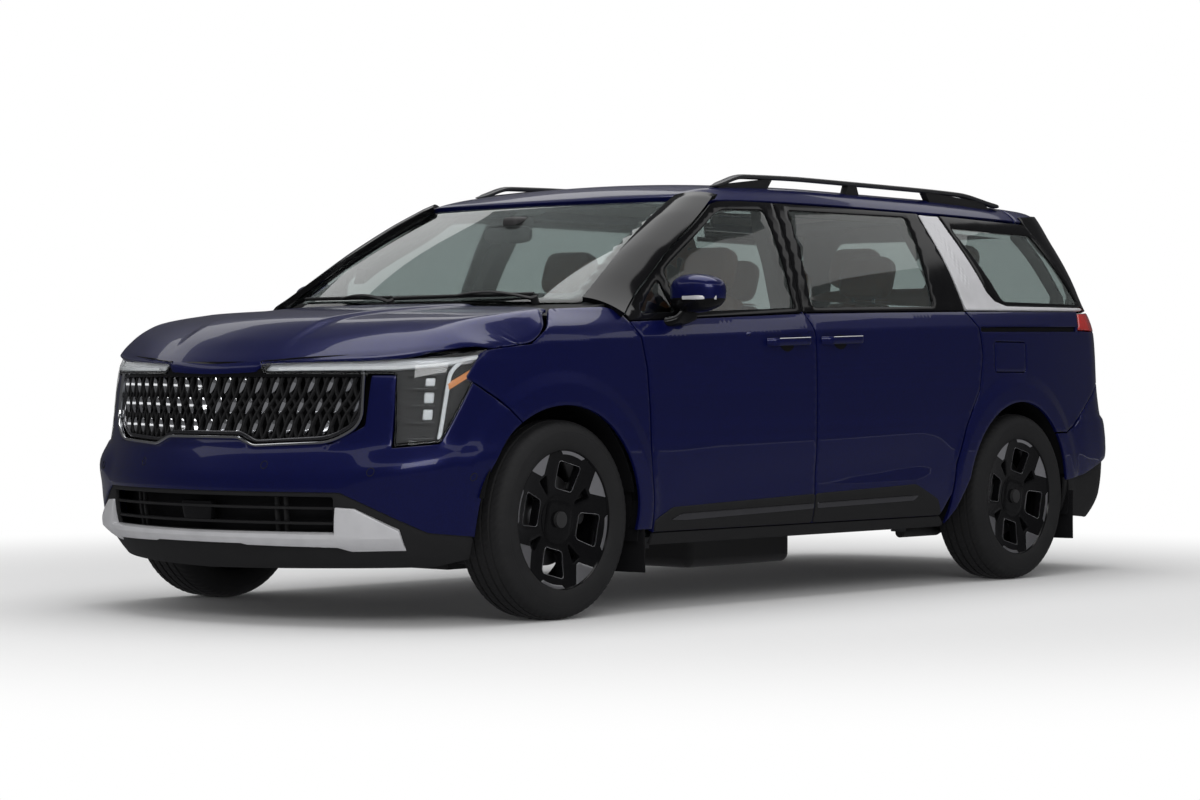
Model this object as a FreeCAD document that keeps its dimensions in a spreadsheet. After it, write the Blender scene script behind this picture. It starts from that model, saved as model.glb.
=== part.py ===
"""A minivan with sliding side doors, as an assembly of named pieces.

The vehicle stands on the ground plane with its front towards -Y and its left side towards +X.
The origin lies on the ground under the middle of its length. Lengths are in millimetres.

Places along the vehicle are written as stations: -0.5 is the front axle, 0.5 the rear axle,
-1.5 the foremost point and 1.5 the rearmost, so an outline follows the wheelbase and both
overhangs. Heights are shares of the overall height, and places across it are shares of the
half width.
"""
import FreeCAD, Part
import Sketcher
import math
import os
import re
from FreeCAD import Vector

doc = FreeCAD.newDocument("Minivan")
sheet = doc.addObject("Spreadsheet::Sheet", "Sizes")

# The driving dimensions. Each is set once, here.
SIZES = {
    # the whole vehicle
    "overall_length": 5156, "overall_width": 1995, "overall_height": 1740,
    "wheelbase": 3090, "front_overhang": 935, "door_half_width": 985, "track_width": 1746,
    # wheels and brakes
    "tyre_radius": 366, "tyre_width": 235, "bead_radius": 241, "shoulder_width": 205,
    "tread_drop": 7, "flange_radius": 259, "rim_width": 204, "rim_wall": 8, "well_radius": 212,
    "face_inset": 14, "spoke_depth": 26, "hub_radius": 74, "hub_bore": 31, "spoke_slot_width": 46,
    "window_inner_radius": 115, "window_outer_radius": 197, "window_half_width": 51,
    "window_turn": -13.4,
    "disc_radius": 164, "disc_thickness": 26, "disc_inset": 62, "hat_radius": 84,
    "spindle_radius": 30, "fit_gap": 0.3, "wheel_gap": 8,
    # wheel arches
    "arch_radius": 424, "liner_radius": 446, "liner_thickness": 4, "flare_radius": 540,
    "flare_crown_radius": 486, "arch_drop": 6, "liner_depth": 400,
    # panels and doors
    "panel_depth": 50, "ring_depth": 60, "door_gap": 6, "flange_width": 48, "plug_gap": 10,
    "plug_depth": 56, "seat_gap": 0.3, "glass_thickness": 5, "glass_inset": 6, "glass_lap": 14,
    "roof_thickness": 36, "hood_thickness": 30, "skin_thickness": 3,
    # plan curve of the front end and of the rear end
    "nose_radius": 1370, "nose_corner_radius": 380, "tail_radius": 3000,
    "tail_corner_radius": 350, "fascia_depth": 45,
    # front door hinge
    "hinge_inset": 22, "hinge_lead": 64, "hinge_lean": 35, "hinge_pin_radius": 6,
    "strap_height": 44, "strap_width": 26, "strap_gap": 6, "pillar_width": 60, "pillar_inset": 185,
    # hood, tailgate and flap hinges
    "hood_edge_gap": 6, "lid_pin_radius": 6, "lid_arm_width": 22, "lid_eye_radius": 15,
    "hood_hinge_back": 150, "tail_hinge_lead": 40,
    "flap_thickness": 6, "flap_cup_depth": 44, "flap_gap": 6, "flap_pin_radius": 2,
    "flap_barrel_radius": 5, "flap_hinge_lead": 24, "flap_pin_inset": 8, "filler_radius": 31,
    "filler_height": 20,
    # steering
    "kingpin_lean": 160, "kingpin_rise": 650, "kingpin_offset": 114, "ball_radius": 15,
    "strut_radius": 27, "spring_radius": 50, "spring_height": 180, "hub_carrier_radius": 58,
    "hub_carrier_width": 100, "arm_width": 60, "arm_thickness": 26,
    "steering_wheel_radius": 186, "steering_rim_radius": 15, "steering_hub_radius": 52,
    "steering_hub_depth": 44, "steering_tilt": 28, "steering_column_radius": 24,
    "steering_column_length": 330,
    # underbody and driveline
    "floor_height": 240, "floor_thickness": 30, "floor_half_width": 800,
    "engine_length": 780, "engine_width": 560, "engine_height": 500, "engine_base": 300,
    "rail_width": 90, "rail_height": 110, "rail_spacing": 900, "rail_base_height": 440,
    "rail_wall_thickness": 5, "beam_width": 120,
    "beam_height": 70, "tank_length": 720, "tank_width": 660, "tank_height": 150,
    "pipe_radius": 30, "muffler_radius": 105, "muffler_length": 560,
    # seats
    "seat_width": 510, "seat_depth": 520, "cushion_thickness": 130, "back_thickness": 130,
    "back_height": 715, "bench_back_height": 520, "back_tilt": 18, "headrest_width": 270,
    "headrest_height": 190,
    "headrest_thickness": 100, "seat_spacing": 400, "seat_round": 45, "seat_base_height": 190,
    "bench_width": 1180,
    # outer trim
    "rail_foot_height": 30, "rail_bar_width": 34, "rail_bar_height": 24, "rail_half_span": 640,
    "mirror_width": 205, "mirror_height": 158, "mirror_depth": 150, "mirror_round": 52,
    "handle_height": 30, "handle_proud": 30, "handle_thickness": 13,
    "cladding_proud": 9, "skid_proud": 4,
    "mudflap_width": 210, "mudflap_height": 190, "mudflap_thickness": 8,
    # interfaces
    "jack_pad_radius": 32, "jack_pad_height": 14, "plate_hole_radius": 3.2,
    "plate_hole_spacing": 178, "plate_hole_depth": 14,
    # one overrun for every cut
    "overrun": 20,
}

for row, (alias, value) in enumerate(SIZES.items(), start=1):
    sheet.set("A%d" % row, alias)
    sheet.set("B%d" % row, str(value))
    sheet.setAlias("B%d" % row, alias)
doc.recompute()


class Size:
    """Reads a driving dimension from the sheet, as in size.wheelbase."""

    def __getattr__(self, alias):
        return float(sheet.get(alias))


size = Size()
SIDES = (("left", 1), ("right", -1))
ENDS = (("front", -1), ("rear", 1))

# Derived places
half_width = size.overall_width / 2
rear_overhang = size.overall_length - size.wheelbase - size.front_overhang
front_end = -size.overall_length / 2
rear_end = size.overall_length / 2
front_axle = front_end + size.front_overhang
rear_axle = front_axle + size.wheelbase
wheel_centre = size.track_width / 2
axle_height = size.tyre_radius


def along(station):
    """The Y of a station."""
    if station < -0.5:
        return front_axle + (station + 0.5) * size.front_overhang
    if station > 0.5:
        return rear_axle + (station - 0.5) * rear_overhang
    return front_axle + (station + 0.5) * size.wheelbase


def up(height_share):
    return height_share * size.overall_height


def across(width_share):
    return width_share * half_width


def curve(table, at):
    """A smooth curve through a table of shares that never overshoots its points."""
    if at <= table[0][0]:
        return table[0][1]
    if at >= table[-1][0]:
        return table[-1][1]
    slopes = []
    for (a0, b0), (a1, b1) in zip(table, table[1:]):
        slopes.append((b1 - b0) / (a1 - a0))
    tangents = [slopes[0]]
    for before, after in zip(slopes, slopes[1:]):
        tangents.append(0 if before * after <= 0 else 2 * before * after / (before + after))
    tangents.append(slopes[-1])
    i = next(k for k in range(len(slopes)) if at <= table[k + 1][0])
    (a0, b0), (a1, b1) = table[i], table[i + 1]
    run = a1 - a0
    f = (at - a0) / run
    blend = f * f * (3 - 2 * f)
    lift = f * (1 - f) * ((1 - f) * tangents[i] - f * tangents[i + 1]) * run
    return b0 + (b1 - b0) * blend + lift


def ramp(start, end, at):
    """0 before start, 1 after end, and smooth between."""
    f = min(1, max(0, (at - start) / (end - start)))
    return f * f * (3 - 2 * f)


def spread(start, end, count):
    return [start + (end - start) * k / (count - 1) for k in range(count)]


class EndPlan:
    """The plan curve of one end of the lower body: a wide arc across the end, a tight arc round
    the corner and a wide flank arc that ends parallel to the side at the doors."""

    def __init__(self, sign, tip, wide, tight, wide_angle, corner_angle, lean_shares):
        self.sign = sign
        self.tip = tip
        self.wide = wide
        self.tight = tight
        self.lean_shares = lean_shares
        self.first = math.radians(wide_angle)
        self.second = math.radians(corner_angle)
        self.x1 = wide * math.sin(self.first)
        self.y1 = wide * (1 - math.cos(self.first))
        self.x2 = self.x1 + tight * (math.sin(self.second) - math.sin(self.first))
        self.y2 = self.y1 + tight * (math.cos(self.first) - math.cos(self.second))
        self.flank = (size.door_half_width - self.x2) / (1 - math.sin(self.second))
        self.depth = self.y2 + self.flank * math.cos(self.second)

    def at_angle(self, angle, inset):
        """The point whose normal is turned by angle from the end's direction."""
        side = 1 if angle >= 0 else -1
        turn = min(abs(angle), math.pi / 2)
        if turn <= self.first:
            x = self.wide * math.sin(turn)
            back = self.wide * (1 - math.cos(turn))
        elif turn <= self.second:
            x = self.x1 + self.tight * (math.sin(turn) - math.sin(self.first))
            back = self.y1 + self.tight * (math.cos(self.first) - math.cos(turn))
        else:
            x = self.x2 + self.flank * (math.sin(turn) - math.sin(self.second))
            back = self.y2 + self.flank * (math.cos(self.second) - math.cos(turn))
        x -= inset * math.sin(turn)
        back += inset * math.cos(turn)
        return side * x, self.tip - self.sign * back

    def angle_at_width(self, x):
        if x <= self.x1:
            return math.asin(x / self.wide)
        if x <= self.x2:
            return math.asin((x - self.x1) / self.tight + math.sin(self.first))
        return math.asin(min(1, (x - self.x2) / self.flank + math.sin(self.second)))

    def lean(self, z):
        """How far the whole plan curve is set back at a height."""
        return across(curve(self.lean_shares, z / size.overall_height))

    def width_at(self, y, z):
        """The half width of the plan at a place along the vehicle and a height."""
        back = self.sign * (self.tip - y) - self.lean(z)
        if back >= self.depth:
            return size.door_half_width
        if back >= self.y2:
            turn = math.acos(max(0, math.cos(self.second) - (back - self.y2) / self.flank))
            return self.x2 + self.flank * (math.sin(turn) - math.sin(self.second))
        if back >= self.y1:
            turn = math.acos(math.cos(self.first) - (back - self.y1) / self.tight)
            return self.x1 + self.tight * (math.sin(turn) - math.sin(self.first))
        return self.wide * math.sin(math.acos(1 - max(0, back) / self.wide))


# How far the front and rear ends lean in from their foremost line, by height, in half widths
NOSE_LEAN_SHARES = (
    (0.100, 0.100), (0.144, 0.050), (0.172, 0.024), (0.230, 0.004), (0.287, 0.000), (0.345, 0.026),
    (0.374, 0.045), (0.514, 0.080), (0.543, 0.095), (0.560, 0.124))
TAIL_LEAN_SHARES = (
    (0.120, 0.100), (0.160, 0.040), (0.210, 0.006), (0.287, 0.000), (0.345, 0.006), (0.385, 0.020),
    (0.430, 0.045), (0.497, 0.069), (0.575, 0.078), (0.632, 0.088), (0.687, 0.112), (0.710, 0.125),
    (0.805, 0.165), (0.875, 0.197), (0.931, 0.222), (0.960, 0.245))

nose = EndPlan(-1, front_end, size.nose_radius, size.nose_corner_radius, 34, 80, NOSE_LEAN_SHARES)
tail = EndPlan(1, rear_end, size.tail_radius, size.tail_corner_radius, 12.5, 82, TAIL_LEAN_SHARES)

# How far the body side lies in from the door's widest line, by height
SIDE_PROFILE_SHARES = (
    (0.098, 0.100), (0.144, 0.052), (0.195, 0.021), (0.259, 0.006), (0.345, 0.001), (0.460, 0.000),
    (0.546, 0.002), (0.598, 0.006), (0.618, 0.012), (0.644, 0.025), (0.670, 0.046), (0.747, 0.096),
    (0.833, 0.160), (0.914, 0.236), (0.950, 0.275))
# How much narrower the windows' part of the body is towards the ends, by station
GREENHOUSE_TAPER_SHARES = (
    (-0.800, 0.150), (-0.666, 0.135), (-0.479, 0.082), (-0.401, 0.046), (-0.291, 0.024),
    (-0.129, 0.006), (0.000, 0.000), (0.324, 0.004), (0.549, 0.010), (0.902, 0.004),
    (1.107, 0.000), (1.300, 0.000))
# The roof's middle line and its side edge, by station
ROOF_CROWN_SHARES = (
    (-0.184, 0.921), (-0.129, 0.950), (-0.085, 0.966), (0.000, 0.977), (0.129, 0.983),
    (0.388, 0.983), (0.702, 0.979), (0.991, 0.973), (1.300, 0.963))
ROOF_EDGE_SHARES = (
    (-0.184, 0.898), (-0.129, 0.916), (-0.085, 0.921), (0.000, 0.925), (0.162, 0.928),
    (0.485, 0.927), (0.902, 0.925), (1.123, 0.922), (1.300, 0.918))


def side_inset(y, z):
    """How far the body side lies in from the doors' widest line."""
    height_share = z / size.overall_height
    station = (y - front_axle) / size.wheelbase - 0.5
    shoulder = ramp(0.40, 0.58, height_share) * (1 - ramp(0.74, 0.90, height_share))
    rise_share = 0.049 * max(-0.6, min(0.6, station)) * shoulder
    taper = across(curve(GREENHOUSE_TAPER_SHARES, station_of(y)))
    inset = across(curve(SIDE_PROFILE_SHARES, height_share - rise_share))
    return inset + taper * ramp(0.60, 0.70, height_share)


def station_of(y):
    if y < front_axle:
        return -0.5 - (front_axle - y) / size.front_overhang
    if y > rear_axle:
        return 0.5 + (y - rear_axle) / rear_overhang
    return (y - front_axle) / size.wheelbase - 0.5


def side_x(y, z):
    """The half width of the body at a place along it and a height."""
    plan = min(nose.width_at(y, z), tail.width_at(y, z))
    return plan * (1 - side_inset(y, z) / size.door_half_width)


def roof_z(x, y):
    """The roof falls gently to both sides and then rounds down to its edge."""
    crown = up(curve(ROOF_CROWN_SHARES, station_of(y)))
    edge = up(curve(ROOF_EDGE_SHARES, station_of(y)))
    width = side_x(y, edge)
    f = abs(x) / width
    return crown - (crown - edge) * (0.42 * f * f + 0.58 * max(0, (f - 0.85) / 0.15) ** 2)


# Solids from surfaces
def surface_face(rows):
    surface = Part.BSplineSurface()
    surface.interpolate(rows)
    return surface.toShape()


def side_slab(start, end, low, high, inset, depth, sign, columns=12, rows=12):
    """A piece of the body side between two stations and two heights, a wall thick."""
    grid = []
    for y in spread(along(start), along(end), columns):
        column = []
        for z in spread(up(low), up(high), rows):
            column.append(Vector(sign * (side_x(y, z) - inset), y, z))
        grid.append(column)
    return surface_face(grid).extrude(Vector(-sign * depth, 0, 0))


def side_prism(outline_shares, sign, grow=0, near=0.25, far=1.2):
    """A side-view outline, grown or shrunk, as a prism across one side of the vehicle."""
    points = [Vector(0, along(s), up(t)) for s, t in outline_shares]
    face = Part.Face(Part.makePolygon(points + points[:1]))
    if grow:
        face = face.makeOffset2D(grow)
    face.translate(Vector(sign * across(near), 0, 0))
    return face.extrude(Vector(sign * across(far - near), 0, 0))


def front_prism(outline_shares, start, depth, grow=0):
    """A front-view outline, half width and height shares, as a prism along the vehicle."""
    points = [Vector(across(w), along(start), up(t)) for w, t in outline_shares]
    face = Part.Face(Part.makePolygon(points + points[:1]))
    if grow:
        face = face.makeOffset2D(grow)
    return face.extrude(Vector(0, depth, 0))


def plan_prism(points, low, high):
    corners = [Vector(x, y, low) for x, y in points]
    face = Part.Face(Part.makePolygon(corners + corners[:1]))
    return face.extrude(Vector(0, 0, high - low))


def end_point(plan, angle, z, inset):
    """A point of the body's skin round one end: the plan curve, set back and drawn in as the
    height asks."""
    x, y = plan.at_angle(angle, inset)
    y -= plan.sign * plan.lean(z)
    return x * (1 - side_inset(y, z) / size.door_half_width), y


def end_slab(plan, angles, heights, inset, depth):
    """A wrap-round piece of an end's skin, lofted through level outlines."""
    wires = []
    for z in heights:
        outer = [Vector(*end_point(plan, a, z, inset), z) for a in angles]
        inner = [Vector(*end_point(plan, a, z, inset + depth), z) for a in angles]
        inner.reverse()
        edges = []
        for points in (outer, inner):
            spline = Part.BSplineCurve()
            spline.interpolate(points)
            edges.append(spline.toShape())
        edges.insert(1, Part.makeLine(outer[-1], inner[0]))
        edges.append(Part.makeLine(inner[-1], outer[0]))
        wires.append(Part.Wire(edges))
    return Part.makeLoft(wires, True, False)


def mirror_x(shape):
    return shape.mirror(Vector(0, 0, 0), Vector(1, 0, 0))


def angle_steps(start, end, count):
    return [math.radians(a) for a in spread(start, end, count)]


def fuse(shapes):
    first, rest = shapes[0], shapes[1:]
    return first.fuse(rest).removeSplitter() if rest else first


def both(make):
    """A shape made for each side, as two solids of one piece."""
    return Part.makeCompound([make(sign) for side, sign in SIDES])


def feature(label, shape):
    """Sets a worked-out shape as a piece of the document."""
    piece = doc.addObject("Part::Feature", label)
    piece.Label = label
    if shape.ShapeType == "Compound" and len(shape.Solids) == 1:
        shape = shape.Solids[0]
    piece.Shape = shape
    pieces.append(piece)
    return piece


def formula(text):
    """Writes each alias in an expression as a cell of the sheet."""
    return re.sub(r"[a-z_]{5,}", r"Sizes.\g<0>", text)


def primitive(kind, label, sizes, place=("0", "0", "0"), axis=None, angle=0):
    """A Part primitive whose sizes and place follow the sheet."""
    body = doc.addObject("Part::" + kind, label)
    body.Label = label
    if axis is not None:
        body.Placement = FreeCAD.Placement(Vector(), FreeCAD.Rotation(Vector(*axis), angle))
    for name, text in sizes.items():
        body.setExpression(name, formula(text))
    for name, text in zip("xyz", place):
        body.setExpression(".Placement.Base." + name, formula(text))
    return body


def rounded(label, base, radius):
    """A block with all its edges rounded."""
    doc.recompute()
    fillet = doc.addObject("Part::Fillet", label)
    fillet.Base = base
    fillet.Edges = [(k + 1, radius, radius) for k in range(len(base.Shape.Edges))]
    return fillet


def joined(label, members, kind="Part::MultiFuse"):
    fusion = doc.addObject(kind, label)
    fusion.Label = label
    fusion.Shapes = members
    return fusion


def grouped(label, members):
    """Solids that share a piece without touching."""
    group = doc.addObject("Part::Compound", label)
    group.Label = label
    group.Links = members
    pieces.append(group)
    return group


pieces = []

# Outlines in side view: station and height shares
DOOR_SPLIT_SHARES = (
    (0.002, 0.171), (0.002, 0.336), (0.004, 0.543), (-0.002, 0.632), (-0.013, 0.664), (0.010, 0.921))
FRONT_DOOR_LEAD_SHARES = (
    (-0.065, 0.922), (-0.126, 0.912), (-0.252, 0.788), (-0.372, 0.645), (-0.358, 0.597),
    (-0.348, 0.528), (-0.342, 0.429), (-0.339, 0.290), (-0.330, 0.190), (-0.315, 0.171))
SLIDING_DOOR_TAIL_SHARES = (
    (0.355, 0.923), (0.376, 0.690), (0.395, 0.636), (0.401, 0.566), (0.393, 0.483), (0.357, 0.388),
    (0.334, 0.300), (0.327, 0.225), (0.309, 0.171))
FRONT_DOOR_SHARES = DOOR_SPLIT_SHARES + FRONT_DOOR_LEAD_SHARES
SLIDING_DOOR_SHARES = DOOR_SPLIT_SHARES + SLIDING_DOOR_TAIL_SHARES
FRONT_GLASS_SHARES = (
    (-0.262, 0.667), (-0.026, 0.673), (-0.014, 0.905), (-0.114, 0.905), (-0.230, 0.796),
    (-0.262, 0.760))
VENT_GLASS_SHARES = ((-0.345, 0.650), (-0.274, 0.662), (-0.274, 0.746))
SLIDING_GLASS_SHARES = ((0.011, 0.674), (0.299, 0.687), (0.320, 0.908), (0.036, 0.906))
QUARTER_GLASS_SHARES = ((0.484, 0.706), (1.080, 0.708), (0.908, 0.888), (0.424, 0.894))
QUARTER_PANEL_SHARES = (
    (0.320, 0.144), (1.350, 0.144), (1.350, 0.650), (1.100, 0.690), (0.924, 0.889),
    (0.830, 0.934), (0.340, 0.926))
SIDE_RING_SHARES = (
    (-0.270, 0.168), (0.330, 0.168), (0.450, 0.420), (1.120, 0.440), (1.160, 0.640),
    (0.960, 0.905), (-0.110, 0.905), (-0.270, 0.770))
FENDER_SHARES = (
    (-0.334, 0.180), (-0.345, 0.290), (-0.348, 0.429), (-0.354, 0.528), (-0.364, 0.597),
    (-0.379, 0.652), (-0.420, 0.655), (-0.479, 0.650), (-0.560, 0.618), (-0.666, 0.580),
    (-0.880, 0.562), (-0.987, 0.508), (-0.838, 0.463), (-0.700, 0.400), (-0.560, 0.180))


def arch_cut(axle, sign, radius, near, far):
    """A round opening about an axle on one side of the vehicle."""
    start = Vector(sign * across(near), axle, axle_height - size.arch_drop)
    return Part.makeCylinder(radius, across(far - near), start, Vector(sign, 0, 0))


def flare(axle, sign, low):
    """The body-coloured lip round a wheel arch, proud of the doors by the width difference."""
    centre = Vector(sign * (size.door_half_width - size.panel_depth), axle,
                    axle_height - size.arch_drop)
    proud = half_width - size.door_half_width
    direction = Vector(sign, 0, 0)
    base = Part.makeCylinder(size.flare_radius, size.panel_depth - proud, centre, direction)
    lip_start = centre + direction * (size.panel_depth - proud)
    lip = Part.makeCone(size.flare_radius, size.flare_crown_radius, 2 * proud, lip_start, direction)
    ring = base.fuse(lip).cut(arch_cut(axle, sign, size.arch_radius, 0.5, 1.2))
    box = Part.makeBox(4 * half_width, 4 * half_width, up(1))
    box.translate(Vector(-2 * half_width, axle - 2 * half_width, up(low)))
    return ring.common(box)


def fender(sign):
    """Front fender: the side's own skin, open round the wheel, with its flared lip."""
    skin = side_slab(-1.10, -0.32, 0.14, 0.67, 0, size.panel_depth, sign)
    panel = skin.common(side_prism(FENDER_SHARES, sign))
    panel = panel.cut(arch_cut(front_axle, sign, size.arch_radius, 0.5, 1.2))
    lip = flare(front_axle, sign, 0.19)
    front_face = Part.makeBox(across(2.4), across(2), up(1),
                              Vector(-across(1.2), along(-0.66) - across(2), 0))
    return panel.fuse(lip.cut(front_face).common(side_prism(FENDER_SHARES, sign))).removeSplitter()


for side, sign in SIDES:
    feature("fender_" + side, fender(sign))


GATE_HALF_SHARE = 0.84


def quarter(sign):
    """Rear quarter with its roof pillar, window opening and flared wheel arch."""
    skin = side_slab(0.28, 1.15, 0.13, 0.945, 0, size.panel_depth, sign, 14, 16)
    corner = end_slab(tail, angle_steps(44, 86, 13),
                      [up(t) for t in (0.37, 0.43, 0.50, 0.58, 0.64, 0.70)], 0, size.panel_depth)
    corner = corner.common(side_prism(((1.145, 0.3), (1.6, 0.3), (1.6, 0.8), (1.145, 0.8)), 1))
    if sign < 0:
        corner = mirror_x(corner)
    panel = skin.fuse(corner).common(side_prism(QUARTER_PANEL_SHARES, sign))
    lip = flare(rear_axle, sign, 0.15).common(side_prism(QUARTER_PANEL_SHARES, sign))
    panel = panel.fuse(lip)
    panel = panel.cut(side_prism(SLIDING_DOOR_SHARES, sign, size.door_gap))
    panel = panel.cut(side_prism(QUARTER_GLASS_SHARES, sign))
    panel = panel.cut(arch_cut(rear_axle, sign, size.arch_radius, 0.5, 1.2))
    gate_room = across(GATE_HALF_SHARE) + size.door_gap
    gate_box = Part.makeBox(2 * gate_room, rear_overhang, up(0.35))
    gate_box.translate(Vector(-gate_room, along(1.0), up(0.37)))
    return panel.cut(gate_box).cut(rear_cover_prism(sign))


# Where the rear bumper, the tail lamps and the tailgate take over from the quarter, in side view
BUMPER_SEAM_SHARES = (
    (0.880, 0.10), (0.880, 0.372), (0.942, 0.386), (1.194, 0.495), (1.60, 0.520), (1.60, 0.10))
TAILGATE_SEAM_SHARES = (
    (1.008, 0.635), (1.054, 0.690), (1.092, 0.707), (0.924, 0.889), (0.840, 0.950), (0.840, 1.05),
    (1.70, 1.05), (1.70, 0.635))


def rear_cover_prism(sign):
    return side_prism(BUMPER_SEAM_SHARES, sign).fuse(side_prism(TAILGATE_SEAM_SHARES, sign))


def inner_ring(sign):
    """The inner side structure that the doors close against."""
    ring = side_slab(-0.30, 1.20, 0.14, 0.92, size.panel_depth + size.ring_depth / 6,
                     size.ring_depth, sign, 14, 14)
    ring = ring.common(side_prism(SIDE_RING_SHARES, sign))
    for outline in (FRONT_DOOR_SHARES, SLIDING_DOOR_SHARES):
        ring = ring.cut(side_prism(outline, sign, -size.flange_width))
    ring = ring.cut(side_prism(QUARTER_GLASS_SHARES, sign, size.glass_lap))
    return ring.cut(arch_cut(rear_axle, sign, size.liner_radius + size.seat_gap, 0.5, 1.2))


for side, sign in SIDES:
    feature("quarter_" + side, quarter(sign))
    feature("side_frame_" + side, inner_ring(sign))


HANDLE_SHARES = {"front_door": (-0.116, -0.019, 0.597), "sliding_door": (0.015, 0.110, 0.602)}
CLADDING_SHARES = (
    (-0.340, 0.160), (-0.340, 0.188), (-0.330, 0.196), (-0.295, 0.226), (-0.004, 0.241),
    (0.236, 0.253), (0.293, 0.214), (0.330, 0.160))


def door_handle(start, end, height, sign):
    """A grip that stands off the skin, with rounded ends, over a shallow cup."""
    z = up(height)
    first, last = along(start), along(end)
    skin = max(side_x(first, z), side_x(last, z))
    grip = Part.makeBox(size.handle_proud + size.handle_thickness, last - first, size.handle_height)
    grip.translate(Vector(skin - size.handle_thickness, first, z - size.handle_height / 2))
    outer_edges = [edge for edge in grip.Edges
                   if min(v.X for v in edge.Vertexes) > skin + size.handle_proud / 2]
    grip = grip.makeFillet(size.handle_thickness / 2, outer_edges)
    return grip if sign > 0 else mirror_x(grip)


def door_cladding(outline, start, end, sign):
    """The grained band low on a door, proud of its skin."""
    band = side_slab(start, end, 0.16, 0.27, -size.cladding_proud,
                     size.cladding_proud + size.handle_thickness, sign, 12, 6)
    return band.common(side_prism(CLADDING_SHARES, sign)).common(side_prism(outline, sign))


def door(outline, glasses, sign, label):
    """A door as thick as the real one: the outer panel, and the plug that fills the frame."""
    low, high = 0.16, 0.935
    stations = [s for s, t in outline]
    start, end = min(stations) - 0.01, max(stations) + 0.01
    outer = side_slab(start, end, low, high, 0, size.panel_depth, sign)
    outer = outer.common(side_prism(outline, sign))
    plug = side_slab(start, end, low, high, size.panel_depth, size.plug_depth, sign)
    plug = plug.common(side_prism(outline, sign, -size.flange_width - size.plug_gap))
    band = door_cladding(outline, start, end, sign)
    shape = outer.fuse([plug, band, door_handle(*HANDLE_SHARES[label], sign)])
    for glass in glasses:
        shape = shape.cut(side_prism(glass, sign))
    return shape.removeSplitter()


def pane(outline, start, end, sign):
    """A window pane let into its opening, seated just inside the frame."""
    slab = side_slab(start, end, 0.63, 0.93, size.glass_inset, size.glass_thickness, sign, 8, 8)
    return slab.common(side_prism(outline, sign, -size.seat_gap))


for side, sign in SIDES:
    front = door(FRONT_DOOR_SHARES, (FRONT_GLASS_SHARES, VENT_GLASS_SHARES), sign, "front_door")
    front = front.cut(side_prism(SLIDING_DOOR_SHARES, sign, size.door_gap))
    feature("front_door_" + side, front)
    sliding = door(SLIDING_DOOR_SHARES, (SLIDING_GLASS_SHARES,), sign, "sliding_door")
    feature("sliding_door_" + side, sliding)
    feature("front_door_glass_" + side, Part.makeCompound([
        pane(FRONT_GLASS_SHARES, -0.30, 0.02, sign), pane(VENT_GLASS_SHARES, -0.36, -0.25, sign)]))
    feature("side_glass_" + side, Part.makeCompound([
        pane(SLIDING_GLASS_SHARES, 0.0, 0.34, sign), pane(QUARTER_GLASS_SHARES, 0.40, 1.15, sign)]))


# Roof, hood and windscreen
HOOD_RISE_SHARES = (
    (0.000, 0.000), (0.010, 0.022), (0.040, 0.070), (0.100, 0.118), (0.200, 0.146), (0.320, 0.164),
    (0.420, 0.174))
HOOD_LIP_SHARES = ((0.000, 0.543), (0.250, 0.543), (0.700, 0.550), (0.900, 0.563), (1.000, 0.573))
COWL_SHARES = ((0.000, -0.440), (0.400, -0.436), (0.860, -0.476))


def hood_z(x, y):
    """The hood rises quickly from its lip, flattens, and rounds down to the shoulder."""
    lip_x = min(abs(x), nose.x2)
    lip_y = nose.at_angle(nose.angle_at_width(lip_x), 0)[1] + across(0.095)
    back = max(0, y - lip_y) / size.wheelbase
    edge = side_crease_x(y)
    f = min(1, abs(x) / edge)
    lip = up(curve(HOOD_LIP_SHARES, f))
    shoulder = up(0.038) * ramp(-1.0, -0.5, station_of(y)) * f ** 4
    return lip + up(curve(HOOD_RISE_SHARES, back)) * 0.8 * (1 - f ** 11) + shoulder * f ** 2


def side_crease_x(y):
    """The half width at the shoulder crease, where hood and fender meet."""
    return max(nose.x2, side_x(y, up(0.565)))


def hood(sign):
    """One half of the clamshell hood's skin, from the middle to the shoulder."""
    grid = []
    for k in spread(0, 1, 12):
        row = []
        for f in (0, 0.12, 0.25, 0.40, 0.55, 0.68, 0.78, 0.86, 0.92, 0.96, 0.985, 1.0):
            front_x = nose.x2 * 1.012 * f
            start = nose.at_angle(nose.angle_at_width(min(front_x, nose.x2)), 0)[1] + across(0.10)
            y = start + (along(-0.41) - start) * k
            x = min(side_crease_x(y), across(0.985)) * f
            row.append(Vector(sign * x, y, hood_z(x, y)))
        grid.append(row)
    return surface_face(grid).extrude(Vector(0, 0, -size.hood_thickness))


hood_outline = [(0, along(-1.6)), (across(1.1), along(-1.6)), (across(1.1), along(-0.676)),
                (across(0.968), along(-0.666)), (across(0.862), along(-0.481)),
                (across(0.40), along(-0.457)), (0, along(-0.460))]
mirrored = [(-x, y) for x, y in hood_outline[1:-1]]
mirrored.reverse()
hood_plan = plan_prism(hood_outline + mirrored, up(0.3), up(0.8))
hood_shell = hood(1).fuse(hood(-1)).common(hood_plan).removeSplitter()
feature("hood", hood_shell)

# The windscreen: half widths, places and heights of its base and its top
screen_base = (across(0.80), along(-0.401), along(-0.449), up(0.671))
screen_top = (across(0.655), along(-0.162), along(-0.184), up(0.914))


def screen_point(f, rise):
    """A point of the windscreen, from its middle to its edge and from base to top."""
    width = screen_base[0] + (screen_top[0] - screen_base[0]) * rise
    edge_y = screen_base[1] + (screen_top[1] - screen_base[1]) * rise
    middle_y = screen_base[2] + (screen_top[2] - screen_base[2]) * rise
    z = screen_base[3] + (screen_top[3] - screen_base[3]) * rise
    bow = up(0.012) * math.sin(math.pi * rise)
    return Vector(width * f, middle_y + (edge_y - middle_y) * f * f, z + bow)


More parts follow.
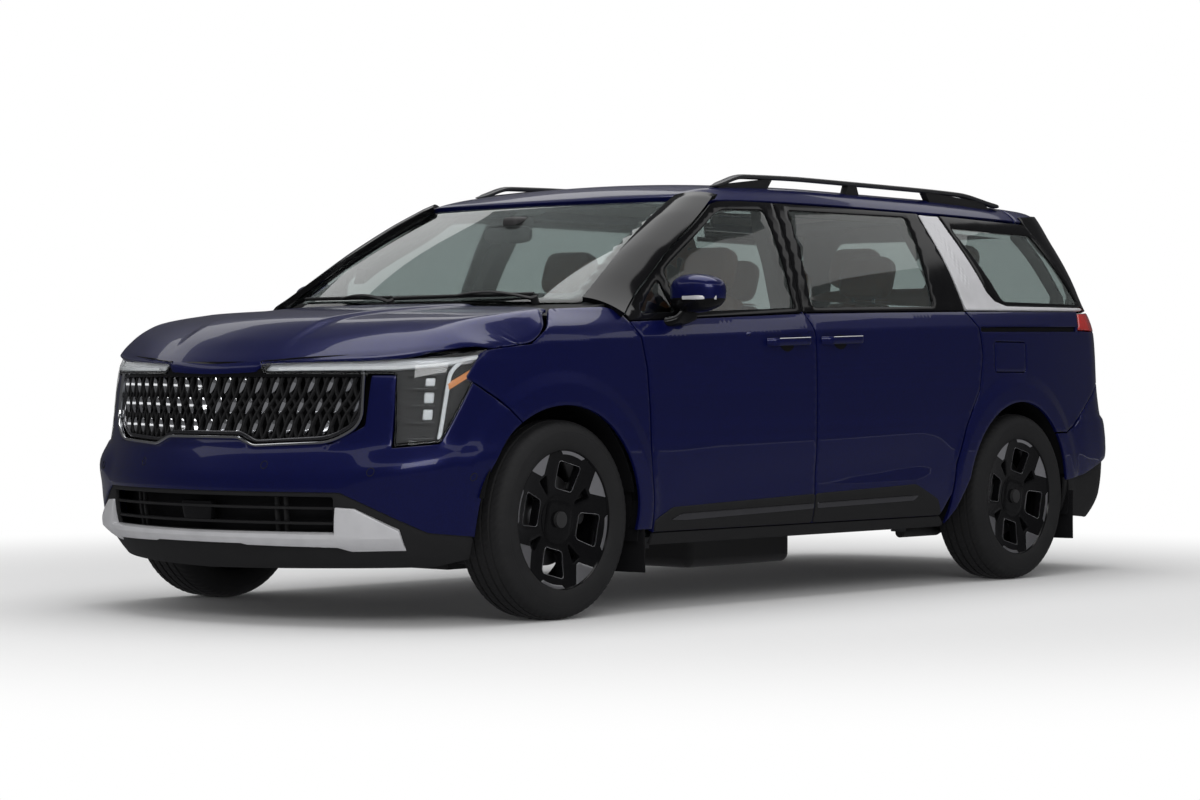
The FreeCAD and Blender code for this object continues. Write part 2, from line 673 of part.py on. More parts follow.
screen_rows = [[screen_point(f, rise) for rise in spread(0, 1, 6)] for f in spread(-1, 1, 11)]
screen_normal = Vector(0, -0.46, 0.888)
windscreen = surface_face(screen_rows).extrude(screen_normal * -size.glass_thickness)
feature("windscreen", windscreen)

PILLAR_EDGE_SHARES = (
    (0.0, -0.405, 0.655), (0.35, -0.300, 0.755), (0.70, -0.195, 0.851), (1.0, -0.125, 0.920))


def pillar(sign):
    """The rounded windscreen pillar, from the glass to the door's leading edge."""
    rows = []
    for rise, station, height in PILLAR_EDGE_SHARES:
        inner = screen_point(1.004, rise)
        outer = Vector(side_x(along(station), up(height)), along(station), up(height))
        bulge = Vector(0.35, -0.45, 0.82) * (inner.distanceToPoint(outer) * 0.16)
        row = []
        for f in spread(0, 1, 5):
            point = inner + (outer - inner) * f + bulge * (4 * f * (1 - f))
            row.append(Vector(sign * point.x, point.y, point.z))
        rows.append(row)
    inward = Vector(-sign * 0.55, 0.25, -0.80) * size.panel_depth
    post = surface_face(rows).extrude(inward)
    return post.cut(side_prism(FRONT_DOOR_SHARES, sign, size.door_gap))


feature("windscreen_pillars", both(pillar))

roof_rows = []
for f in spread(-1, 1, 25):
    bowed = math.sin(f * math.pi / 2) * 0.35 + f * 0.65
    roof_row = []
    for k in spread(0, 1, 12):
        y = along(-0.178) + (along(0.849) - along(-0.178)) * k
        y += across(0.085) * bowed * bowed * (1 - k)
        edge_z = up(curve(ROOF_EDGE_SHARES, station_of(y)))
        x = side_x(y, edge_z) * bowed
        roof_row.append(Vector(x, y, roof_z(x, y)))
    roof_rows.append(roof_row)
roof = surface_face(roof_rows).extrude(Vector(0, 0, -size.roof_thickness))
for side, sign in SIDES:
    for outline in (FRONT_DOOR_SHARES, SLIDING_DOOR_SHARES):
        roof = roof.cut(side_prism(outline, sign, size.door_gap))
feature("roof_panel", roof)

# Bumpers, with the openings for grille, intake and lamps in front view
GRILLE_SHARES = (
    (0.674, 0.514), (-0.674, 0.514), (-0.674, 0.372), (-0.262, 0.372), (-0.178, 0.387),
    (0.178, 0.387), (0.262, 0.372), (0.674, 0.372))
INTAKE_SHARES = ((0.640, 0.272), (-0.640, 0.272), (-0.560, 0.194), (0.560, 0.194))
SKID_SHARES = (
    (0.592, 0.244), (0.656, 0.241), (0.797, 0.198), (0.817, 0.146), (0.677, 0.146), (0.602, 0.161),
    (0.251, 0.164), (-0.251, 0.164), (-0.602, 0.161), (-0.677, 0.146), (-0.817, 0.146), (-0.797, 0.198),
    (-0.656, 0.241), (-0.592, 0.244), (-0.545, 0.191), (0.545, 0.191))
LAMP_SHARES = (
    (0.260, 0.510), (0.728, 0.510), (0.728, 0.385), (0.875, 0.385), (0.897, 0.510), (1.10, 0.510),
    (1.10, 0.580), (0.260, 0.545))


nose_prism = front_prism(GRILLE_SHARES, -1.7, size.front_overhang)
intake_prism = front_prism(INTAKE_SHARES, -1.7, size.front_overhang)
lamp_left = front_prism(LAMP_SHARES, -1.7, size.front_overhang)
lamp_right = mirror_x(lamp_left)
hood_notch = front_prism(((0.245, 0.58), (-0.245, 0.58), (-0.205, 0.527), (0.205, 0.527)), -1.7,
                         size.front_overhang)

front_angles = angle_steps(-85, 85, 41)
front_levels = [up(t) for t in (
    0.115, 0.144, 0.172, 0.230, 0.287, 0.345, 0.380, 0.450, 0.510, 0.540)]
bumper_skin = end_slab(nose, front_angles, front_levels, 0, size.fascia_depth)
front_bumper = bumper_skin.cut(nose_prism).cut(intake_prism).cut(lamp_left).cut(lamp_right)
front_bumper = front_bumper.cut(hood_notch)
for side, sign in SIDES:
    front_bumper = front_bumper.cut(side_prism(FENDER_SHARES, sign, size.seat_gap, 0.4))
    front_bumper = front_bumper.cut(arch_cut(front_axle, sign, size.arch_radius, 0.4, 1.2))
    nose_lip = flare(front_axle, sign, 0.15).cut(side_prism(FENDER_SHARES, sign, size.seat_gap))
    ahead = Part.makeBox(across(2), across(3), up(1),
                         Vector(-across(1) + sign * across(1), front_axle - across(3), 0))
    nose_lip = nose_lip.common(ahead).cut(lamp_left).cut(lamp_right)
    below = Part.makeBox(across(4), across(4), up(0.5), Vector(-across(2), front_axle - across(3.5), 0))
    front_bumper = front_bumper.fuse(nose_lip.common(below))
skid = end_slab(nose, angle_steps(-46, 46, 25), [up(t) for t in (0.144, 0.172, 0.20, 0.225, 0.25)],
                -size.skid_proud, size.skid_proud + size.fascia_depth / 3)
skid = skid.common(front_prism(SKID_SHARES, -1.7, size.front_overhang))
front_bumper = front_bumper.fuse(skid)
feature("front_bumper", max(front_bumper.removeSplitter().Solids, key=lambda s: s.Volume))

REAR_NOTCH_SHARES = ((1.17, 0.462), (1.17, 0.60), (2.0, 0.60), (2.0, 0.462))
rear_angles = angle_steps(-86, 86, 41)
rear_levels = [up(t) for t in (0.130, 0.160, 0.210, 0.287, 0.345, 0.385, 0.430, 0.520)]
rear_skin = end_slab(tail, rear_angles, rear_levels, 0, size.fascia_depth)
rear_bumper = rear_skin
gate_opening = Part.makeBox(across(1.70), across(2), up(0.5),
                            Vector(-across(0.85), rear_end - across(1.0), up(0.400)))
rear_bumper = rear_bumper.cut(gate_opening)
for side, sign in SIDES:
    keep = side_prism(BUMPER_SEAM_SHARES, sign, -size.seat_gap, 0, 1.3)
    rest = side_prism(((-1, 0), (3, 0), (3, 1), (-1, 1)), sign, 0, 0, 1.3)
    rear_bumper = rear_bumper.cut(rest.cut(keep))
    rear_bumper = rear_bumper.cut(arch_cut(rear_axle, sign, size.arch_radius, 0.4, 1.2))
feature("rear_bumper", rear_bumper)

# Grille, intake slats and lamps, set in behind the bumper skin
plate = end_slab(nose, angle_steps(-34, 34, 21),
                 [up(t) for t in (0.366, 0.374, 0.42, 0.47, 0.52)], across(0.020), size.fascia_depth / 3)
grille = plate.common(front_prism(GRILLE_SHARES, -1.7, size.front_overhang, -size.seat_gap))


def lattice_cells():
    """Openings of the grille: rows of diamonds, every second row moved by half a cell."""
    cells = []
    for row in range(size_count["lattice_rows"]):
        height = 0.400 + 0.045 * row
        columns = size_count["lattice_columns"] - row % 2
        for k in range(columns):
            middle = (k - (columns - 1) / 2) * LATTICE_PITCH_SHARE
            wide, high = 0.42 * LATTICE_PITCH_SHARE, 0.0185
            cells.append(front_prism(
                ((middle - wide, height), (middle, height - high), (middle + wide, height),
                 (middle, height + high)), -1.7, size.front_overhang))
    return cells


size_count = {"lattice_rows": 3, "lattice_columns": 17}
LATTICE_PITCH_SHARE = 0.074
grille = grille.cut(lattice_cells())
feature("grille", grille)

slats = end_slab(nose, angle_steps(-34, 34, 21),
                 [up(t) for t in (0.188, 0.210, 0.230, 0.250, 0.280)], across(0.030), size.fascia_depth / 3)
intake = slats.common(front_prism(INTAKE_SHARES, -1.7, size.front_overhang, -size.seat_gap))
INTAKE_SLOT_SHARES = ((0.201, 0.216), (0.224, 0.240), (0.248, 0.264))
for low, high in INTAKE_SLOT_SHARES:
    for side, sign in SIDES:
        inner, outer = sign * across(0.095), sign * across(0.555)
        intake = intake.cut(Part.makeBox(
            abs(outer - inner), size.front_overhang, up(high - low),
            Vector(min(inner, outer), front_end - size.front_overhang / 2, up(low))))
feature("intake_grille", intake)

lamp_body = end_slab(nose, angle_steps(8, 82, 31),
                     [up(t) for t in (0.380, 0.42, 0.46, 0.505, 0.530, 0.560)], across(0.004),
                     size.fascia_depth * 1.5)
lamp_body = lamp_body.common(front_prism(LAMP_SHARES, -1.7, size.front_overhang, -size.seat_gap))
for side, sign in SIDES:
    lamp_body = lamp_body.cut(side_prism(FENDER_SHARES, sign, size.seat_gap, 0.4))
under_hood = hood_shell.copy()
under_hood.translate(Vector(0, 0, -size.hood_edge_gap))
lamp_body = lamp_body.cut(under_hood).cut(hood_shell)
lamp_solid = max(lamp_body.Solids, key=lambda s: s.Volume)
feature("headlamps", Part.makeCompound([lamp_solid, mirror_x(lamp_solid)]))


# Tailgate with its window opening, and the lamps at both sides of it
GATE_SHARES = (
    (-0.66, 0.955), (0.66, 0.955), (0.780, 0.800), (0.860, 0.705), (0.860, 0.640), (0.840, 0.408),
    (-0.840, 0.408), (-0.860, 0.640), (-0.860, 0.705), (-0.780, 0.800))
GATE_GLASS_SHARES = ((-0.60, 0.905), (0.60, 0.905), (0.715, 0.715), (-0.715, 0.715))
GATE_SIDE_SHARES = (
    (1.00, 0.38), (1.22, 0.50), (1.20, 0.640), (1.10, 0.700), (1.104, 0.708), (0.936, 0.890),
    (0.856, 0.946), (0.856, 1.05), (1.70, 1.05), (1.70, 0.38))
TAIL_LAMP_SHARES = (
    (1.008, 0.636), (1.054, 0.690), (1.092, 0.704), (1.60, 0.704), (1.60, 0.500), (1.22, 0.500),
    (1.22, 0.630))


def rear_prism(outline_shares, grow=0):
    return front_prism(outline_shares, 0.75, size.overall_length, grow)


gate_angles = angle_steps(-84, 84, 43)
gate_levels = [up(t) for t in (0.395, 0.430, 0.500, 0.575, 0.632, 0.687, 0.750, 0.805, 0.875, 0.925)]
gate_skin = end_slab(tail, gate_angles, gate_levels, 0, size.fascia_depth)
lower_gate = gate_skin.common(Part.makeBox(
    across(1.68), rear_overhang * 2, up(0.32), Vector(-across(0.84), rear_axle, up(0.408))))
upper_gate = gate_skin.common(Part.makeBox(
    across(4), rear_overhang * 2, up(0.25), Vector(-across(2), rear_axle, up(0.708))))
spoiler_rows = []
for f in spread(-1, 1, 17):
    bowed = math.sin(f * math.pi / 2) * 0.35 + f * 0.65
    spoiler_row = []
    for k in spread(0, 1, 6):
        y = along(0.856) + (along(1.290) - along(0.856)) * k - across(0.10) * bowed * bowed * k
        edge_z = up(curve(ROOF_EDGE_SHARES, station_of(y)))
        x = side_x(y, edge_z) * bowed
        spoiler_row.append(Vector(x, y, roof_z(x, y)))
    spoiler_rows.append(spoiler_row)
spoiler = surface_face(spoiler_rows).extrude(Vector(0, 0, -size.roof_thickness))
gate = lower_gate.fuse([upper_gate, spoiler]).cut(rear_prism(GATE_GLASS_SHARES))
for side, sign in SIDES:
    beyond = side_prism(((-1, 0.3), (3, 0.3), (3, 1.2), (-1, 1.2)), sign, 0, 0.2, 1.3)
    gate = gate.cut(beyond.cut(side_prism(GATE_SIDE_SHARES, sign, 0, 0.2, 1.3)))
feature("tailgate", max(gate.Solids, key=lambda s: s.Volume))
pane_skin = end_slab(tail, gate_angles, gate_levels, size.glass_inset,
                     size.glass_thickness)
feature("tailgate_glass", pane_skin.common(rear_prism(GATE_GLASS_SHARES, -size.seat_gap)))
corner_skin = end_slab(tail, angle_steps(15, 88, 25), gate_levels[2:7], 0,
                       size.fascia_depth)
corner_lamp = corner_skin.common(side_prism(TAIL_LAMP_SHARES, 1, -size.seat_gap, 0.2, 1.3))
inner_box = Part.makeBox(across(0.84) + size.door_gap, rear_overhang * 2, up(0.5),
                         Vector(0, rear_axle, up(0.3)))
corner_lamp = corner_lamp.cut(inner_box)
corner_solid = max(corner_lamp.Solids, key=lambda s: s.Volume)
feature("tail_lamps", Part.makeCompound([corner_solid, mirror_x(corner_solid)]))


# Sketches and turned bodies
def origin_plane(body, role):
    return next(item for item in body.Origin.OriginFeatures if item.Role == role)


def value_of(text):
    """The number that an expression of the sheet gives."""
    names = {alias: float(sheet.get(alias)) for alias in SIZES}
    words = re.findall(r"[a-z_]{5,}", text)
    plain = text
    for word in sorted(words, key=len, reverse=True):
        plain = plain.replace(word, repr(names[word]))
    cell = "D1"
    sheet.set(cell, "=" + plain)
    sheet.recompute()
    return float(sheet.get(cell))


def sketched(body, name, plane, corners):
    """A closed outline whose corners are bound to expressions of the sheet."""
    sketch = body.newObject("Sketcher::SketchObject", name)
    sketch.AttachmentSupport = (origin_plane(body, plane), [""])
    sketch.MapMode = "FlatFace"
    values = [(value_of(a), value_of(b)) for a, b in corners]
    count = len(corners)
    for k in range(count):
        start, end = Vector(*values[k], 0), Vector(*values[(k + 1) % count], 0)
        sketch.addGeometry(Part.LineSegment(start, end), False)
    for k in range(count):
        sketch.addConstraint(Sketcher.Constraint("Coincident", k, 2, (k + 1) % count, 1))
    for k, pair in enumerate(corners):
        for kind, text, value in zip(("DistanceX", "DistanceY"), pair, values[k]):
            number = sketch.addConstraint(Sketcher.Constraint(kind, -1, 1, k, 1, value))
            label = "%s_%d" % (kind[-1], k)
            sketch.renameConstraint(number, label)
            sketch.setExpression("Constraints." + label, formula(text))
    return sketch


def turned(body, sketch, axis="X_Axis"):
    revolution = body.newObject("PartDesign::Revolution", sketch.Name + "_turn")
    revolution.Profile = sketch
    revolution.ReferenceAxis = (origin_plane(body, axis), [""])
    revolution.Angle = 360
    return revolution


def placed_copies(label_start, master, turn_right=True):
    """A wheel piece at each corner. The master lies on the axle's own axes, outer side +X, and
    the right-hand copies are turned about the vertical."""
    doc.recompute()
    for end, axle in (("front", front_axle), ("rear", rear_axle)):
        for side, sign in SIDES:
            shape = master.Shape.copy()
            turn = FreeCAD.Rotation(Vector(0, 0, 1), 0 if sign > 0 else 180)
            place = FreeCAD.Placement(Vector(sign * wheel_centre, axle, axle_height), turn)
            shape.Placement = place
            label = "%s_%s_%s" % (label_start, end, side)
            feature(label, Part.makeCompound([shape]) if shape.ShapeType == "Compound" else shape)


tyre = doc.addObject("PartDesign::Body", "tyre_master")
tyre_profile = sketched(tyre, "tyre_profile", "XY_Plane", (
    ("-rim_width/2", "bead_radius"), ("-tyre_width/2", "(flange_radius+tyre_radius)/2"),
    ("-shoulder_width/2", "tyre_radius-tread_drop"), ("-shoulder_width/4", "tyre_radius"),
    ("shoulder_width/4", "tyre_radius"), ("shoulder_width/2", "tyre_radius-tread_drop"),
    ("tyre_width/2", "(flange_radius+tyre_radius)/2"), ("rim_width/2", "bead_radius")))
turned(tyre, tyre_profile)
placed_copies("tyre", tyre)

# The rim: a turned barrel and face, with four windows and four slots patterned round the hub
rim = doc.addObject("PartDesign::Body", "rim_master")
barrel_profile = sketched(rim, "barrel_profile", "XY_Plane", (
    ("-rim_width/2", "bead_radius-fit_gap"), ("rim_width/2", "bead_radius-fit_gap"),
    ("rim_width/2", "bead_radius-3*rim_wall"), ("0", "well_radius"),
    ("-rim_width/2", "bead_radius-2*rim_wall")))
turned(rim, barrel_profile)
hub_profile = sketched(rim, "hub_profile", "XY_Plane", (
    ("rim_width/2-disc_inset+disc_thickness/2+fit_gap", "hub_bore"),
    ("rim_width/2-disc_inset+disc_thickness/2+fit_gap", "hub_radius"),
    ("rim_width/2-face_inset", "hub_radius"), ("rim_width/2-face_inset", "hub_bore")))
turned(rim, hub_profile)
face_profile = sketched(rim, "face_profile", "XY_Plane", (
    ("rim_width/2-face_inset-spoke_depth", "hub_radius-rim_wall"),
    ("rim_width/2-face_inset-spoke_depth*1.4", "bead_radius-1.5*rim_wall"),
    ("rim_width/2-face_inset*0.2", "bead_radius-1.5*rim_wall"),
    ("rim_width/2-face_inset", "hub_radius-rim_wall")))
turned(rim, face_profile)
window_cuts = []
for name, corners, turn in (
        ("window", (("window_inner_radius", "-window_half_width*0.8"),
                    ("window_outer_radius", "-window_half_width"),
                    ("window_outer_radius", "window_half_width"),
                    ("window_inner_radius", "window_half_width*0.8")),
         size.window_turn),
        ("slot", (("window_inner_radius", "-spoke_slot_width/16"),
                  ("window_outer_radius-rim_wall", "-spoke_slot_width/2.6"),
                  ("window_outer_radius-rim_wall", "spoke_slot_width/2.6"),
                  ("window_inner_radius", "spoke_slot_width/16")),
         size.window_turn + 45)):
    outline = sketched(rim, name + "_outline", "YZ_Plane", corners)
    outline.AttachmentOffset = FreeCAD.Placement(Vector(0, 0, 0), FreeCAD.Rotation(Vector(0, 0, 1), turn))
    outline.setExpression(".AttachmentOffset.Base.z", formula("rim_width/2-face_inset-spoke_depth/2"))
    pocket_cut = rim.newObject("PartDesign::Pocket", name + "_pocket")
    pocket_cut.Profile = outline
    pocket_cut.Midplane = True
    pocket_cut.setExpression("Length", formula("spoke_depth*4"))
    pattern = rim.newObject("PartDesign::PolarPattern", name + "_pattern")
    pattern.Originals = [pocket_cut]
    pattern.Axis = (origin_plane(rim, "X_Axis"), [""])
    pattern.Angle = 360
    pattern.Occurrences = 4
    rim.Tip = pattern
placed_copies("rim", rim)

# The brake disc with its hat
disc = doc.addObject("PartDesign::Body", "disc_master")
disc_profile = sketched(disc, "disc_profile", "XY_Plane", (
    ("rim_width/2-disc_inset-disc_thickness*1.5", "disc_radius"),
    ("rim_width/2-disc_inset-disc_thickness/2", "disc_radius"),
    ("rim_width/2-disc_inset-disc_thickness/2", "hat_radius"),
    ("rim_width/2-disc_inset+disc_thickness/2", "hat_radius"),
    ("rim_width/2-disc_inset+disc_thickness/2", "hub_bore"),
    ("rim_width/2-disc_inset", "hub_bore"),
    ("rim_width/2-disc_inset-disc_thickness*1.5", "hat_radius-rim_wall")))
turned(disc, disc_profile)
placed_copies("brake_disc", disc)



# Knuckles with their struts and calipers
kingpin_share = 0.744
kingpin_top = Vector(wheel_centre - size.kingpin_offset - size.kingpin_lean * kingpin_share,
                     front_axle, axle_height + size.kingpin_rise * kingpin_share)
kingpin_low = kingpin_top + Vector(size.kingpin_lean, 0, -size.kingpin_rise)
kingpin_line = kingpin_top - kingpin_low
kingpin_line.normalize()
disc_back = wheel_centre + size.rim_width / 2 - size.disc_inset - 1.5 * size.disc_thickness
hub_end = wheel_centre + size.rim_width / 2 - size.face_inset


def box_between(low, high):
    return Part.makeBox(high.x - low.x, high.y - low.y, high.z - low.z, low)


def bar(start, end, radius):
    line = end - start
    return Part.makeCylinder(radius, line.Length, start, line)


def knuckle(sign):
    """Hub carrier with its spindle, the lower ball socket and the strut that leans inwards."""
    carrier_end = disc_back - size.wheel_gap
    carrier = bar(Vector(carrier_end - size.hub_carrier_width, front_axle, axle_height),
                  Vector(carrier_end, front_axle, axle_height), size.hub_carrier_radius)
    spindle = bar(Vector(carrier_end - size.hub_carrier_width, front_axle, axle_height),
                  Vector(hub_end, front_axle, axle_height), size.spindle_radius)
    foot = kingpin_low + kingpin_line * (size.ball_radius + size.seat_gap)
    lower = bar(foot, kingpin_low + kingpin_line * size.kingpin_rise * 0.20, size.ball_radius * 0.9)
    strut = bar(kingpin_low + kingpin_line * size.kingpin_rise * 0.30,
                kingpin_top - kingpin_line * size.seat_gap, size.strut_radius)
    web = bar(kingpin_low + kingpin_line * size.kingpin_rise * 0.40,
              Vector(carrier_end - size.hub_carrier_width / 2, front_axle, axle_height),
              size.strut_radius * 0.8)
    seat_end = kingpin_top - kingpin_line * (size.spring_radius * 0.3)
    spring = bar(seat_end - kingpin_line * size.spring_height, seat_end, size.spring_radius)
    shape = fuse([carrier, spindle, lower, strut, web, spring])
    return shape if sign > 0 else mirror_x(shape)


for side, sign in SIDES:
    feature("knuckle_" + side, knuckle(sign))


def front_subframe():
    """Cross beam, lower arms with their ball joints, and strut towers under the hood."""
    beam = Part.makeBox(size.rail_spacing, size.beam_width * 2, size.beam_height,
                        Vector(-size.rail_spacing / 2, front_axle - size.beam_width / 2, 0))
    beam.translate(Vector(0, 0, kingpin_low.z - size.beam_height / 2))
    shapes = [beam]
    for side, sign in SIDES:
        low = Vector(sign * kingpin_low.x, kingpin_low.y, kingpin_low.z)
        root_place = Vector(sign * size.rail_spacing / 2.4, front_axle, kingpin_low.z)
        arm_end = low - Vector(0, 0, size.ball_radius / 2)
        shapes.append(bar(root_place, arm_end, size.arm_thickness / 2))
        shapes.append(bar(root_place + Vector(0, size.beam_width, 0), arm_end, size.arm_thickness / 2))
        shapes.append(Part.makeSphere(size.ball_radius, low))
        top = Vector(sign * kingpin_top.x, kingpin_top.y, kingpin_top.z)
        lean = Vector(sign * kingpin_line.x, 0, kingpin_line.z)
        shapes.append(Part.makeCylinder(size.spring_radius * 1.3, size.rail_wall_thickness * 2, top, lean))
        plate = box_between(Vector(size.rail_spacing / 2, front_axle - size.beam_width / 2,
                                   top.z + size.rail_wall_thickness),
                            Vector(kingpin_top.x + size.ball_radius, front_axle + size.beam_width / 2,
                                   top.z + 5 * size.rail_wall_thickness))
        pad = box_between(Vector(size.engine_length / 2 + size.seat_gap, front_axle - size.arm_width,
                                 size.rail_base_height + size.rail_wall_thickness),
                          Vector(size.rail_spacing / 2, front_axle + size.arm_width,
                                 size.rail_base_height + size.rail_height - size.rail_wall_thickness))
        shapes += [plate, pad] if sign > 0 else [mirror_x(plate), mirror_x(pad)]
        rail_length = along(-0.375) - size.seat_gap - along(-1.28)
        side_rail = Part.makeBox(size.rail_width, rail_length, size.rail_height)
        side_rail.translate(Vector(sign * size.rail_spacing / 2 - size.rail_width / 2,
                                   along(-1.28), size.rail_base_height))
        shapes.append(side_rail)
        tower_height = top.z + 4 * size.rail_wall_thickness - size.rail_base_height
        tower = Part.makeBox(size.rail_width, size.beam_width, tower_height)
        tower.translate(Vector(sign * size.rail_spacing / 2 - size.rail_width / 2,
                               front_axle - size.beam_width / 2, size.rail_base_height))
        shapes.append(tower)
        mount = Part.makeBox(size.rail_width * 0.5, size.beam_width,
                             size.rail_base_height - kingpin_low.z)
        mount.translate(Vector(sign * size.rail_spacing / 2 - size.rail_width / 4,
                               front_axle - size.beam_width / 2, kingpin_low.z))
        shapes.append(mount)
    support = Part.makeBox(size.rail_spacing, size.beam_height, size.rail_height,
                           Vector(-size.rail_spacing / 2, along(-1.28), size.rail_base_height))
    shapes.append(support)
    return fuse(shapes)


feature("front_subframe", front_subframe())


def rear_axle_beam():
    """Cross beam, hub carriers with spindles, trailing arms and springs."""
    load_height = up(0.35)
    carrier_end = disc_back - size.wheel_gap
    shapes = [bar(Vector(-carrier_end + size.hub_carrier_width, rear_axle, axle_height - size.beam_height),
                  Vector(carrier_end - size.hub_carrier_width, rear_axle, axle_height - size.beam_height),
                  size.beam_height / 2)]
    for side, sign in SIDES:
        inner = Vector(sign * (carrier_end - size.hub_carrier_width), rear_axle, axle_height)
        shapes.append(bar(inner, Vector(sign * carrier_end, rear_axle, axle_height),
                          size.hub_carrier_radius))
        shapes.append(bar(inner, Vector(sign * hub_end, rear_axle, axle_height), size.spindle_radius))
        knee = Vector(sign * (carrier_end - size.hub_carrier_width - size.beam_height), rear_axle,
                      axle_height - size.beam_height)
        drop = Vector(sign * size.ball_radius, 0, -size.beam_height / 2)
        shapes.append(bar(inner + drop, knee, size.beam_height / 2))
        arm_radius = size.beam_height / 3
        low_z = size.floor_height - arm_radius - size.seat_gap
        front_mount = Vector(knee.x, along(0.33), low_z)
        bend = Vector(knee.x, along(0.42), low_z)
        shapes.append(bar(front_mount, bend, arm_radius))
        shapes.append(Part.makeSphere(arm_radius, bend))
        shapes.append(bar(bend, knee, arm_radius))
        spring_foot = knee - Vector(sign * size.spring_radius, 0, 0)
        spring_top = Vector(spring_foot.x, rear_axle, load_height - size.seat_gap)
        shapes.append(bar(spring_foot, spring_top, size.spring_radius))
    return fuse(shapes)


feature("rear_axle", rear_axle_beam())


# Floor with firewall, hinge pillars, wheel housings and load floor
def floor_pan():
    """Cabin floor, the raised load floor, the firewall and the pillars that carry the doors."""
    top = size.floor_height + size.floor_thickness
    wide = size.floor_half_width
    shapes = [box_between(Vector(-wide, along(-0.36), size.floor_height), Vector(wide, along(0.345), top))]
    shapes.append(box_between(Vector(-load_half_width, along(0.34), size.floor_height),
                              Vector(load_half_width, along(0.40), top)))
    shapes.append(box_between(Vector(-load_half_width, along(0.39), size.floor_height),
                              Vector(load_half_width, along(0.40), load_height)))
    shapes.append(box_between(Vector(-load_half_width, along(0.39), load_height),
                              Vector(load_half_width, along(1.26), load_height + size.floor_thickness)))
    firewall = box_between(Vector(-load_half_width, along(-0.375), size.floor_height),
                           Vector(load_half_width, along(-0.360), up(0.594)))
    for side, sign in SIDES:
        outer = size.liner_radius + size.liner_thickness
        firewall = firewall.cut(Part.makeCylinder(
            outer, size.liner_depth, Vector(sign * liner_end, front_axle, axle_height), Vector(-sign, 0, 0)))
    shapes.append(firewall)
    for side, sign in SIDES:
        inner = sign * (half_width - size.pillar_inset - size.pillar_width)
        outer = inner + sign * size.pillar_width
        shapes.append(box_between(Vector(min(inner, outer), along(-0.345), size.floor_height),
                                  Vector(max(inner, outer), along(-0.295), up(0.62))))
        for station in JACK_STATION_SHARES:
            shapes.append(Part.makeCylinder(
                size.jack_pad_radius, size.jack_pad_height + size.floor_thickness,
                Vector(sign * (wide - 1.5 * size.jack_pad_radius), along(station),
                       size.floor_height - size.jack_pad_height)))
    return fuse(shapes)


JACK_STATION_SHARES = (-0.27, 0.30)
load_height = up(0.35)
load_half_width = wheel_centre - size.tyre_width / 2 - size.floor_thickness
liner_end = wheel_centre + size.tyre_width * 0.36


def housing(sign, axle, depth):
    """A wheel housing: a thin arch over the tyre, closed on its inner side, up to the body side."""
    start = Vector(sign * liner_end, axle, axle_height)
    outer = Part.makeCylinder(size.liner_radius + size.liner_thickness, depth, start, Vector(-sign, 0, 0))
    inner = Part.makeCylinder(size.liner_radius, depth - size.liner_thickness, start, Vector(-sign, 0, 0))
    below = box_between(Vector(-across(1.2), axle - across(1), -across(1)),
                        Vector(across(1.2), axle + across(1), size.floor_height + size.floor_thickness))
    return outer.cut(inner).cut(below)


liners = []
for side, sign in SIDES:
    front_liner = housing(sign, front_axle, size.liner_depth)
    hole_end = Vector(sign * kingpin_top.x, kingpin_top.y, kingpin_top.z)
    hole_line = Vector(sign * kingpin_line.x, 0, kingpin_line.z)
    front_liner = front_liner.cut(Part.makeCylinder(
        size.spring_radius * 1.4, size.spring_height, hole_end - hole_line * size.spring_height, hole_line))
    rear_liner = housing(sign, rear_axle, liner_end - load_half_width)
    for piece in pieces:
        if piece.Label in ("fender_" + side, "front_bumper"):
            front_liner = front_liner.cut(piece.Shape)
        if piece.Label in ("quarter_" + side, "side_frame_" + side, "rear_bumper"):
            rear_liner = rear_liner.cut(piece.Shape)
    for liner in (front_liner, rear_liner):
        liners.append(max(liner.Solids, key=lambda s: s.Volume))
feature("floor_pan", floor_pan())
feature("wheel_housings", Part.makeCompound(liners))


# Engine, tank and exhaust
engine = primitive("Box", "engine_core", {"Length": "engine_length", "Width": "engine_width",
                   "Height": "engine_height"},
                   ("-engine_length/2", "-overall_length/2+front_overhang-engine_width/2",
                    "engine_base"))
block = rounded("engine_block", engine, size.seat_round)
pieces.append(block)
tank_core = primitive("Box", "tank_core", {"Length": "tank_width", "Width": "tank_length",
                      "Height": "tank_height"},
                      ("-tank_width/2", "-overall_length/2+front_overhang+wheelbase/2",
                       "floor_height-tank_height"))
tank = rounded("fuel_tank", tank_core, size.tank_height / 4)
pieces.append(tank)
muffler = primitive("Cylinder", "muffler", {"Radius": "muffler_radius", "Height": "muffler_length"},
                    ("-tank_width/2-pipe_radius*3", "overall_length/2-muffler_radius*2.6",
                     "floor_height+muffler_radius/2"), (0, 1, 0), 90)
tail_pipe = primitive("Cylinder", "exhaust_pipe", {"Radius": "pipe_radius",
                      "Height": "overall_length-front_overhang-engine_width/2"
                                "-muffler_radius*2.6+pipe_radius*2"},
                      ("-tank_width/2-pipe_radius*1.5", "overall_length/2-muffler_radius*2.6",
                       "floor_height-pipe_radius-seat_gap"), (1, 0, 0), 90)
down_pipe = primitive("Cylinder", "down_pipe", {"Radius": "pipe_radius",
                      "Height": "engine_base-floor_height+pipe_radius"},
                      ("-tank_width/2-pipe_radius*1.5",
                       "-overall_length/2+front_overhang+engine_width/2-pipe_radius*2",
                       "floor_height-pipe_radius-seat_gap"))


# The muffler and its pipe, joined, and hung under the floor
exhaust = joined("exhaust", [muffler, tail_pipe, down_pipe])
pieces.append(exhaust)


# Cowl below the windscreen, with the brackets that carry the hood's pins
hood_axis_y = along(-0.452) + size.hood_hinge_back
hood_axis_z = up(0.632)
hood_arm_x = across(0.745)


def screen_base_y(x):
    return screen_point(x / screen_base[0], 0).y


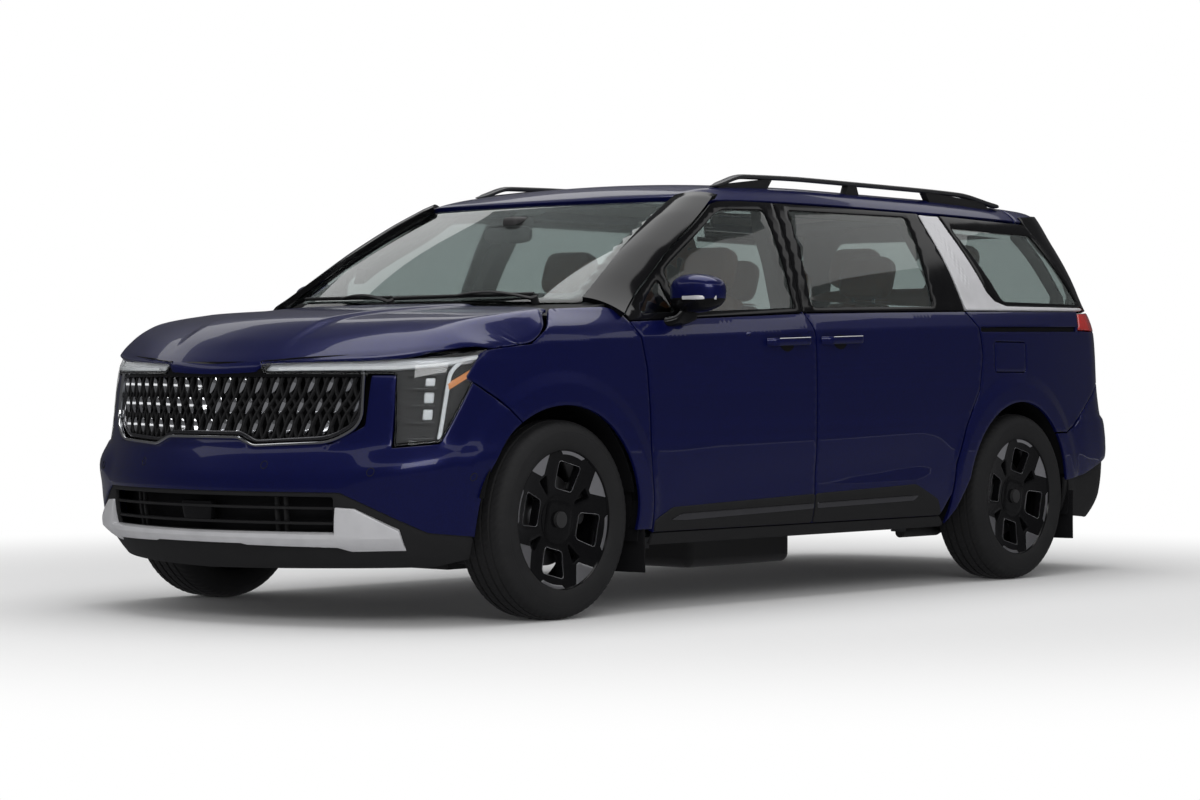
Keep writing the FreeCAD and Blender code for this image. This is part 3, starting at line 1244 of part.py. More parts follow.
def cowl():
    front, back = [], []
    for x in spread(-across(0.80), across(0.80), 13):
        back.append((x, screen_base_y(x) - size.glass_inset))
        bow = across(0.030) * (x / across(0.8)) ** 2
        front.append((x, along(-0.457) + size.hood_edge_gap + bow))
    front.reverse()
    beam = plan_prism(front + back, up(0.615), up(0.655))
    shelf = box_between(Vector(-across(0.80), along(-0.440), up(0.595)),
                        Vector(across(0.80), along(-0.362), up(0.620)))
    shape = beam.fuse(shelf)
    for side, sign in SIDES:
        x = sign * hood_arm_x
        half = size.lid_arm_width / 2 + size.strap_gap
        slot = box_between(Vector(x - half, along(-0.50), up(0.60)),
                           Vector(x + half, along(-0.395), up(0.70)))
        shape = shape.cut(slot)
        for shift in (-1, 1):
            near = x + shift * half
            far = near + shift * size.floor_thickness
            ear = box_between(Vector(min(near, far), hood_axis_y - size.lid_eye_radius, up(0.60)),
                              Vector(max(near, far), hood_axis_y + size.lid_eye_radius,
                                     hood_axis_z + size.lid_eye_radius))
            shape = shape.fuse(ear)
        pin_start = Vector(x - half - size.floor_thickness / 2, hood_axis_y, hood_axis_z)
        shape = shape.fuse(Part.makeCylinder(size.lid_pin_radius, 2 * half + size.floor_thickness,
                                             pin_start, Vector(1, 0, 0)))
    return shape


feature("cowl", cowl())


def lid_arm(x, axis, reach):
    """A flat arm with an eye for the pin, from a lid's underside to its hinge axis."""
    half = size.lid_arm_width / 2
    eye = Part.makeCylinder(size.lid_eye_radius - size.fit_gap, 2 * half,
                            Vector(x - half, axis.y, axis.z), Vector(1, 0, 0))
    along_arm = reach - axis
    across_arm = Vector(0, -along_arm.z, along_arm.y)
    across_arm.normalize()
    width = across_arm * (size.lid_eye_radius * 0.8)
    corners = [axis + width, reach + width, reach - width, axis - width]
    face = Part.Face(Part.makePolygon([Vector(x - half, c.y, c.z) for c in corners + corners[:1]]))
    arm = eye.fuse(face.extrude(Vector(2 * half, 0, 0)))
    hole = Part.makeCylinder(size.lid_pin_radius + size.fit_gap, 4 * half,
                             Vector(x - 2 * half, axis.y, axis.z), Vector(1, 0, 0))
    return arm.cut(hole)


hood_axis = Vector(0, hood_axis_y, hood_axis_z)
hood_reach = Vector(0, along(-0.50), hood_z(hood_arm_x, along(-0.50)) - size.hood_thickness * 0.6)
hood_piece = next(piece for piece in pieces if piece.Label == "hood")
hood_piece.Shape = hood_piece.Shape.fuse(
    [lid_arm(sign * hood_arm_x, hood_axis, hood_reach) for side, sign in SIDES])

# The tailgate's hinges lie within the roof's thickness
gate_axis = Vector(0, along(0.849) - size.tail_hinge_lead, roof_z(0, along(0.849)) - size.roof_thickness / 2)
gate_arm_x = across(0.45)
gate_reach = Vector(0, along(0.90), roof_z(gate_arm_x, along(0.90)) - size.roof_thickness / 2)
gate_piece = next(piece for piece in pieces if piece.Label == "tailgate")
gate_shape = gate_piece.Shape.fuse(
    [lid_arm(sign * gate_arm_x, gate_axis, gate_reach) for side, sign in SIDES])
plate_hole_height = up(0.50)
for side, sign in SIDES:
    hole_x = size.plate_hole_spacing / 2
    hole_y = end_point(tail, tail.angle_at_width(hole_x), plate_hole_height, size.plate_hole_depth)[1]
    gate_shape = gate_shape.cut(Part.makeCylinder(
        size.plate_hole_radius, size.plate_hole_depth + size.overrun,
        Vector(sign * hole_x, hole_y, plate_hole_height), Vector(0, 1, 0)))
gate_piece.Shape = gate_shape
roof_piece = next(piece for piece in pieces if piece.Label == "roof_panel")
roof_shape = roof_piece.Shape
for side, sign in SIDES:
    x = sign * gate_arm_x
    half = size.lid_arm_width / 2 + size.strap_gap
    slot = box_between(Vector(x - half, gate_axis.y - size.lid_eye_radius - size.strap_gap, up(0.9)),
                       Vector(x + half, along(0.87), up(1)))
    roof_shape = roof_shape.cut(slot)
    start = Vector(x - half - size.floor_thickness / 2, gate_axis.y, gate_axis.z)
    roof_shape = roof_shape.fuse(Part.makeCylinder(size.lid_pin_radius, 2 * half + size.floor_thickness,
                                                   start, Vector(1, 0, 0)))
roof_piece.Shape = roof_shape

# Front door hinges: a strap from the pillar round a pin in each door
door_axis_low = Vector(size.door_half_width - size.hinge_inset, along(-0.339) + size.hinge_lead, up(0.190))
door_axis_high = door_axis_low + Vector(0, -size.hinge_lean, up(0.44))
HINGE_HEIGHT_SHARES = (0.29, 0.50)
door_axis_line = door_axis_high - door_axis_low
door_axis_line.normalize()


def axis_at(z):
    f = (z - door_axis_low.z) / (door_axis_high.z - door_axis_low.z)
    return door_axis_low + (door_axis_high - door_axis_low) * f


floor_piece = next(piece for piece in pieces if piece.Label == "floor_pan")
floor_shape = floor_piece.Shape
pillar_face = half_width - size.pillar_inset
for side, sign in SIDES:
    door_piece = next(piece for piece in pieces if piece.Label == "front_door_" + side)
    door_shape = door_piece.Shape
    for height_share in HINGE_HEIGHT_SHARES:
        centre = axis_at(up(height_share))
        half_strap = size.strap_height / 2
        half_pocket = half_strap + size.strap_gap * 1.4
        pocket = box_between(
            Vector(pillar_face - size.overrun, centre.y - 4 * size.hinge_lead, centre.z - half_pocket),
            Vector(centre.x + size.lid_eye_radius, centre.y + size.strap_width, centre.z + half_pocket))
        strap = box_between(
            Vector(pillar_face - size.overrun, centre.y - size.strap_width / 2, centre.z - half_strap),
            Vector(centre.x, centre.y + size.strap_width / 2, centre.z + half_strap))
        eye = Part.makeCylinder(size.strap_width / 2, size.strap_height,
                                centre - Vector(0, 0, half_strap), Vector(0, 0, 1))
        bore = Part.makeCylinder(size.hinge_pin_radius + size.fit_gap, 2 * size.strap_height,
                                 centre - door_axis_line * size.strap_height, door_axis_line)
        pin = Part.makeCylinder(size.hinge_pin_radius, size.strap_height + 3 * size.lid_eye_radius,
                                centre - door_axis_line * (half_strap + 1.5 * size.lid_eye_radius),
                                door_axis_line)
        strap = strap.fuse(eye).cut(bore)
        if sign < 0:
            pocket, strap, pin = mirror_x(pocket), mirror_x(strap), mirror_x(pin)
        door_shape = door_shape.cut(pocket).fuse(pin)
        floor_shape = floor_shape.fuse(strap)
    door_piece.Shape = door_shape
floor_piece.Shape = floor_shape

# Dashboard with the steering column, and the console between the front seats
DASHBOARD_SHARES = (
    (-0.359, 0.40), (-0.359, 0.635), (-0.330, 0.650), (-0.262, 0.640), (-0.245, 0.600),
    (-0.262, 0.520), (-0.300, 0.420))
steering_centre = Vector(size.seat_spacing * 0.95, along(-0.205), up(0.585))
steering_tilt = math.radians(size.steering_tilt)
steering_line = Vector(0, -math.cos(steering_tilt), -math.sin(steering_tilt))
dash_points = [Vector(-across(0.75), along(s), up(t)) for s, t in DASHBOARD_SHARES]
dash = Part.Face(Part.makePolygon(dash_points + dash_points[:1])).extrude(Vector(across(1.50), 0, 0))
column = Part.makeCylinder(size.steering_column_radius, size.steering_column_length,
                           steering_centre + steering_line * (size.steering_hub_depth / 2 + size.fit_gap),
                           steering_line)
console = box_between(Vector(-across(0.115), along(-0.31), size.floor_height + size.floor_thickness),
                      Vector(across(0.115), along(-0.06), up(0.42)))
feature("dashboard", fuse([dash, column, console]))

# Steering wheel: a rim, a hub and three spokes, turned about the column
wheel_rim = primitive("Torus", "steering_rim",
                      {"Radius1": "steering_wheel_radius", "Radius2": "steering_rim_radius"})
wheel_hub = primitive("Cylinder", "steering_hub",
                      {"Radius": "steering_hub_radius", "Height": "steering_hub_depth"},
                      ("0", "0", "-steering_hub_depth/2"))
cross_spoke = primitive("Box", "cross_spoke",
                        {"Length": "steering_wheel_radius*2", "Width": "steering_rim_radius*2",
                         "Height": "steering_rim_radius"},
                        ("-steering_wheel_radius", "-steering_rim_radius", "-steering_rim_radius/2"))
low_spoke = primitive("Box", "low_spoke",
                      {"Length": "steering_rim_radius*2", "Width": "steering_wheel_radius",
                       "Height": "steering_rim_radius"},
                      ("-steering_rim_radius", "0", "-steering_rim_radius/2"))
steering = joined("steering_wheel", [wheel_rim, wheel_hub, cross_spoke, low_spoke])
steering.Placement = FreeCAD.Placement(steering_centre,
                                       FreeCAD.Rotation(Vector(1, 0, 0), size.steering_tilt - 90))
pieces.append(steering)


# Seats: base, cushion, leaning back and headrest, plain closed solids
def rounded_along_x(label, base):
    doc.recompute()
    fillet = doc.addObject("Part::Fillet", label)
    fillet.Base = base
    chosen = [(k + 1, size.seat_round, size.seat_round) for k, edge in enumerate(base.Shape.Edges)
              if abs(edge.Vertexes[0].X - edge.Vertexes[-1].X) > size.seat_round]
    fillet.Edges = chosen
    return fillet


def seat(label, width, x_text, y_text, z_text, base_text="seat_base_height", back_text="back_height"):
    """One seat whose cushion's front lower corner lies at the given place."""
    left = "(%s)-%s/2" % (x_text, width)
    base = primitive("Box", label + "_base", {"Length": width + "*0.8", "Width": "seat_depth*0.7",
                     "Height": base_text + "-seat_gap"},
                     ("(%s)-%s*0.4" % (x_text, width), "(%s)+seat_depth*0.15" % y_text,
                      "(%s)-%s+seat_gap" % (z_text, base_text)))
    cushion = primitive("Box", label + "_cushion", {"Length": width, "Width": "seat_depth",
                        "Height": "cushion_thickness"}, (left, y_text, z_text))
    back = primitive("Box", label + "_back", {"Length": width, "Width": "back_thickness",
                     "Height": back_text},
                     (left, "(%s)+seat_depth-back_thickness*0.6" % y_text,
                      "(%s)+cushion_thickness*0.8" % z_text),
                     (1, 0, 0), -size.back_tilt)
    lean = math.radians(size.back_tilt)
    back_height = float(sheet.get(back_text))
    head_rise = size.cushion_thickness * 0.8 + (back_height + size.seat_round) * math.cos(lean)
    back_end = back_height + size.seat_round
    head_back = size.seat_depth - size.back_thickness * 0.6 + back_end * math.sin(lean)
    members = [base, rounded_along_x(label + "_cushion_soft", cushion),
               rounded_along_x(label + "_back_soft", back)]
    heads = ("seat_spacing*0.7", "-seat_spacing*0.7") if width == "bench_width" else ("0*seat_width",)
    for number, shift in enumerate(heads):
        head = primitive("Box", "%s_head_%d" % (label, number), {"Length": "headrest_width",
                         "Width": "headrest_thickness", "Height": "headrest_height"},
                         ("(%s)+(%s)-headrest_width/2" % (x_text, shift), "(%s)" % y_text,
                          "(%s)" % z_text), (1, 0, 0), -size.back_tilt)
        head.setExpression(".Placement.Base.y", formula(y_text) + "+%.4f" % head_back)
        head.setExpression(".Placement.Base.z", formula(z_text) + "+%.4f" % head_rise)
        stem = primitive("Box", "%s_stem_%d" % (label, number), {"Length": "headrest_width*0.5",
                         "Width": "headrest_thickness*0.2", "Height": "headrest_height"},
                         ("(%s)+(%s)-headrest_width/4" % (x_text, shift), "(%s)" % y_text,
                          "(%s)" % z_text), (1, 0, 0), -size.back_tilt)
        stem_back = head_back - size.back_thickness * 0.2 + size.headrest_thickness * 0.4
        stem_rise = head_rise - size.headrest_height * 0.7
        stem.setExpression(".Placement.Base.y", formula(y_text) + "+%.4f" % stem_back)
        stem.setExpression(".Placement.Base.z", formula(z_text) + "+%.4f" % stem_rise)
        members += [rounded_along_x("%s_head_soft_%d" % (label, number), head), stem]
    return joined(label, members)


FRONT_SEAT = "-overall_length/2+front_overhang+wheelbase*0.290"
SECOND_SEAT = "-overall_length/2+front_overhang+wheelbase*0.665"
THIRD_SEAT = "-overall_length/2+front_overhang+wheelbase*0.955"
LOW_CUSHION = "floor_height+floor_thickness+seat_base_height"
HIGH_CUSHION = "overall_height*0.35+floor_thickness+seat_base_height*0.4"
driver = seat("driver_seat", "seat_width", "seat_spacing*0.95", FRONT_SEAT, LOW_CUSHION)
passenger = seat("passenger_seat", "seat_width", "-seat_spacing*0.95", FRONT_SEAT, LOW_CUSHION)
grouped("front_seats", [driver, passenger])
second_left = seat("second_left", "seat_width", "seat_spacing*0.95", SECOND_SEAT, LOW_CUSHION)
second_right = seat("second_right", "seat_width", "-seat_spacing*0.95", SECOND_SEAT, LOW_CUSHION)
grouped("second_seats", [second_left, second_right])
bench = seat("third_seat", "bench_width", "0*seat_width", THIRD_SEAT, HIGH_CUSHION,
             "seat_base_height*0.4", "bench_back_height")
pieces.append(bench)


# Roof rails: a bar that rises from its feet and runs clear of the roof
def roof_rail(sign):
    x = size.rail_half_span
    start, end = along(-0.090), along(0.760)
    bar_start, bar_end = along(0.015), along(0.440)
    top, low = [], []
    for y in spread(start, end, 25):
        foot = min(1, (y - start) / across(0.15), (end - y) / across(0.30))
        roof_line = roof_z(x, y)
        lift = math.sin(max(0, foot) * math.pi / 2)
        crest = roof_line + (size.overall_height - roof_z(x, along(0.2))) * lift
        top.append(Vector(0, y, min(crest, size.overall_height)))
    base = [Vector(0, y, roof_z(x, y) - size.roof_thickness / 2) for y in spread(start, end, 25)]
    base.reverse()
    outline = top + base
    bar_face = Part.Face(Part.makePolygon(outline + outline[:1]))
    solid = bar_face.extrude(Vector(size.rail_bar_width, 0, 0))
    slot_top = size.overall_height - size.rail_bar_height
    middle = (bar_start + bar_end) / 2
    foot = size.rail_foot_height
    for low_y, high_y in ((bar_start, middle - foot), (middle + foot, bar_end)):
        slot = box_between(Vector(-size.overrun, low_y, up(0.90)),
                           Vector(size.rail_bar_width + size.overrun, high_y, slot_top))
        solid = solid.cut(slot)
    solid.translate(Vector(sign * x - size.rail_bar_width / 2, 0, 0))
    above_roof = roof.copy()
    above_roof.translate(Vector(0, 0, size.seat_gap))
    return max(solid.cut(above_roof).Solids, key=lambda s: s.Volume)


feature("roof_rails", both(roof_rail))


# Door mirrors on stalks
def door_mirror(sign):
    centre = Vector(across(1.034), along(-0.269), up(0.694))
    head = Part.makeBox(size.mirror_width, size.mirror_depth, size.mirror_height,
                        centre - Vector(size.mirror_width, size.mirror_depth, size.mirror_height) * 0.5)
    edges = [edge for edge in head.Edges
             if abs(edge.Vertexes[0].Y - edge.Vertexes[-1].Y) > size.mirror_round]
    head = head.makeFillet(size.mirror_round, edges)
    foot_y = along(-0.290)
    foot = Vector(side_x(foot_y, up(0.632)) - size.panel_depth / 2, foot_y, up(0.632))
    top = centre - Vector(size.mirror_width * 0.3, 0, size.mirror_height * 0.45)
    stalk_size = size.mirror_depth * 0.16
    stalk = bar(foot, top, stalk_size)
    stalk = stalk.cut(side_slab(-0.36, -0.22, 0.55, 0.76, -size.seat_gap, size.panel_depth * 2, 1, 6, 8))
    shape = head.fuse(stalk)
    solid = max(shape.Solids, key=lambda s: s.Volume)
    return solid if sign > 0 else mirror_x(solid)


for side, sign in SIDES:
    feature("mirror_" + side, door_mirror(sign))


# Sills, pillar garnishes and mud flaps
SILL_SHARES = ((-0.328, 0.140), (0.308, 0.140), (0.308, 0.1675), (-0.328, 0.1675))
GARNISH_SHARES = (
    (0.359, 0.921), (0.416, 0.915), (0.463, 0.722), (0.484, 0.704), (1.110, 0.706), (1.095, 0.697),
    (0.378, 0.688))


def sill(sign):
    skin = side_slab(-0.35, 0.34, 0.13, 0.18, 0, size.panel_depth + size.ring_depth, sign, 8, 5)
    return skin.common(side_prism(SILL_SHARES, sign))


def garnish(sign):
    skin = side_slab(0.28, 1.15, 0.13, 0.945, -size.skin_thickness - size.seat_gap,
                     size.skin_thickness, sign, 14, 16)
    strip = skin.common(side_prism(GARNISH_SHARES, sign))
    return strip.cut(side_prism(SLIDING_DOOR_SHARES, sign, size.door_gap))


feature("sills", both(sill))
feature("pillar_garnishes", both(garnish))


def mud_flap(sign, axle):
    y = axle + size.arch_radius - 2
    x = sign * (wheel_centre + size.skin_thickness)
    return box_between(Vector(x - size.mudflap_width / 2, y, size.floor_height - size.mudflap_height * 0.55),
                       Vector(x + size.mudflap_width / 2, y + size.mudflap_thickness,
                              size.floor_height + size.mudflap_height * 0.45))


feature("mud_flaps", Part.makeCompound([mud_flap(sign, axle) for axle in (front_axle, rear_axle)
                                        for side, sign in SIDES]))


# The fuel flap: a pocket in the left quarter with the filler in it, and a flap on an upright pin
FLAP_SHARES = (
    (0.437, 0.525), (0.539, 0.525), (0.545, 0.536), (0.545, 0.592), (0.539, 0.603), (0.437, 0.603),
    (0.431, 0.592), (0.431, 0.536))
flap_middle = up(0.564)
flap_axis_y = along(0.431) + size.flap_hinge_lead
flap_axis_x = side_x(flap_axis_y, flap_middle) - size.flap_pin_inset
quarter_piece = next(piece for piece in pieces if piece.Label == "quarter_left")
pocket = side_slab(0.40, 0.58, 0.50, 0.63, -size.overrun, size.overrun + size.flap_cup_depth, 1, 6, 6)
pocket = pocket.common(side_prism(FLAP_SHARES, 1, size.flap_gap))
pin_reach = up(0.039) + size.flap_gap + 2 * size.flap_barrel_radius
flap_pin = Part.makeCylinder(size.flap_pin_radius, 2 * pin_reach,
                             Vector(flap_axis_x, flap_axis_y, flap_middle - pin_reach))
filler_x = side_x(along(0.5), flap_middle) - size.flap_cup_depth
filler = Part.makeCylinder(size.filler_radius, size.filler_height + size.flap_thickness,
                           Vector(filler_x - size.flap_thickness, along(0.5), flap_middle), Vector(1, 0, 0))
quarter_piece.Shape = quarter_piece.Shape.cut(pocket).fuse([flap_pin, filler])
flap_skin = side_slab(0.40, 0.58, 0.50, 0.63, 0, size.flap_thickness, 1, 6, 6)
flap_skin = flap_skin.common(side_prism(FLAP_SHARES, 1))
barrel_half = up(0.026)
barrel = Part.makeCylinder(size.flap_barrel_radius, 2 * barrel_half,
                           Vector(flap_axis_x, flap_axis_y, flap_middle - barrel_half))
bore = Part.makeCylinder(size.flap_pin_radius + size.fit_gap, 2 * pin_reach,
                         Vector(flap_axis_x, flap_axis_y, flap_middle - pin_reach))
feature("fuel_flap", flap_skin.fuse(barrel).cut(bore))


# Neighbours share their edges: each piece below gives room to the ones named after it, and the
# pieces that move get the shut gap as well
def piece_named(label):
    return next(piece for piece in pieces if piece.Label == label)


def give_room(label, others, moves=((0, 0, 0),)):
    piece = piece_named(label)
    count = len(piece.Shape.Solids)
    shape = piece.Shape
    for other in others:
        for move in moves:
            room = piece_named(other).Shape.copy()
            room.translate(Vector(*move))
            shape = shape.cut(room)
    kept = sorted(shape.Solids, key=lambda s: -s.Volume)[:count]
    piece.Shape = kept[0] if count == 1 else Part.makeCompound(kept)


fenders = ["fender_left", "fender_right"]
quarters = ["quarter_left", "quarter_right"]
give_room("hood", fenders, ((0, 0, 0), (0, 0, size.hood_edge_gap)))
give_room("windscreen_pillars", fenders + ["roof_panel", "windscreen"])
for side, sign in SIDES:
    give_room("quarter_" + side, ["roof_panel", "tail_lamps"])
    give_room("side_frame_" + side, ["front_door_" + side, "sliding_door_" + side],
              ((0, 0, 0), (-sign * size.door_gap, 0, 0)))
give_room("pillar_garnishes", quarters + ["tail_lamps"])
give_room("grille", ["headlamps"])
give_room("wheel_housings", ["headlamps", "rear_axle"])
give_room("mud_flaps", fenders + quarters + ["rear_bumper", "wheel_housings"])

# Check and write
doc.recompute()
for item in doc.Objects:
    if "Invalid" in item.State or "Error" in item.State:
        raise RuntimeError("failed: " + item.Label)
os.makedirs("parts", exist_ok=True)
for piece in pieces:
    shape = piece.Shape
    if shape.isNull() or not shape.isValid():
        raise RuntimeError("bad shape: " + piece.Label)
    shape.exportStep("parts/%s.step" % piece.Label)
    print(piece.Label, len(shape.Solids), round(shape.Volume / 1e6, 2))
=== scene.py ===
# %% [markdown]
# # Dressing a minivan
# The construction tool has already made this minivan as separate, jointed pieces. This lesson
# gives it its looks: painted skins with real shut lines, tinted glass, machined wheels, a lattice
# grille, lamps and leather seats. The first cell loads the imported pieces.

# %% Load the frame
import math
import bpy
import numpy as np
from mathutils import Matrix, Vector
from mathutils.geometry import delaunay_2d_cdt


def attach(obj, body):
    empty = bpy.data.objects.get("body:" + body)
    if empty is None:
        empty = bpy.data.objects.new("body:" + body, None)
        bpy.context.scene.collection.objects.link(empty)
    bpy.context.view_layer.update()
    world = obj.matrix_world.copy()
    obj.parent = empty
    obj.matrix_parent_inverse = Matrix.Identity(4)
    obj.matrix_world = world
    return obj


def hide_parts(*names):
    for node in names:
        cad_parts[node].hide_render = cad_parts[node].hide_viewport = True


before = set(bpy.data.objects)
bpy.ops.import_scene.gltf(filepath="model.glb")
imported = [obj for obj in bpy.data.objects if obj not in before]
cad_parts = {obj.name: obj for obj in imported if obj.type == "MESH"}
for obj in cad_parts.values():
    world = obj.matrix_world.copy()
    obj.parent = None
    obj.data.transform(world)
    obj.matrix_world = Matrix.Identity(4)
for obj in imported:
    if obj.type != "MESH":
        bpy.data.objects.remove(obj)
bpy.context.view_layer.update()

# %% [markdown]
# ## The shape in numbers
# A car body is a few large, calm surfaces that many panels share. If each panel had a surface of
# its own, the highlights would break at every gap. So the side, the nose, the tail, the hood and
# the roof are each one formula, and a panel is only an outline laid on it. The tables are shares
# of the height, the half width or the wheelbase.

# %% Sizes and tables
LENGTH, WIDTH, HEIGHT, WHEELBASE = 5.156, 1.995, 1.740, 3.090
FRONT_OVERHANG, DOOR_HALF = 0.935, 0.985
HALF = WIDTH / 2
FRONT_END, REAR_END = -LENGTH / 2, LENGTH / 2
FRONT_AXLE = FRONT_END + FRONT_OVERHANG
REAR_AXLE = FRONT_AXLE + WHEELBASE
REAR_OVERHANG = REAR_END - REAR_AXLE
AXLE_HEIGHT, WHEEL_X = 0.366, 0.873

NOSE_LEAN = (
    (0.100, 0.100), (0.144, 0.050), (0.172, 0.024), (0.230, 0.004), (0.287, 0.000), (0.345, 0.026),
    (0.374, 0.045), (0.514, 0.080), (0.543, 0.095), (0.560, 0.124))
TAIL_LEAN = (
    (0.120, 0.100), (0.160, 0.040), (0.210, 0.006), (0.287, 0.000), (0.345, 0.006), (0.385, 0.020),
    (0.430, 0.045), (0.497, 0.069), (0.575, 0.078), (0.632, 0.088), (0.687, 0.112), (0.710, 0.125),
    (0.805, 0.165), (0.875, 0.197), (0.931, 0.222), (0.960, 0.245))
SIDE_PROFILE = (
    (0.098, 0.100), (0.144, 0.052), (0.195, 0.021), (0.259, 0.006), (0.345, 0.001), (0.460, 0.000),
    (0.546, 0.002), (0.598, 0.006), (0.618, 0.012), (0.644, 0.025), (0.670, 0.046), (0.747, 0.096),
    (0.833, 0.160), (0.914, 0.236), (0.950, 0.275))
WINDOW_TAPER = (
    (-0.800, 0.150), (-0.666, 0.135), (-0.479, 0.082), (-0.401, 0.046), (-0.291, 0.024),
    (-0.129, 0.006), (0.000, 0.000), (0.324, 0.004), (0.549, 0.010), (0.902, 0.004),
    (1.107, 0.000), (1.300, 0.000))
ROOF_CROWN = (
    (-0.184, 0.921), (-0.129, 0.950), (-0.085, 0.966), (0.000, 0.977), (0.129, 0.983),
    (0.388, 0.983), (0.702, 0.979), (0.991, 0.973), (1.300, 0.963))
ROOF_EDGE = (
    (-0.184, 0.898), (-0.129, 0.916), (-0.085, 0.921), (0.000, 0.925), (0.162, 0.928),
    (0.485, 0.927), (0.902, 0.925), (1.123, 0.922), (1.300, 0.918))
HOOD_RISE = (
    (0.000, 0.000), (0.010, 0.022), (0.040, 0.070), (0.100, 0.118), (0.200, 0.146), (0.320, 0.164),
    (0.420, 0.174))
HOOD_LIP = ((0.000, 0.543), (0.250, 0.543), (0.700, 0.550), (0.900, 0.563), (1.000, 0.573))
FOLD_WIDTH = ((-2.50, 0.560), (-2.30, 0.680), (-2.15, 0.770), (-2.034, 0.820), (-1.899, 0.850),
              (-1.745, 0.872), (-1.628, 0.885), (-1.40, 0.890))
FOLD_HEIGHT = ((-2.50, 0.960), (-2.30, 1.022), (-2.15, 1.066), (-2.034, 1.090), (-1.899, 1.110),
               (-1.745, 1.129), (-1.628, 1.142), (-1.40, 1.160))
HOOD_SIDE = ((-2.40, 0.972), (-2.15, 0.984), (-2.019, 0.990), (-1.90, 1.000), (-1.800, 1.014),
             (-1.715, 1.070), (-1.628, 1.138), (-1.40, 1.150))


# %% Curves through the tables
def curve(table, at):
    """A smooth line through a table's points that never overshoots them, for a whole array."""
    a, b = np.array(table, float).T
    slope = np.diff(b) / np.diff(a)
    before, after = slope[:-1], slope[1:]
    total = np.where(before + after == 0, 1, before + after)
    middle = np.where(before * after <= 0, 0, 2 * before * after / total)
    tangent = np.concatenate([slope[:1], middle, slope[-1:]])
    at = np.clip(np.asarray(at, float), a[0], a[-1])
    i = np.clip(np.searchsorted(a, at) - 1, 0, len(a) - 2)
    run = a[i + 1] - a[i]
    f = (at - a[i]) / run
    lift = f * (1 - f) * ((1 - f) * tangent[i] - f * tangent[i + 1]) * run
    return b[i] + (b[i + 1] - b[i]) * f * f * (3 - 2 * f) + lift


def ramp(start, end, at):
    """0 before start, 1 after end, and smooth between."""
    f = np.clip((np.asarray(at, float) - start) / (end - start), 0, 1)
    return f * f * (3 - 2 * f)


def along(station):
    """The Y of a station: -0.5 is the front axle, 0.5 the rear axle, 1.5 the rear end."""
    s = np.asarray(station, float)
    return np.where(s < -0.5, FRONT_AXLE + (s + 0.5) * FRONT_OVERHANG,
                    np.where(s > 0.5, REAR_AXLE + (s - 0.5) * REAR_OVERHANG,
                             FRONT_AXLE + (s + 0.5) * WHEELBASE))


def station_of(y):
    y = np.asarray(y, float)
    return np.where(y < FRONT_AXLE, -0.5 - (FRONT_AXLE - y) / FRONT_OVERHANG,
                    np.where(y > REAR_AXLE, 0.5 + (y - REAR_AXLE) / REAR_OVERHANG,
                             (y - FRONT_AXLE) / WHEELBASE - 0.5))


# %% [markdown]
# Seen from above, each end of the body is three arcs: a wide one across the end, a tight one round
# the corner and a wide one along the flank. An angle tells where on these arcs a point lies, and
# a lean table sets the whole curve back at each height.

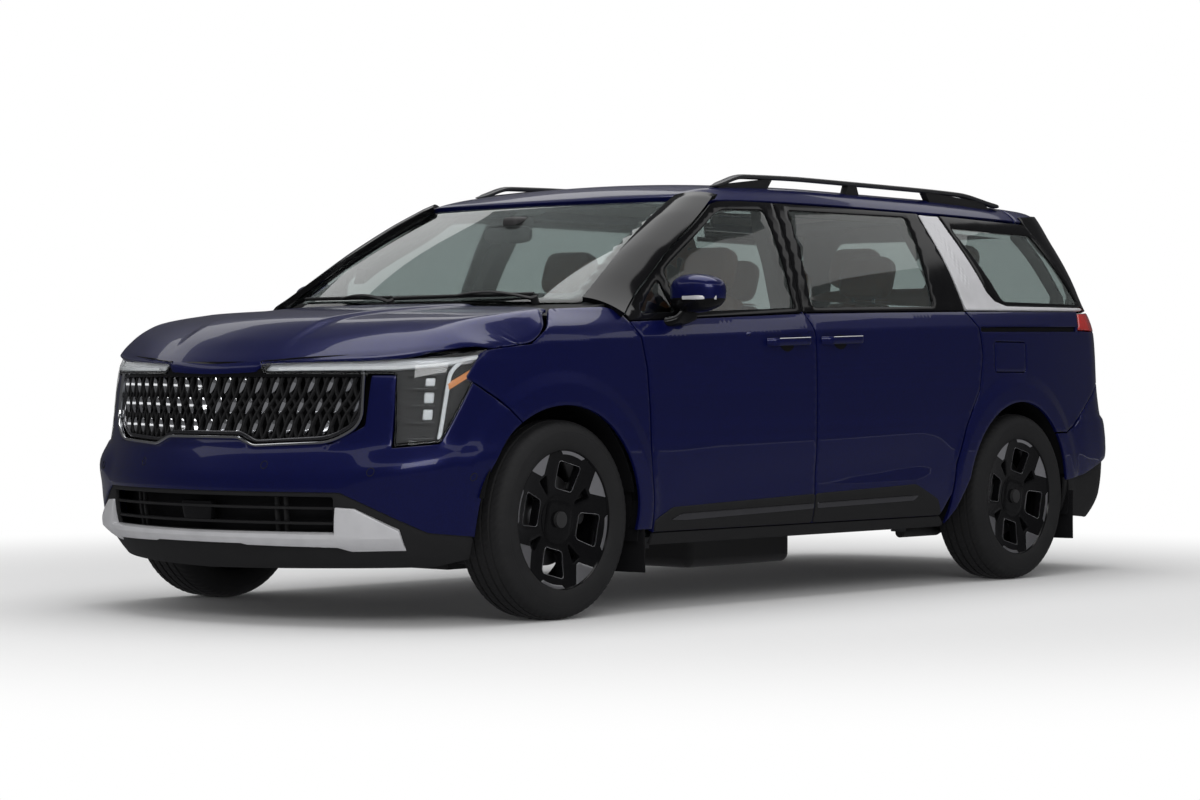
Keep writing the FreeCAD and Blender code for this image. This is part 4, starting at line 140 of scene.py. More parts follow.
# %% The plan of both ends
class EndPlan:
    """Plan arcs of one end: radius wide up to the first angle, tight up to the second, then the
    flank's own radius, which brings the curve parallel to the side."""

    def __init__(self, sign, tip, wide, tight, first, second, lean):
        self.sign, self.tip, self.wide, self.tight, self.lean_table = sign, tip, wide, tight, lean
        self.first, self.second = math.radians(first), math.radians(second)
        self.x1 = wide * math.sin(self.first)
        self.b1 = wide * (1 - math.cos(self.first))
        self.x2 = self.x1 + tight * (math.sin(self.second) - math.sin(self.first))
        self.b2 = self.b1 + tight * (math.cos(self.first) - math.cos(self.second))
        self.flank = (DOOR_HALF - self.x2) / (1 - math.sin(self.second))
        self.depth = self.b2 + self.flank * math.cos(self.second)
        turn = np.linspace(0, math.pi / 2, 721)
        step = np.hypot(*np.diff(np.stack(self.at_turn(turn)), axis=1))
        self.turns, self.lengths = turn, np.concatenate([[0], np.cumsum(step)])

    def at_turn(self, turn):
        """Half width and set-back of the point whose normal is turned by turn."""
        sin, cos = np.sin(turn), np.cos(turn)
        x = np.where(turn <= self.first, self.wide * sin, np.where(
            turn <= self.second, self.x1 + self.tight * (sin - math.sin(self.first)),
            self.x2 + self.flank * (sin - math.sin(self.second))))
        back = np.where(turn <= self.first, self.wide * (1 - cos), np.where(
            turn <= self.second, self.b1 + self.tight * (math.cos(self.first) - cos),
            self.b2 + self.flank * (math.cos(self.second) - cos)))
        return x, back

    def lean(self, z):
        return HALF * curve(self.lean_table, z / HEIGHT)

    def width_at(self, y, z):
        """The half width of the plan at a place along the vehicle and a height."""
        back = np.clip(self.sign * (self.tip - y) - self.lean(z), 0, None)
        wide = self.wide * np.sin(np.arccos(np.clip(1 - back / self.wide, -1, 1)))
        turn = np.arccos(np.clip(math.cos(self.first) - (back - self.b1) / self.tight, -1, 1))
        tight = self.x1 + self.tight * (np.sin(turn) - math.sin(self.first))
        turn = np.arccos(np.clip(math.cos(self.second) - (back - self.b2) / self.flank, 0, 1))
        flank = self.x2 + self.flank * (np.sin(turn) - math.sin(self.second))
        return np.where(back >= self.depth, DOOR_HALF, np.where(
            back >= self.b2, flank, np.where(back >= self.b1, tight, wide)))

    def skin(self, s, z, inset=0.0):
        """The body's skin round this end: s is the distance along the plan from its middle."""
        turn = np.interp(np.abs(s), self.lengths, self.turns)
        x, back = self.at_turn(turn)
        x = x - inset * np.sin(turn)
        y = self.tip - self.sign * (back + self.lean(z) + inset * np.cos(turn))
        x = x * (1 - side_inset(y, z) / DOOR_HALF)
        x = x + (arch_lip(y, z) + shoulder_line(y, z)) * ramp(1.05, 1.35, turn)
        return np.stack([np.sign(s) * x, y, z + 0 * x], -1)

    def s_of_angle(self, degrees):
        return np.sign(degrees) * np.interp(np.radians(np.abs(degrees)), self.turns, self.lengths)

    def s_of_y(self, y, z):
        """The distance along the plan where the skin passes a place along the vehicle."""
        s = np.linspace(0, self.lengths[-1], 600)
        found = self.skin(s, np.full_like(s, z))[:, 1] * -self.sign
        return float(np.interp(y * -self.sign, found, s))

    def s_of_x(self, x, z):
        s = np.linspace(0, self.lengths[-1] * 0.93, 600)
        found = self.skin(s, np.full_like(s, z))[:, 0]
        return float(math.copysign(np.interp(abs(x), found, s), x))


# %% [markdown]
# The side lies in from its widest line by an amount that depends on the height. Three fine things
# sit on top of it: the lip round each wheel arch, the sharp line along the shoulders, and the
# hollow low on the doors. They are what makes the highlights run the way they do.

# %% The side, the hood and the roof
def side_inset(y, z):
    t = np.asarray(z, float) / HEIGHT
    shoulder = ramp(0.40, 0.58, t) * (1 - ramp(0.74, 0.90, t))
    rise = 0.049 * np.clip((y - FRONT_AXLE) / WHEELBASE - 0.5, -0.6, 0.6) * shoulder
    taper = HALF * curve(WINDOW_TAPER, station_of(y))
    return HALF * curve(SIDE_PROFILE, t - rise) + taper * ramp(0.60, 0.70, t)


def arch_lip(y, z):
    """The body-coloured lip round a wheel arch stands 12 mm proud inside a cone of 550 mm."""
    lip = 0
    for axle in (FRONT_AXLE, REAR_AXLE):
        r = np.hypot(y - axle, z - (AXLE_HEIGHT - 0.006))
        lip = lip + 0.0122 * np.clip((0.553 - r) / (0.553 - 0.499), 0, 1)
    return lip


def crease_height(y):
    """The shoulder line climbs gently from the headlamp to the tail lamp."""
    return np.interp(y, (-1.96, -1.44, -0.11, 1.11, 2.3), (0.995, 1.026, 1.076, 1.112, 1.135))


def shoulder_line(y, z):
    away = np.abs(z - crease_height(y))
    fade = ramp(-2.05, -1.7, y) * (1 - ramp(2.0, 2.4, y))
    hollow = 0.006 * np.exp(-((z - 0.50 - 0.05 * y) / 0.075) ** 2)
    between = ramp(-1.05, -0.7, y) * (1 - ramp(0.6, 0.95, y))
    return 0.0045 * np.exp(-away / 0.022) * fade - hollow * between


nose = EndPlan(-1, FRONT_END, 1.370, 0.380, 34, 80, NOSE_LEAN)
tail = EndPlan(1, REAR_END, 3.000, 0.350, 12.5, 82, TAIL_LEAN)


def flank(y, z, inset=0.0):
    plan = np.minimum(nose.width_at(y, z), tail.width_at(y, z))
    x = plan * (1 - side_inset(y, z) / DOOR_HALF) + arch_lip(y, z) + shoulder_line(y, z)
    return np.stack([x - inset, y, z], -1)


def hood_edge(y):
    """Half width of the hood: the shoulder, then the shut line that closes in to the cowl."""
    plain = nose.width_at(y, 0.565 * HEIGHT)
    crease = plain * (1 - side_inset(y, 0.565 * HEIGHT) / DOOR_HALF)
    shut = flank(y, curve(HOOD_SIDE, y))[..., 0] - 0.004 + ramp(-1.86, -1.98, y)
    return np.minimum(np.maximum(crease, nose.x2), shut)


def least(a, b, soft):
    """The lower of two heights, rounded over where they cross."""
    return (a + b - np.sqrt((a - b) ** 2 + soft ** 2)) / 2 + soft * 0.12


def hood_height(x, y):
    """Three surfaces meet: the front rises fast from the lip, the top is almost flat, and the
    side falls from a sharp fold to the shoulder. The middle field stands a little higher."""
    plain = nose.width_at(y, 0.565 * HEIGHT)
    edge = np.maximum(plain * (1 - side_inset(y, 0.565 * HEIGHT) / DOOR_HALF), nose.x2)
    turn = np.interp(np.minimum(np.abs(x), nose.x2), nose.at_turn(nose.turns)[0], nose.turns)
    lip_y = nose.tip + nose.at_turn(turn)[1] + HALF * 0.095
    f = np.clip(np.abs(x) / edge, 0, 1)
    rise = HEIGHT * curve(HOOD_RISE, np.clip(y - lip_y, 0, None) / WHEELBASE) * 0.8
    ridge = np.interp(y, (-2.45, -1.45), (0.262, 0.372))
    field = 0.010 * ramp(0.05, 0.0, np.abs(x) - ridge) * ramp(-2.45, -2.2, y)
    front = HEIGHT * curve(HOOD_LIP, f) + rise - 0.006
    fold_x, fold_z = curve(FOLD_WIDTH, y), curve(FOLD_HEIGHT, y)
    middle = HEIGHT * (0.543 + 0.8 * curve(HOOD_RISE, np.clip(y - nose.tip - HALF * 0.095, 0, None)
                                           / WHEELBASE)) - 0.006
    top = middle - (middle - fold_z) * (np.abs(x) / fold_x) ** 2
    side_x, side_z = hood_edge(y), curve(HOOD_SIDE, y)
    slope = (fold_z - side_z) / np.clip(side_x - fold_x, 0.02, None)
    side = side_z + slope * (side_x - np.abs(x))
    soft = np.interp(y, (-2.35, -2.0, -1.6), (0.030, 0.010, 0.004))
    return least(least(front, top, 0.016), side, soft) + field


def roof_height(x, y):
    crown = HEIGHT * curve(ROOF_CROWN, station_of(y))
    edge = HEIGHT * curve(ROOF_EDGE, station_of(y))
    f = np.abs(x) / flank(y, edge)[..., 0]
    return crown - (crown - edge) * (0.42 * f * f + 0.58 * np.clip((f - 0.85) / 0.15, 0, None) ** 2)


def mirrored(points):
    return points * (-1, 1, 1)


print("door half width at the belt:", round(float(flank(0.0, 1.15)[0]), 3))


# %% [markdown]
# ## From formula to mesh
# Every piece below is made by one of three makers. A grid is a function of two parameters. A sweep
# carries a profile along a path. A panel is an outline filled with points, laid on a surface,
# rolled over at its edge and given a thickness, as pressed sheet metal is. Both sides of the
# vehicle come from the same arrays: the right side is the left one with X turned over and its
# faces turned round, so they still point outwards.

# %% Mesh makers
def piece(name, points, faces, finish, body, slot, replaces=(), crease=32, split=None):
    """A finished object: its place is in its mesh, it rides on a body and has its finish. split
    gives a second finish and a mask of the faces that take it."""
    mesh = bpy.data.meshes.new(name)
    mesh.from_pydata(np.asarray(points).reshape(-1, 3).tolist(), [], faces)
    mesh.validate()
    mesh.polygons.foreach_set("use_smooth", np.ones(len(mesh.polygons), bool))
    mesh.set_sharp_from_angle(angle=math.radians(crease))
    obj = bpy.data.objects.new(name, mesh)
    bpy.context.scene.collection.objects.link(obj)
    mesh.materials.append(finish)
    if split is not None:
        mesh.materials.append(split[0])
        mesh.polygons.foreach_set("material_index", np.asarray(split[1], np.int32))
    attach(obj, body)
    if replaces:
        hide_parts(*replaces)
    return obj


def grid_faces(rows, columns, close_rows=False, close_columns=False, start=0):
    """Four-sided faces of a grid of points, and round the seam where it closes."""
    i = np.arange(rows if close_rows else rows - 1)[:, None]
    j = np.arange(columns if close_columns else columns - 1)[None, :]
    i2, j2 = (i + 1) % rows, (j + 1) % columns
    quads = np.stack([i * columns + j, i2 * columns + j, i2 * columns + j2, i * columns + j2], -1)
    return (quads.reshape(-1, 4) + start).tolist()


def merged(parts):
    """Several (points, faces) as one."""
    points, faces, start = [], [], 0
    for p, f in parts:
        p = np.asarray(p, float).reshape(-1, 3)
        points.append(p)
        faces += [[k + start for k in face] for face in f]
        start += len(p)
    return np.concatenate(points), faces


def flipped(faces):
    return [face[::-1] for face in faces]


SHELL = ("body_shell", "body_shell")
DOORS = ("front_door_left_body", "front_door_right_body")


def both_nodes(name):
    """The names of a left and a right node, as pair() takes them."""
    return (name + "_left",), (name + "_right",)


def pair(name, part, finish, bodies, slot, replaces=(), crease=32):
    """The same piece for both sides: part is for the left."""
    points, faces = part
    made = []
    for side, body, nodes in (("left", bodies[0], replaces and replaces[0]),
                              ("right", bodies[1], replaces and replaces[1])):
        p, f = (points, faces) if side == "left" else (mirrored(points), flipped(faces))
        made.append(piece(name + "_" + side, p, f, finish, body, slot, nodes or (), crease))
    return made


def both_sides(part):
    points, faces = part
    return merged([(points, faces), (mirrored(points), flipped(faces))])


# %% Outlines
def soften(corners, radius, steps=5, closed=True):
    """Rounds each corner of an outline by a curve that is tangent to both of its sides."""
    corners = np.asarray(corners, float)
    radius = np.broadcast_to(radius, len(corners))
    out = []
    for k, here in enumerate(corners):
        before, after = corners[k - 1] - here, corners[(k + 1) % len(corners)] - here
        lb, la = np.linalg.norm(before), np.linalg.norm(after)
        cut = min(radius[k], 0.45 * lb, 0.45 * la)
        if not closed and k in (0, len(corners) - 1) or cut <= 0:
            out.append(here[None])
            continue
        t = np.linspace(0, 1, steps)[:, None]
        start, end = here + before / lb * cut, here + after / la * cut
        out.append((1 - t) ** 2 * start + 2 * t * (1 - t) * here + t * t * end)
    return np.concatenate(out)


def divided(outline, step=0.012, closed=True):
    """Points along an outline, no further apart than step."""
    outline = np.asarray(outline, float)
    after = np.roll(outline, -1, 0) if closed else outline[1:]
    parts = [a + (b - a) * np.arange(n)[:, None] / n for a, b in zip(outline, after)
             for n in [max(1, math.ceil(np.linalg.norm(b - a) / step))]
             if np.linalg.norm(b - a) > 1e-6]
    return np.concatenate(parts if closed else parts + [outline[-1:]])


def turned_left(outline, left=True):
    """The outline run so that its inside lies to the left of it, or to the right."""
    x, y = outline.T
    area = np.sum(x * np.roll(y, -1) - y * np.roll(x, -1))
    return outline if (area > 0) == left else outline[::-1]


def moved_in(loop, by):
    """Each point moved to the left of the outline's run by a distance."""
    along_run = np.roll(loop, -1, 0) - loop
    along_run /= np.linalg.norm(along_run, axis=1)[:, None] + 1e-12
    normal = np.stack([-along_run[:, 1], along_run[:, 0]], 1)
    previous = np.roll(normal, 1, 0)
    share = 1 + np.sum(normal * previous, 1)
    return loop + by * (normal + previous) / np.clip(share, 0.5, None)[:, None]


def within(points, loop):
    """Whether each point lies inside an outline: it is crossed an odd number of times."""
    x, y = points[:, 0][:, None], points[:, 1][:, None]
    (x0, y0), (x1, y1) = loop.T, np.roll(loop, -1, 0).T
    spans = (y0 > y) != (y1 > y)
    at = x0 + (y - y0) / np.where(y1 == y0, 1, y1 - y0) * (x1 - x0)
    return np.sum(spans & (x < at), 1) % 2 == 1


def distance_to(points, loops):
    """The distance of each point from the nearest side of any outline."""
    best = np.full(len(points), np.inf)
    for loop in loops:
        a, b = loop, np.roll(loop, -1, 0)
        run = b - a
        for part in np.array_split(np.arange(len(points)), max(1, len(points) // 1500)):
            rel = points[part, None] - a
            f = np.clip(np.sum(rel * run, -1) / (np.sum(run * run, -1) + 1e-12), 0, 1)
            gap = np.linalg.norm(rel - f[..., None] * run, axis=-1).min(1)
            best[part] = np.minimum(best[part], gap)
    return best


# %% [markdown]
# A panel's points come in rings near its edge, where it rolls over, and in a plain honeycomb
# elsewhere. Extra lines of points can be laid along a crease, so that it stays sharp. The
# triangulation is done flat, on the outline, and only then is each point lifted to the surface.

# %% The panel maker
def panel(surface, outline, holes=(), thickness=0.010, roll=0.004, step=0.022, lines=(),
          outward=1, edge_step=0.012, relief=None):
    """surface maps (n,) and (n,) arrays to points. The roll lowers the edge by a quarter circle."""
    loops = [turned_left(divided(outline, edge_step))]
    loops += [turned_left(divided(h, edge_step), False) for h in holes]
    rings = [moved_in(loop, d) for loop in loops for d in (0, 0.35 * roll, roll)]
    low, high = loops[0].min(0), loops[0].max(0)
    rows = np.arange(low[1], high[1], step * 0.87)
    u = np.arange(low[0], high[0], step)
    inner = np.stack(np.broadcast_arrays(
        u[None] + step / 2 * (np.arange(len(rows)) % 2)[:, None], rows[:, None]), -1).reshape(-1, 2)
    inner = np.concatenate([inner] + [divided(line, step * 0.5, False) for line in lines])
    keep = within(inner, loops[0])
    for hole in loops[1:]:
        keep &= ~within(inner, hole)
    inner = inner[keep]
    inner = inner[distance_to(inner, loops) > max(1.6 * roll, step * 0.3)]
    flat = np.concatenate(rings + [inner])
    edges, start = [], 0
    for loop in loops:
        n = len(loop)
        k = np.arange(n)
        edges += (np.stack([k, (k + 1) % n], 1) + start).tolist()
        start += 3 * n
    verts, _, tris, *_ = delaunay_2d_cdt([tuple(p) for p in flat.tolist()], edges, [], 0, 1e-7)
    uv, tris = np.array([tuple(v) for v in verts]), np.array(tris)
    middle = uv[tris].mean(1)
    keep = within(middle, loops[0])
    for hole in loops[1:]:
        keep &= ~within(middle, hole)
    tris = tris[keep]
    a, b, c = uv[tris[:, 0]], uv[tris[:, 1]], uv[tris[:, 2]]
    area = (b[:, 0] - a[:, 0]) * (c[:, 1] - a[:, 1]) - (b[:, 1] - a[:, 1]) * (c[:, 0] - a[:, 0])
    tris = np.where((area < 0)[:, None], tris[:, ::-1], tris)[np.abs(area) > 1e-12]
    normal = surface_normal(surface, uv) * outward
    gap = np.clip(distance_to(uv, loops), 0, roll)
    drop = roll - np.sqrt(np.clip(roll ** 2 - (roll - gap) ** 2, 0, None))
    if relief is not None:
        drop = drop - relief(uv)
    top = surface(uv[:, 0], uv[:, 1]) - normal * drop[:, None]
    under = surface(uv[:, 0], uv[:, 1]) - normal * (thickness + 0 * drop)[:, None]
    if outward < 0:
        tris = tris[:, ::-1]
    sides = np.concatenate([tris[:, [0, 1]], tris[:, [1, 2]], tris[:, [2, 0]]])
    key = sides[:, 0] * len(uv) + sides[:, 1]
    back = sides[:, 1] * len(uv) + sides[:, 0]
    rim = sides[~np.isin(key, back)]
    n = len(uv)
    walls = np.stack([rim[:, 1], rim[:, 0], rim[:, 0] + n, rim[:, 1] + n], 1)
    faces = tris.tolist() + (tris[:, ::-1] + n).tolist() + walls.tolist()
    used = np.unique(np.concatenate([tris.ravel(), tris.ravel() + n]))
    order = np.full(2 * n, -1)
    order[used] = np.arange(len(used))
    return np.concatenate([top, under])[used], [[int(order[k]) for k in f] for f in faces]


def surface_normal(surface, uv, eps=4e-4):
    u, v = uv[:, 0], uv[:, 1]
    du = surface(u + eps, v) - surface(u - eps, v)
    dv = surface(u, v + eps) - surface(u, v - eps)
    n = np.cross(du, dv)
    return n / (np.linalg.norm(n, axis=1)[:, None] + 1e-15)


def sweep(path, profile, up=(0, 0, 1), close=False, capped=True, widths=None):
    """A closed profile carried along a path. Its first axis lies square to the path and to up,
    its second along what is left of up."""
    path, profile = np.asarray(path, float), np.asarray(profile, float)
    run = np.gradient(path, axis=0) if not close else np.roll(path, -1, 0) - np.roll(path, 1, 0)
    run /= np.linalg.norm(run, axis=1)[:, None]
    up = np.broadcast_to(np.asarray(up, float), path.shape)
    side = np.cross(run, up)
    side /= np.linalg.norm(side, axis=1)[:, None]
    high = np.cross(side, run)
    grow = np.ones(len(path)) if widths is None else np.asarray(widths)
    points = (path[:, None] + grow[:, None, None] * (profile[None, :, :1] * side[:, None]
              + profile[None, :, 1:] * high[:, None]))
    n, m = points.shape[:2]
    faces = flipped(grid_faces(n, m, close, True))
    if capped and not close:
        faces += [list(range(m)), list(range((n - 1) * m, n * m))[::-1]]
    return points.reshape(-1, 3), faces


def closed_shell(outer, inner):
    """Two grids of the same size made one closed mesh, with walls along their borders."""
    n, m = outer.shape[:2]
    border = np.concatenate([np.arange(m), np.arange(1, n) * m + m - 1,
                             (n - 1) * m + np.arange(m - 2, -1, -1), np.arange(n - 2, 0, -1) * m])
    after, size = np.roll(border, -1), n * m
    walls = np.stack([border, border + size, after + size, after], 1).tolist()
    top = grid_faces(n, m)
    faces = top + [[k + size for k in face[::-1]] for face in top] + walls
    return np.concatenate([outer.reshape(-1, 3), inner.reshape(-1, 3)]), faces


def round_profile(width, height, power=2.0, count=20):
    """A closed curve between an ellipse, at power 2, and a box with soft corners, at power 5."""
    t = np.linspace(0, 2 * math.pi, count, endpoint=False)
    c, s = np.cos(t), np.sin(t)
    return np.stack([width / 2 * np.sign(c) * np.abs(c) ** (2 / power),
                     height / 2 * np.sign(s) * np.abs(s) ** (2 / power)], 1)


def side_outline(shares, radius=0.02):
    """Station and height shares as a rounded side-view outline in metres."""
    s, t = np.array(shares, float).T
    return soften(np.stack([along(s), t * HEIGHT], 1), radius)


# %% [markdown]
# ## Finishes
# Three effects come back in many materials: the fine grain of moulded plastic, rubber and cast
# metal, the tiny flakes in paint, and the film of dust that makes roughness uneven. Each is one
# node group with named sockets. The shader itself stays in each material.

# %% Shared effects
def group(name, inputs, outputs):
    tree = bpy.data.node_groups.new(name, "ShaderNodeTree")
    for label, kind, value in inputs:
        socket = tree.interface.new_socket(label, in_out="INPUT", socket_type=kind)
        socket.default_value = value
    for label, kind in outputs:
        tree.interface.new_socket(label, in_out="OUTPUT", socket_type=kind)
    return tree, tree.nodes.new("NodeGroupInput"), tree.nodes.new("NodeGroupOutput")


def join(tree, *pairs):
    """Links written as (node, output, node, input); an output or input is a name or a number."""
    for source, out, target, into in pairs:
        tree.links.new(source.outputs[out], target.inputs[into])


FLOAT, COLOUR, VECTOR = "NodeSocketFloat", "NodeSocketColor", "NodeSocketVector"


def grain_group():
    """Fine grain: two noises of different size give height, and one of them tints the colour."""
    tree, given, out = group("Moulded Grain", (
        ("Colour", COLOUR, (0.05, 0.05, 0.05, 1)), ("Tint", COLOUR, (0.08, 0.08, 0.08, 1)),
        ("Scale", FLOAT, 900.0), ("Depth", FLOAT, 0.0002), ("Roughness", FLOAT, 0.5),
        ("Unevenness", FLOAT, 0.08)),
        (("Colour", COLOUR), ("Roughness", FLOAT), ("Normal", VECTOR)))
    nodes = tree.nodes
    place = nodes.new("ShaderNodeTexCoord")
    fine, broad = nodes.new("ShaderNodeTexNoise"), nodes.new("ShaderNodeTexNoise")
    broad.inputs["Scale"].default_value = 14
    broad.inputs["Detail"].default_value = 4
    bump = nodes.new("ShaderNodeBump")
    mix = nodes.new("ShaderNodeMix")
    mix.data_type = "RGBA"
    span = nodes.new("ShaderNodeMapRange")
    low, high = nodes.new("ShaderNodeMath"), nodes.new("ShaderNodeMath")
    low.operation, high.operation = "SUBTRACT", "ADD"
    for noise in (fine, broad):
        join(tree, (place, "Object", noise, "Vector"))
    for node in (low, high):
        join(tree, (given, "Roughness", node, 0), (given, "Unevenness", node, 1))
    join(tree, (given, "Scale", fine, "Scale"), (fine, "Fac", bump, "Height"),
         (given, "Depth", bump, "Distance"), (broad, "Fac", mix, "Factor"),
         (given, "Colour", mix, "A"), (given, "Tint", mix, "B"), (broad, "Fac", span, "Value"),
         (low, 0, span, "To Min"), (high, 0, span, "To Max"), (mix, "Result", out, "Colour"),
         (span, "Result", out, "Roughness"), (bump, "Normal", out, "Normal"))
    return tree


def flake_group():
    """Paint flakes: small cells, a few of them brighter, scattered in the colour coat."""
    tree, given, out = group("Paint Flakes", (
        ("Colour", COLOUR, (0.01, 0.01, 0.1, 1)), ("Flake", COLOUR, (0.05, 0.08, 0.4, 1)),
        ("Scale", FLOAT, 2500.0)), (("Colour", COLOUR), ("Metallic", FLOAT)))
    nodes = tree.nodes
    place, cells = nodes.new("ShaderNodeTexCoord"), nodes.new("ShaderNodeTexVoronoi")
    bright, mix = nodes.new("ShaderNodeMapRange"), nodes.new("ShaderNodeMix")
    split, metal = nodes.new("ShaderNodeSeparateColor"), nodes.new("ShaderNodeMapRange")
    mix.data_type = "RGBA"
    bright.inputs["From Min"].default_value = 0.72
    metal.inputs["To Min"].default_value, metal.inputs["To Max"].default_value = 0.25, 0.55
    join(tree, (place, "Object", cells, "Vector"), (given, "Scale", cells, "Scale"),
         (cells, "Color", split, "Color"), (split, "Red", bright, "Value"),
         (split, "Green", metal, "Value"), (bright, "Result", mix, "Factor"),
         (given, "Colour", mix, "A"), (given, "Flake", mix, "B"), (mix, "Result", out, "Colour"),
         (metal, "Result", out, "Metallic"))
    return tree


moulded_grain, paint_flakes = grain_group(), flake_group()


# %% Materials
def fill_in(node, **values):
    """Values for a node's sockets; an underscore stands for the space in a socket's name."""
    for label, value in values.items():
        node.inputs[label.replace("_", " ")].default_value = value


def blank(name, shared=None):
    """A new material: its tree, its shader and, where one is shared, a node of that group."""
    material = bpy.data.materials.new(name)
    material.use_nodes = True
    tree = material.node_tree
    effect = tree.nodes.new("ShaderNodeGroup") if shared else None
    if shared:
        effect.node_tree = shared
    return material, tree, tree.nodes["Principled BSDF"], effect


def finish(name, colour, rough, metal=0.0, tint=None, scale=900.0, depth=0.0, uneven=0.05,
           coat=0.0, coat_rough=0.05, **sockets):
    """A material whose colour, roughness and normal come from the shared grain."""
    material, tree, shader, grain = blank(name, moulded_grain)
    tint = tint or [min(1, c * 1.25 + 0.002) for c in colour]
    fill_in(grain, Colour=(*colour, 1), Tint=(*tint, 1), Scale=scale, Depth=depth,
            Roughness=rough, Unevenness=uneven)
    join(tree, (grain, "Colour", shader, "Base Color"), (grain, "Roughness", shader, "Roughness"))
    if depth:
        join(tree, (grain, "Normal", shader, "Normal"))
    fill_in(shader, Metallic=metal, Coat_Weight=coat, Coat_Roughness=coat_rough, **sockets)
    return material


def paint():
    """Deep blue paint: a colour coat with flakes under a clear coat."""
    material, tree, shader, flakes = blank("deep_blue_paint", paint_flakes)
    fill_in(flakes, Colour=(0.0026, 0.0040, 0.048, 1), Flake=(0.009, 0.016, 0.180, 1))
    join(tree, (flakes, "Colour", shader, "Base Color"), (flakes, "Metallic", shader, "Metallic"))
    fill_in(shader, Roughness=0.30, Specular_IOR_Level=0.2, Coat_Weight=0.55, Coat_Roughness=0.025)
    return material


def clear(name, colour, rough=0.02, ior=1.45):
    """Glass or clear plastic, tinted through and through."""
    material, _, shader, _ = blank(name)
    fill_in(shader, Base_Color=(*colour, 1), Roughness=rough, IOR=ior, Transmission_Weight=1.0)
    return material


blue = paint()
piano_black = finish("gloss_black", (0.003, 0.003, 0.0035), 0.10, uneven=0.03,
                     Specular_IOR_Level=0.22)
matte_black = finish("grained_black", (0.012, 0.012, 0.013), 0.60, scale=1400, depth=0.00012,
                     Specular_IOR_Level=0.30)
soft_black = finish("liner_black", (0.006, 0.006, 0.007), 0.9, scale=500, depth=0.0004,
                    Specular_IOR_Level=0.15)
tyre_rubber = finish("tyre_rubber", (0.014, 0.014, 0.015), 0.68, scale=1800, depth=0.00008,
                     tint=(0.020, 0.020, 0.021), uneven=0.10, Specular_IOR_Level=0.25)
machined = finish("machined_silver", (0.62, 0.62, 0.64), 0.30, metal=1.0, scale=2200, depth=0.00002)
satin_silver = finish("satin_silver", (0.60, 0.60, 0.62), 0.34, metal=0.30, scale=1500,
                      depth=0.00003)
chrome = finish("bright_metal", (0.72, 0.73, 0.75), 0.10, metal=1.0, uneven=0.02)
dark_chrome = finish("smoked_metal", (0.16, 0.16, 0.17), 0.20, metal=1.0, uneven=0.04)
wheel_black = finish("wheel_black", (0.003, 0.003, 0.0035), 0.16, uneven=0.05,
                     Specular_IOR_Level=0.22)
steel = finish("brake_iron", (0.34, 0.34, 0.35), 0.42, metal=1.0, scale=700, depth=0.0001)
cast = finish("cast_iron", (0.05, 0.05, 0.052), 0.7, metal=0.6, scale=300, depth=0.0006)
leather = finish("cognac_leather", (0.190, 0.062, 0.020), 0.46, tint=(0.250, 0.088, 0.030),
                 scale=420, depth=0.00035, uneven=0.07)
cabin_dark = finish("cabin_dark", (0.030, 0.029, 0.030), 0.65, scale=1100, depth=0.00015)
light_trim = finish("headlining", (0.36, 0.35, 0.34), 0.85, scale=900, depth=0.0003)
side_glass = clear("side_tint", (0.40, 0.45, 0.44))
screen_glass = clear("screen_tint", (0.42, 0.48, 0.47))
lamp_clear = clear("lamp_clear", (0.93, 0.95, 0.96))
lamp_red = finish("lamp_red", (0.42, 0.012, 0.014), 0.18, coat=1.0, coat_rough=0.03,
                  tint=(0.55, 0.03, 0.02))
amber = finish("amber", (0.75, 0.20, 0.02), 0.25, coat=0.8, tint=(0.9, 0.32, 0.04))
lamp_white = finish("light_guide", (0.78, 0.80, 0.82), 0.35, tint=(0.88, 0.89, 0.90), coat=0.5)
print("finishes:", len(bpy.data.materials))


# %% [markdown]
# ## Doors, fenders and quarters
# The side of the vehicle is pressed steel, cut by shut lines about 5 mm wide. What the eye reads
# as a car door is its gaps and the way its edges roll over, so each panel here ends in a rolled
# edge. Blue metal ends at the belt: above it the door frames are gloss black.

# %% Lines of the side
SPLIT = np.array([(-0.090, 0.300), (-0.090, 1.050), (-0.104, 1.100), (-0.138, 1.158),
                  (-0.067, 1.604)])
LEAD = np.array([(-1.113, 0.300), (-1.119, 0.321), (-1.144, 0.505), (-1.156, 0.746),
                 (-1.173, 0.919), (-1.204, 1.038), (-1.247, 1.112)])
SLIDING_TAIL = np.array([(0.850, 0.300), (0.912, 0.391), (0.933, 0.522), (1.004, 0.675),
                         (1.115, 0.840), (1.140, 0.985), (1.120, 1.107), (1.055, 1.176)])
GAP = np.array([0.0026, 0])
ARCH_RADIUS, LIP_RADII = 0.424, (0.499, 0.552)


def belt(y):
    """The line where blue metal ends below the windows."""
    return np.interp(y, (-1.25, -0.10, 1.07, 2.15), (1.097, 1.149, 1.178, 1.198))


def arch(axle, start, end, radius=ARCH_RADIUS, count=44):
    """Part of a circle about a wheel's middle, in degrees from the rear, going up."""
    t = np.radians(np.linspace(start, end, count))
    return np.stack([axle + radius * np.cos(t), AXLE_HEIGHT - 0.006 + radius * np.sin(t)], 1)


def belt_line(start, end, shift=0.0, count=12):
    y = np.linspace(start, end, count)
    return np.stack([y, belt(y) + shift], 1)


def crease(start, end):
    y = np.linspace(start, end, 90)
    return [np.stack([y, crease_height(y) + d], 1) for d in (-0.012, 0.0, 0.012)]


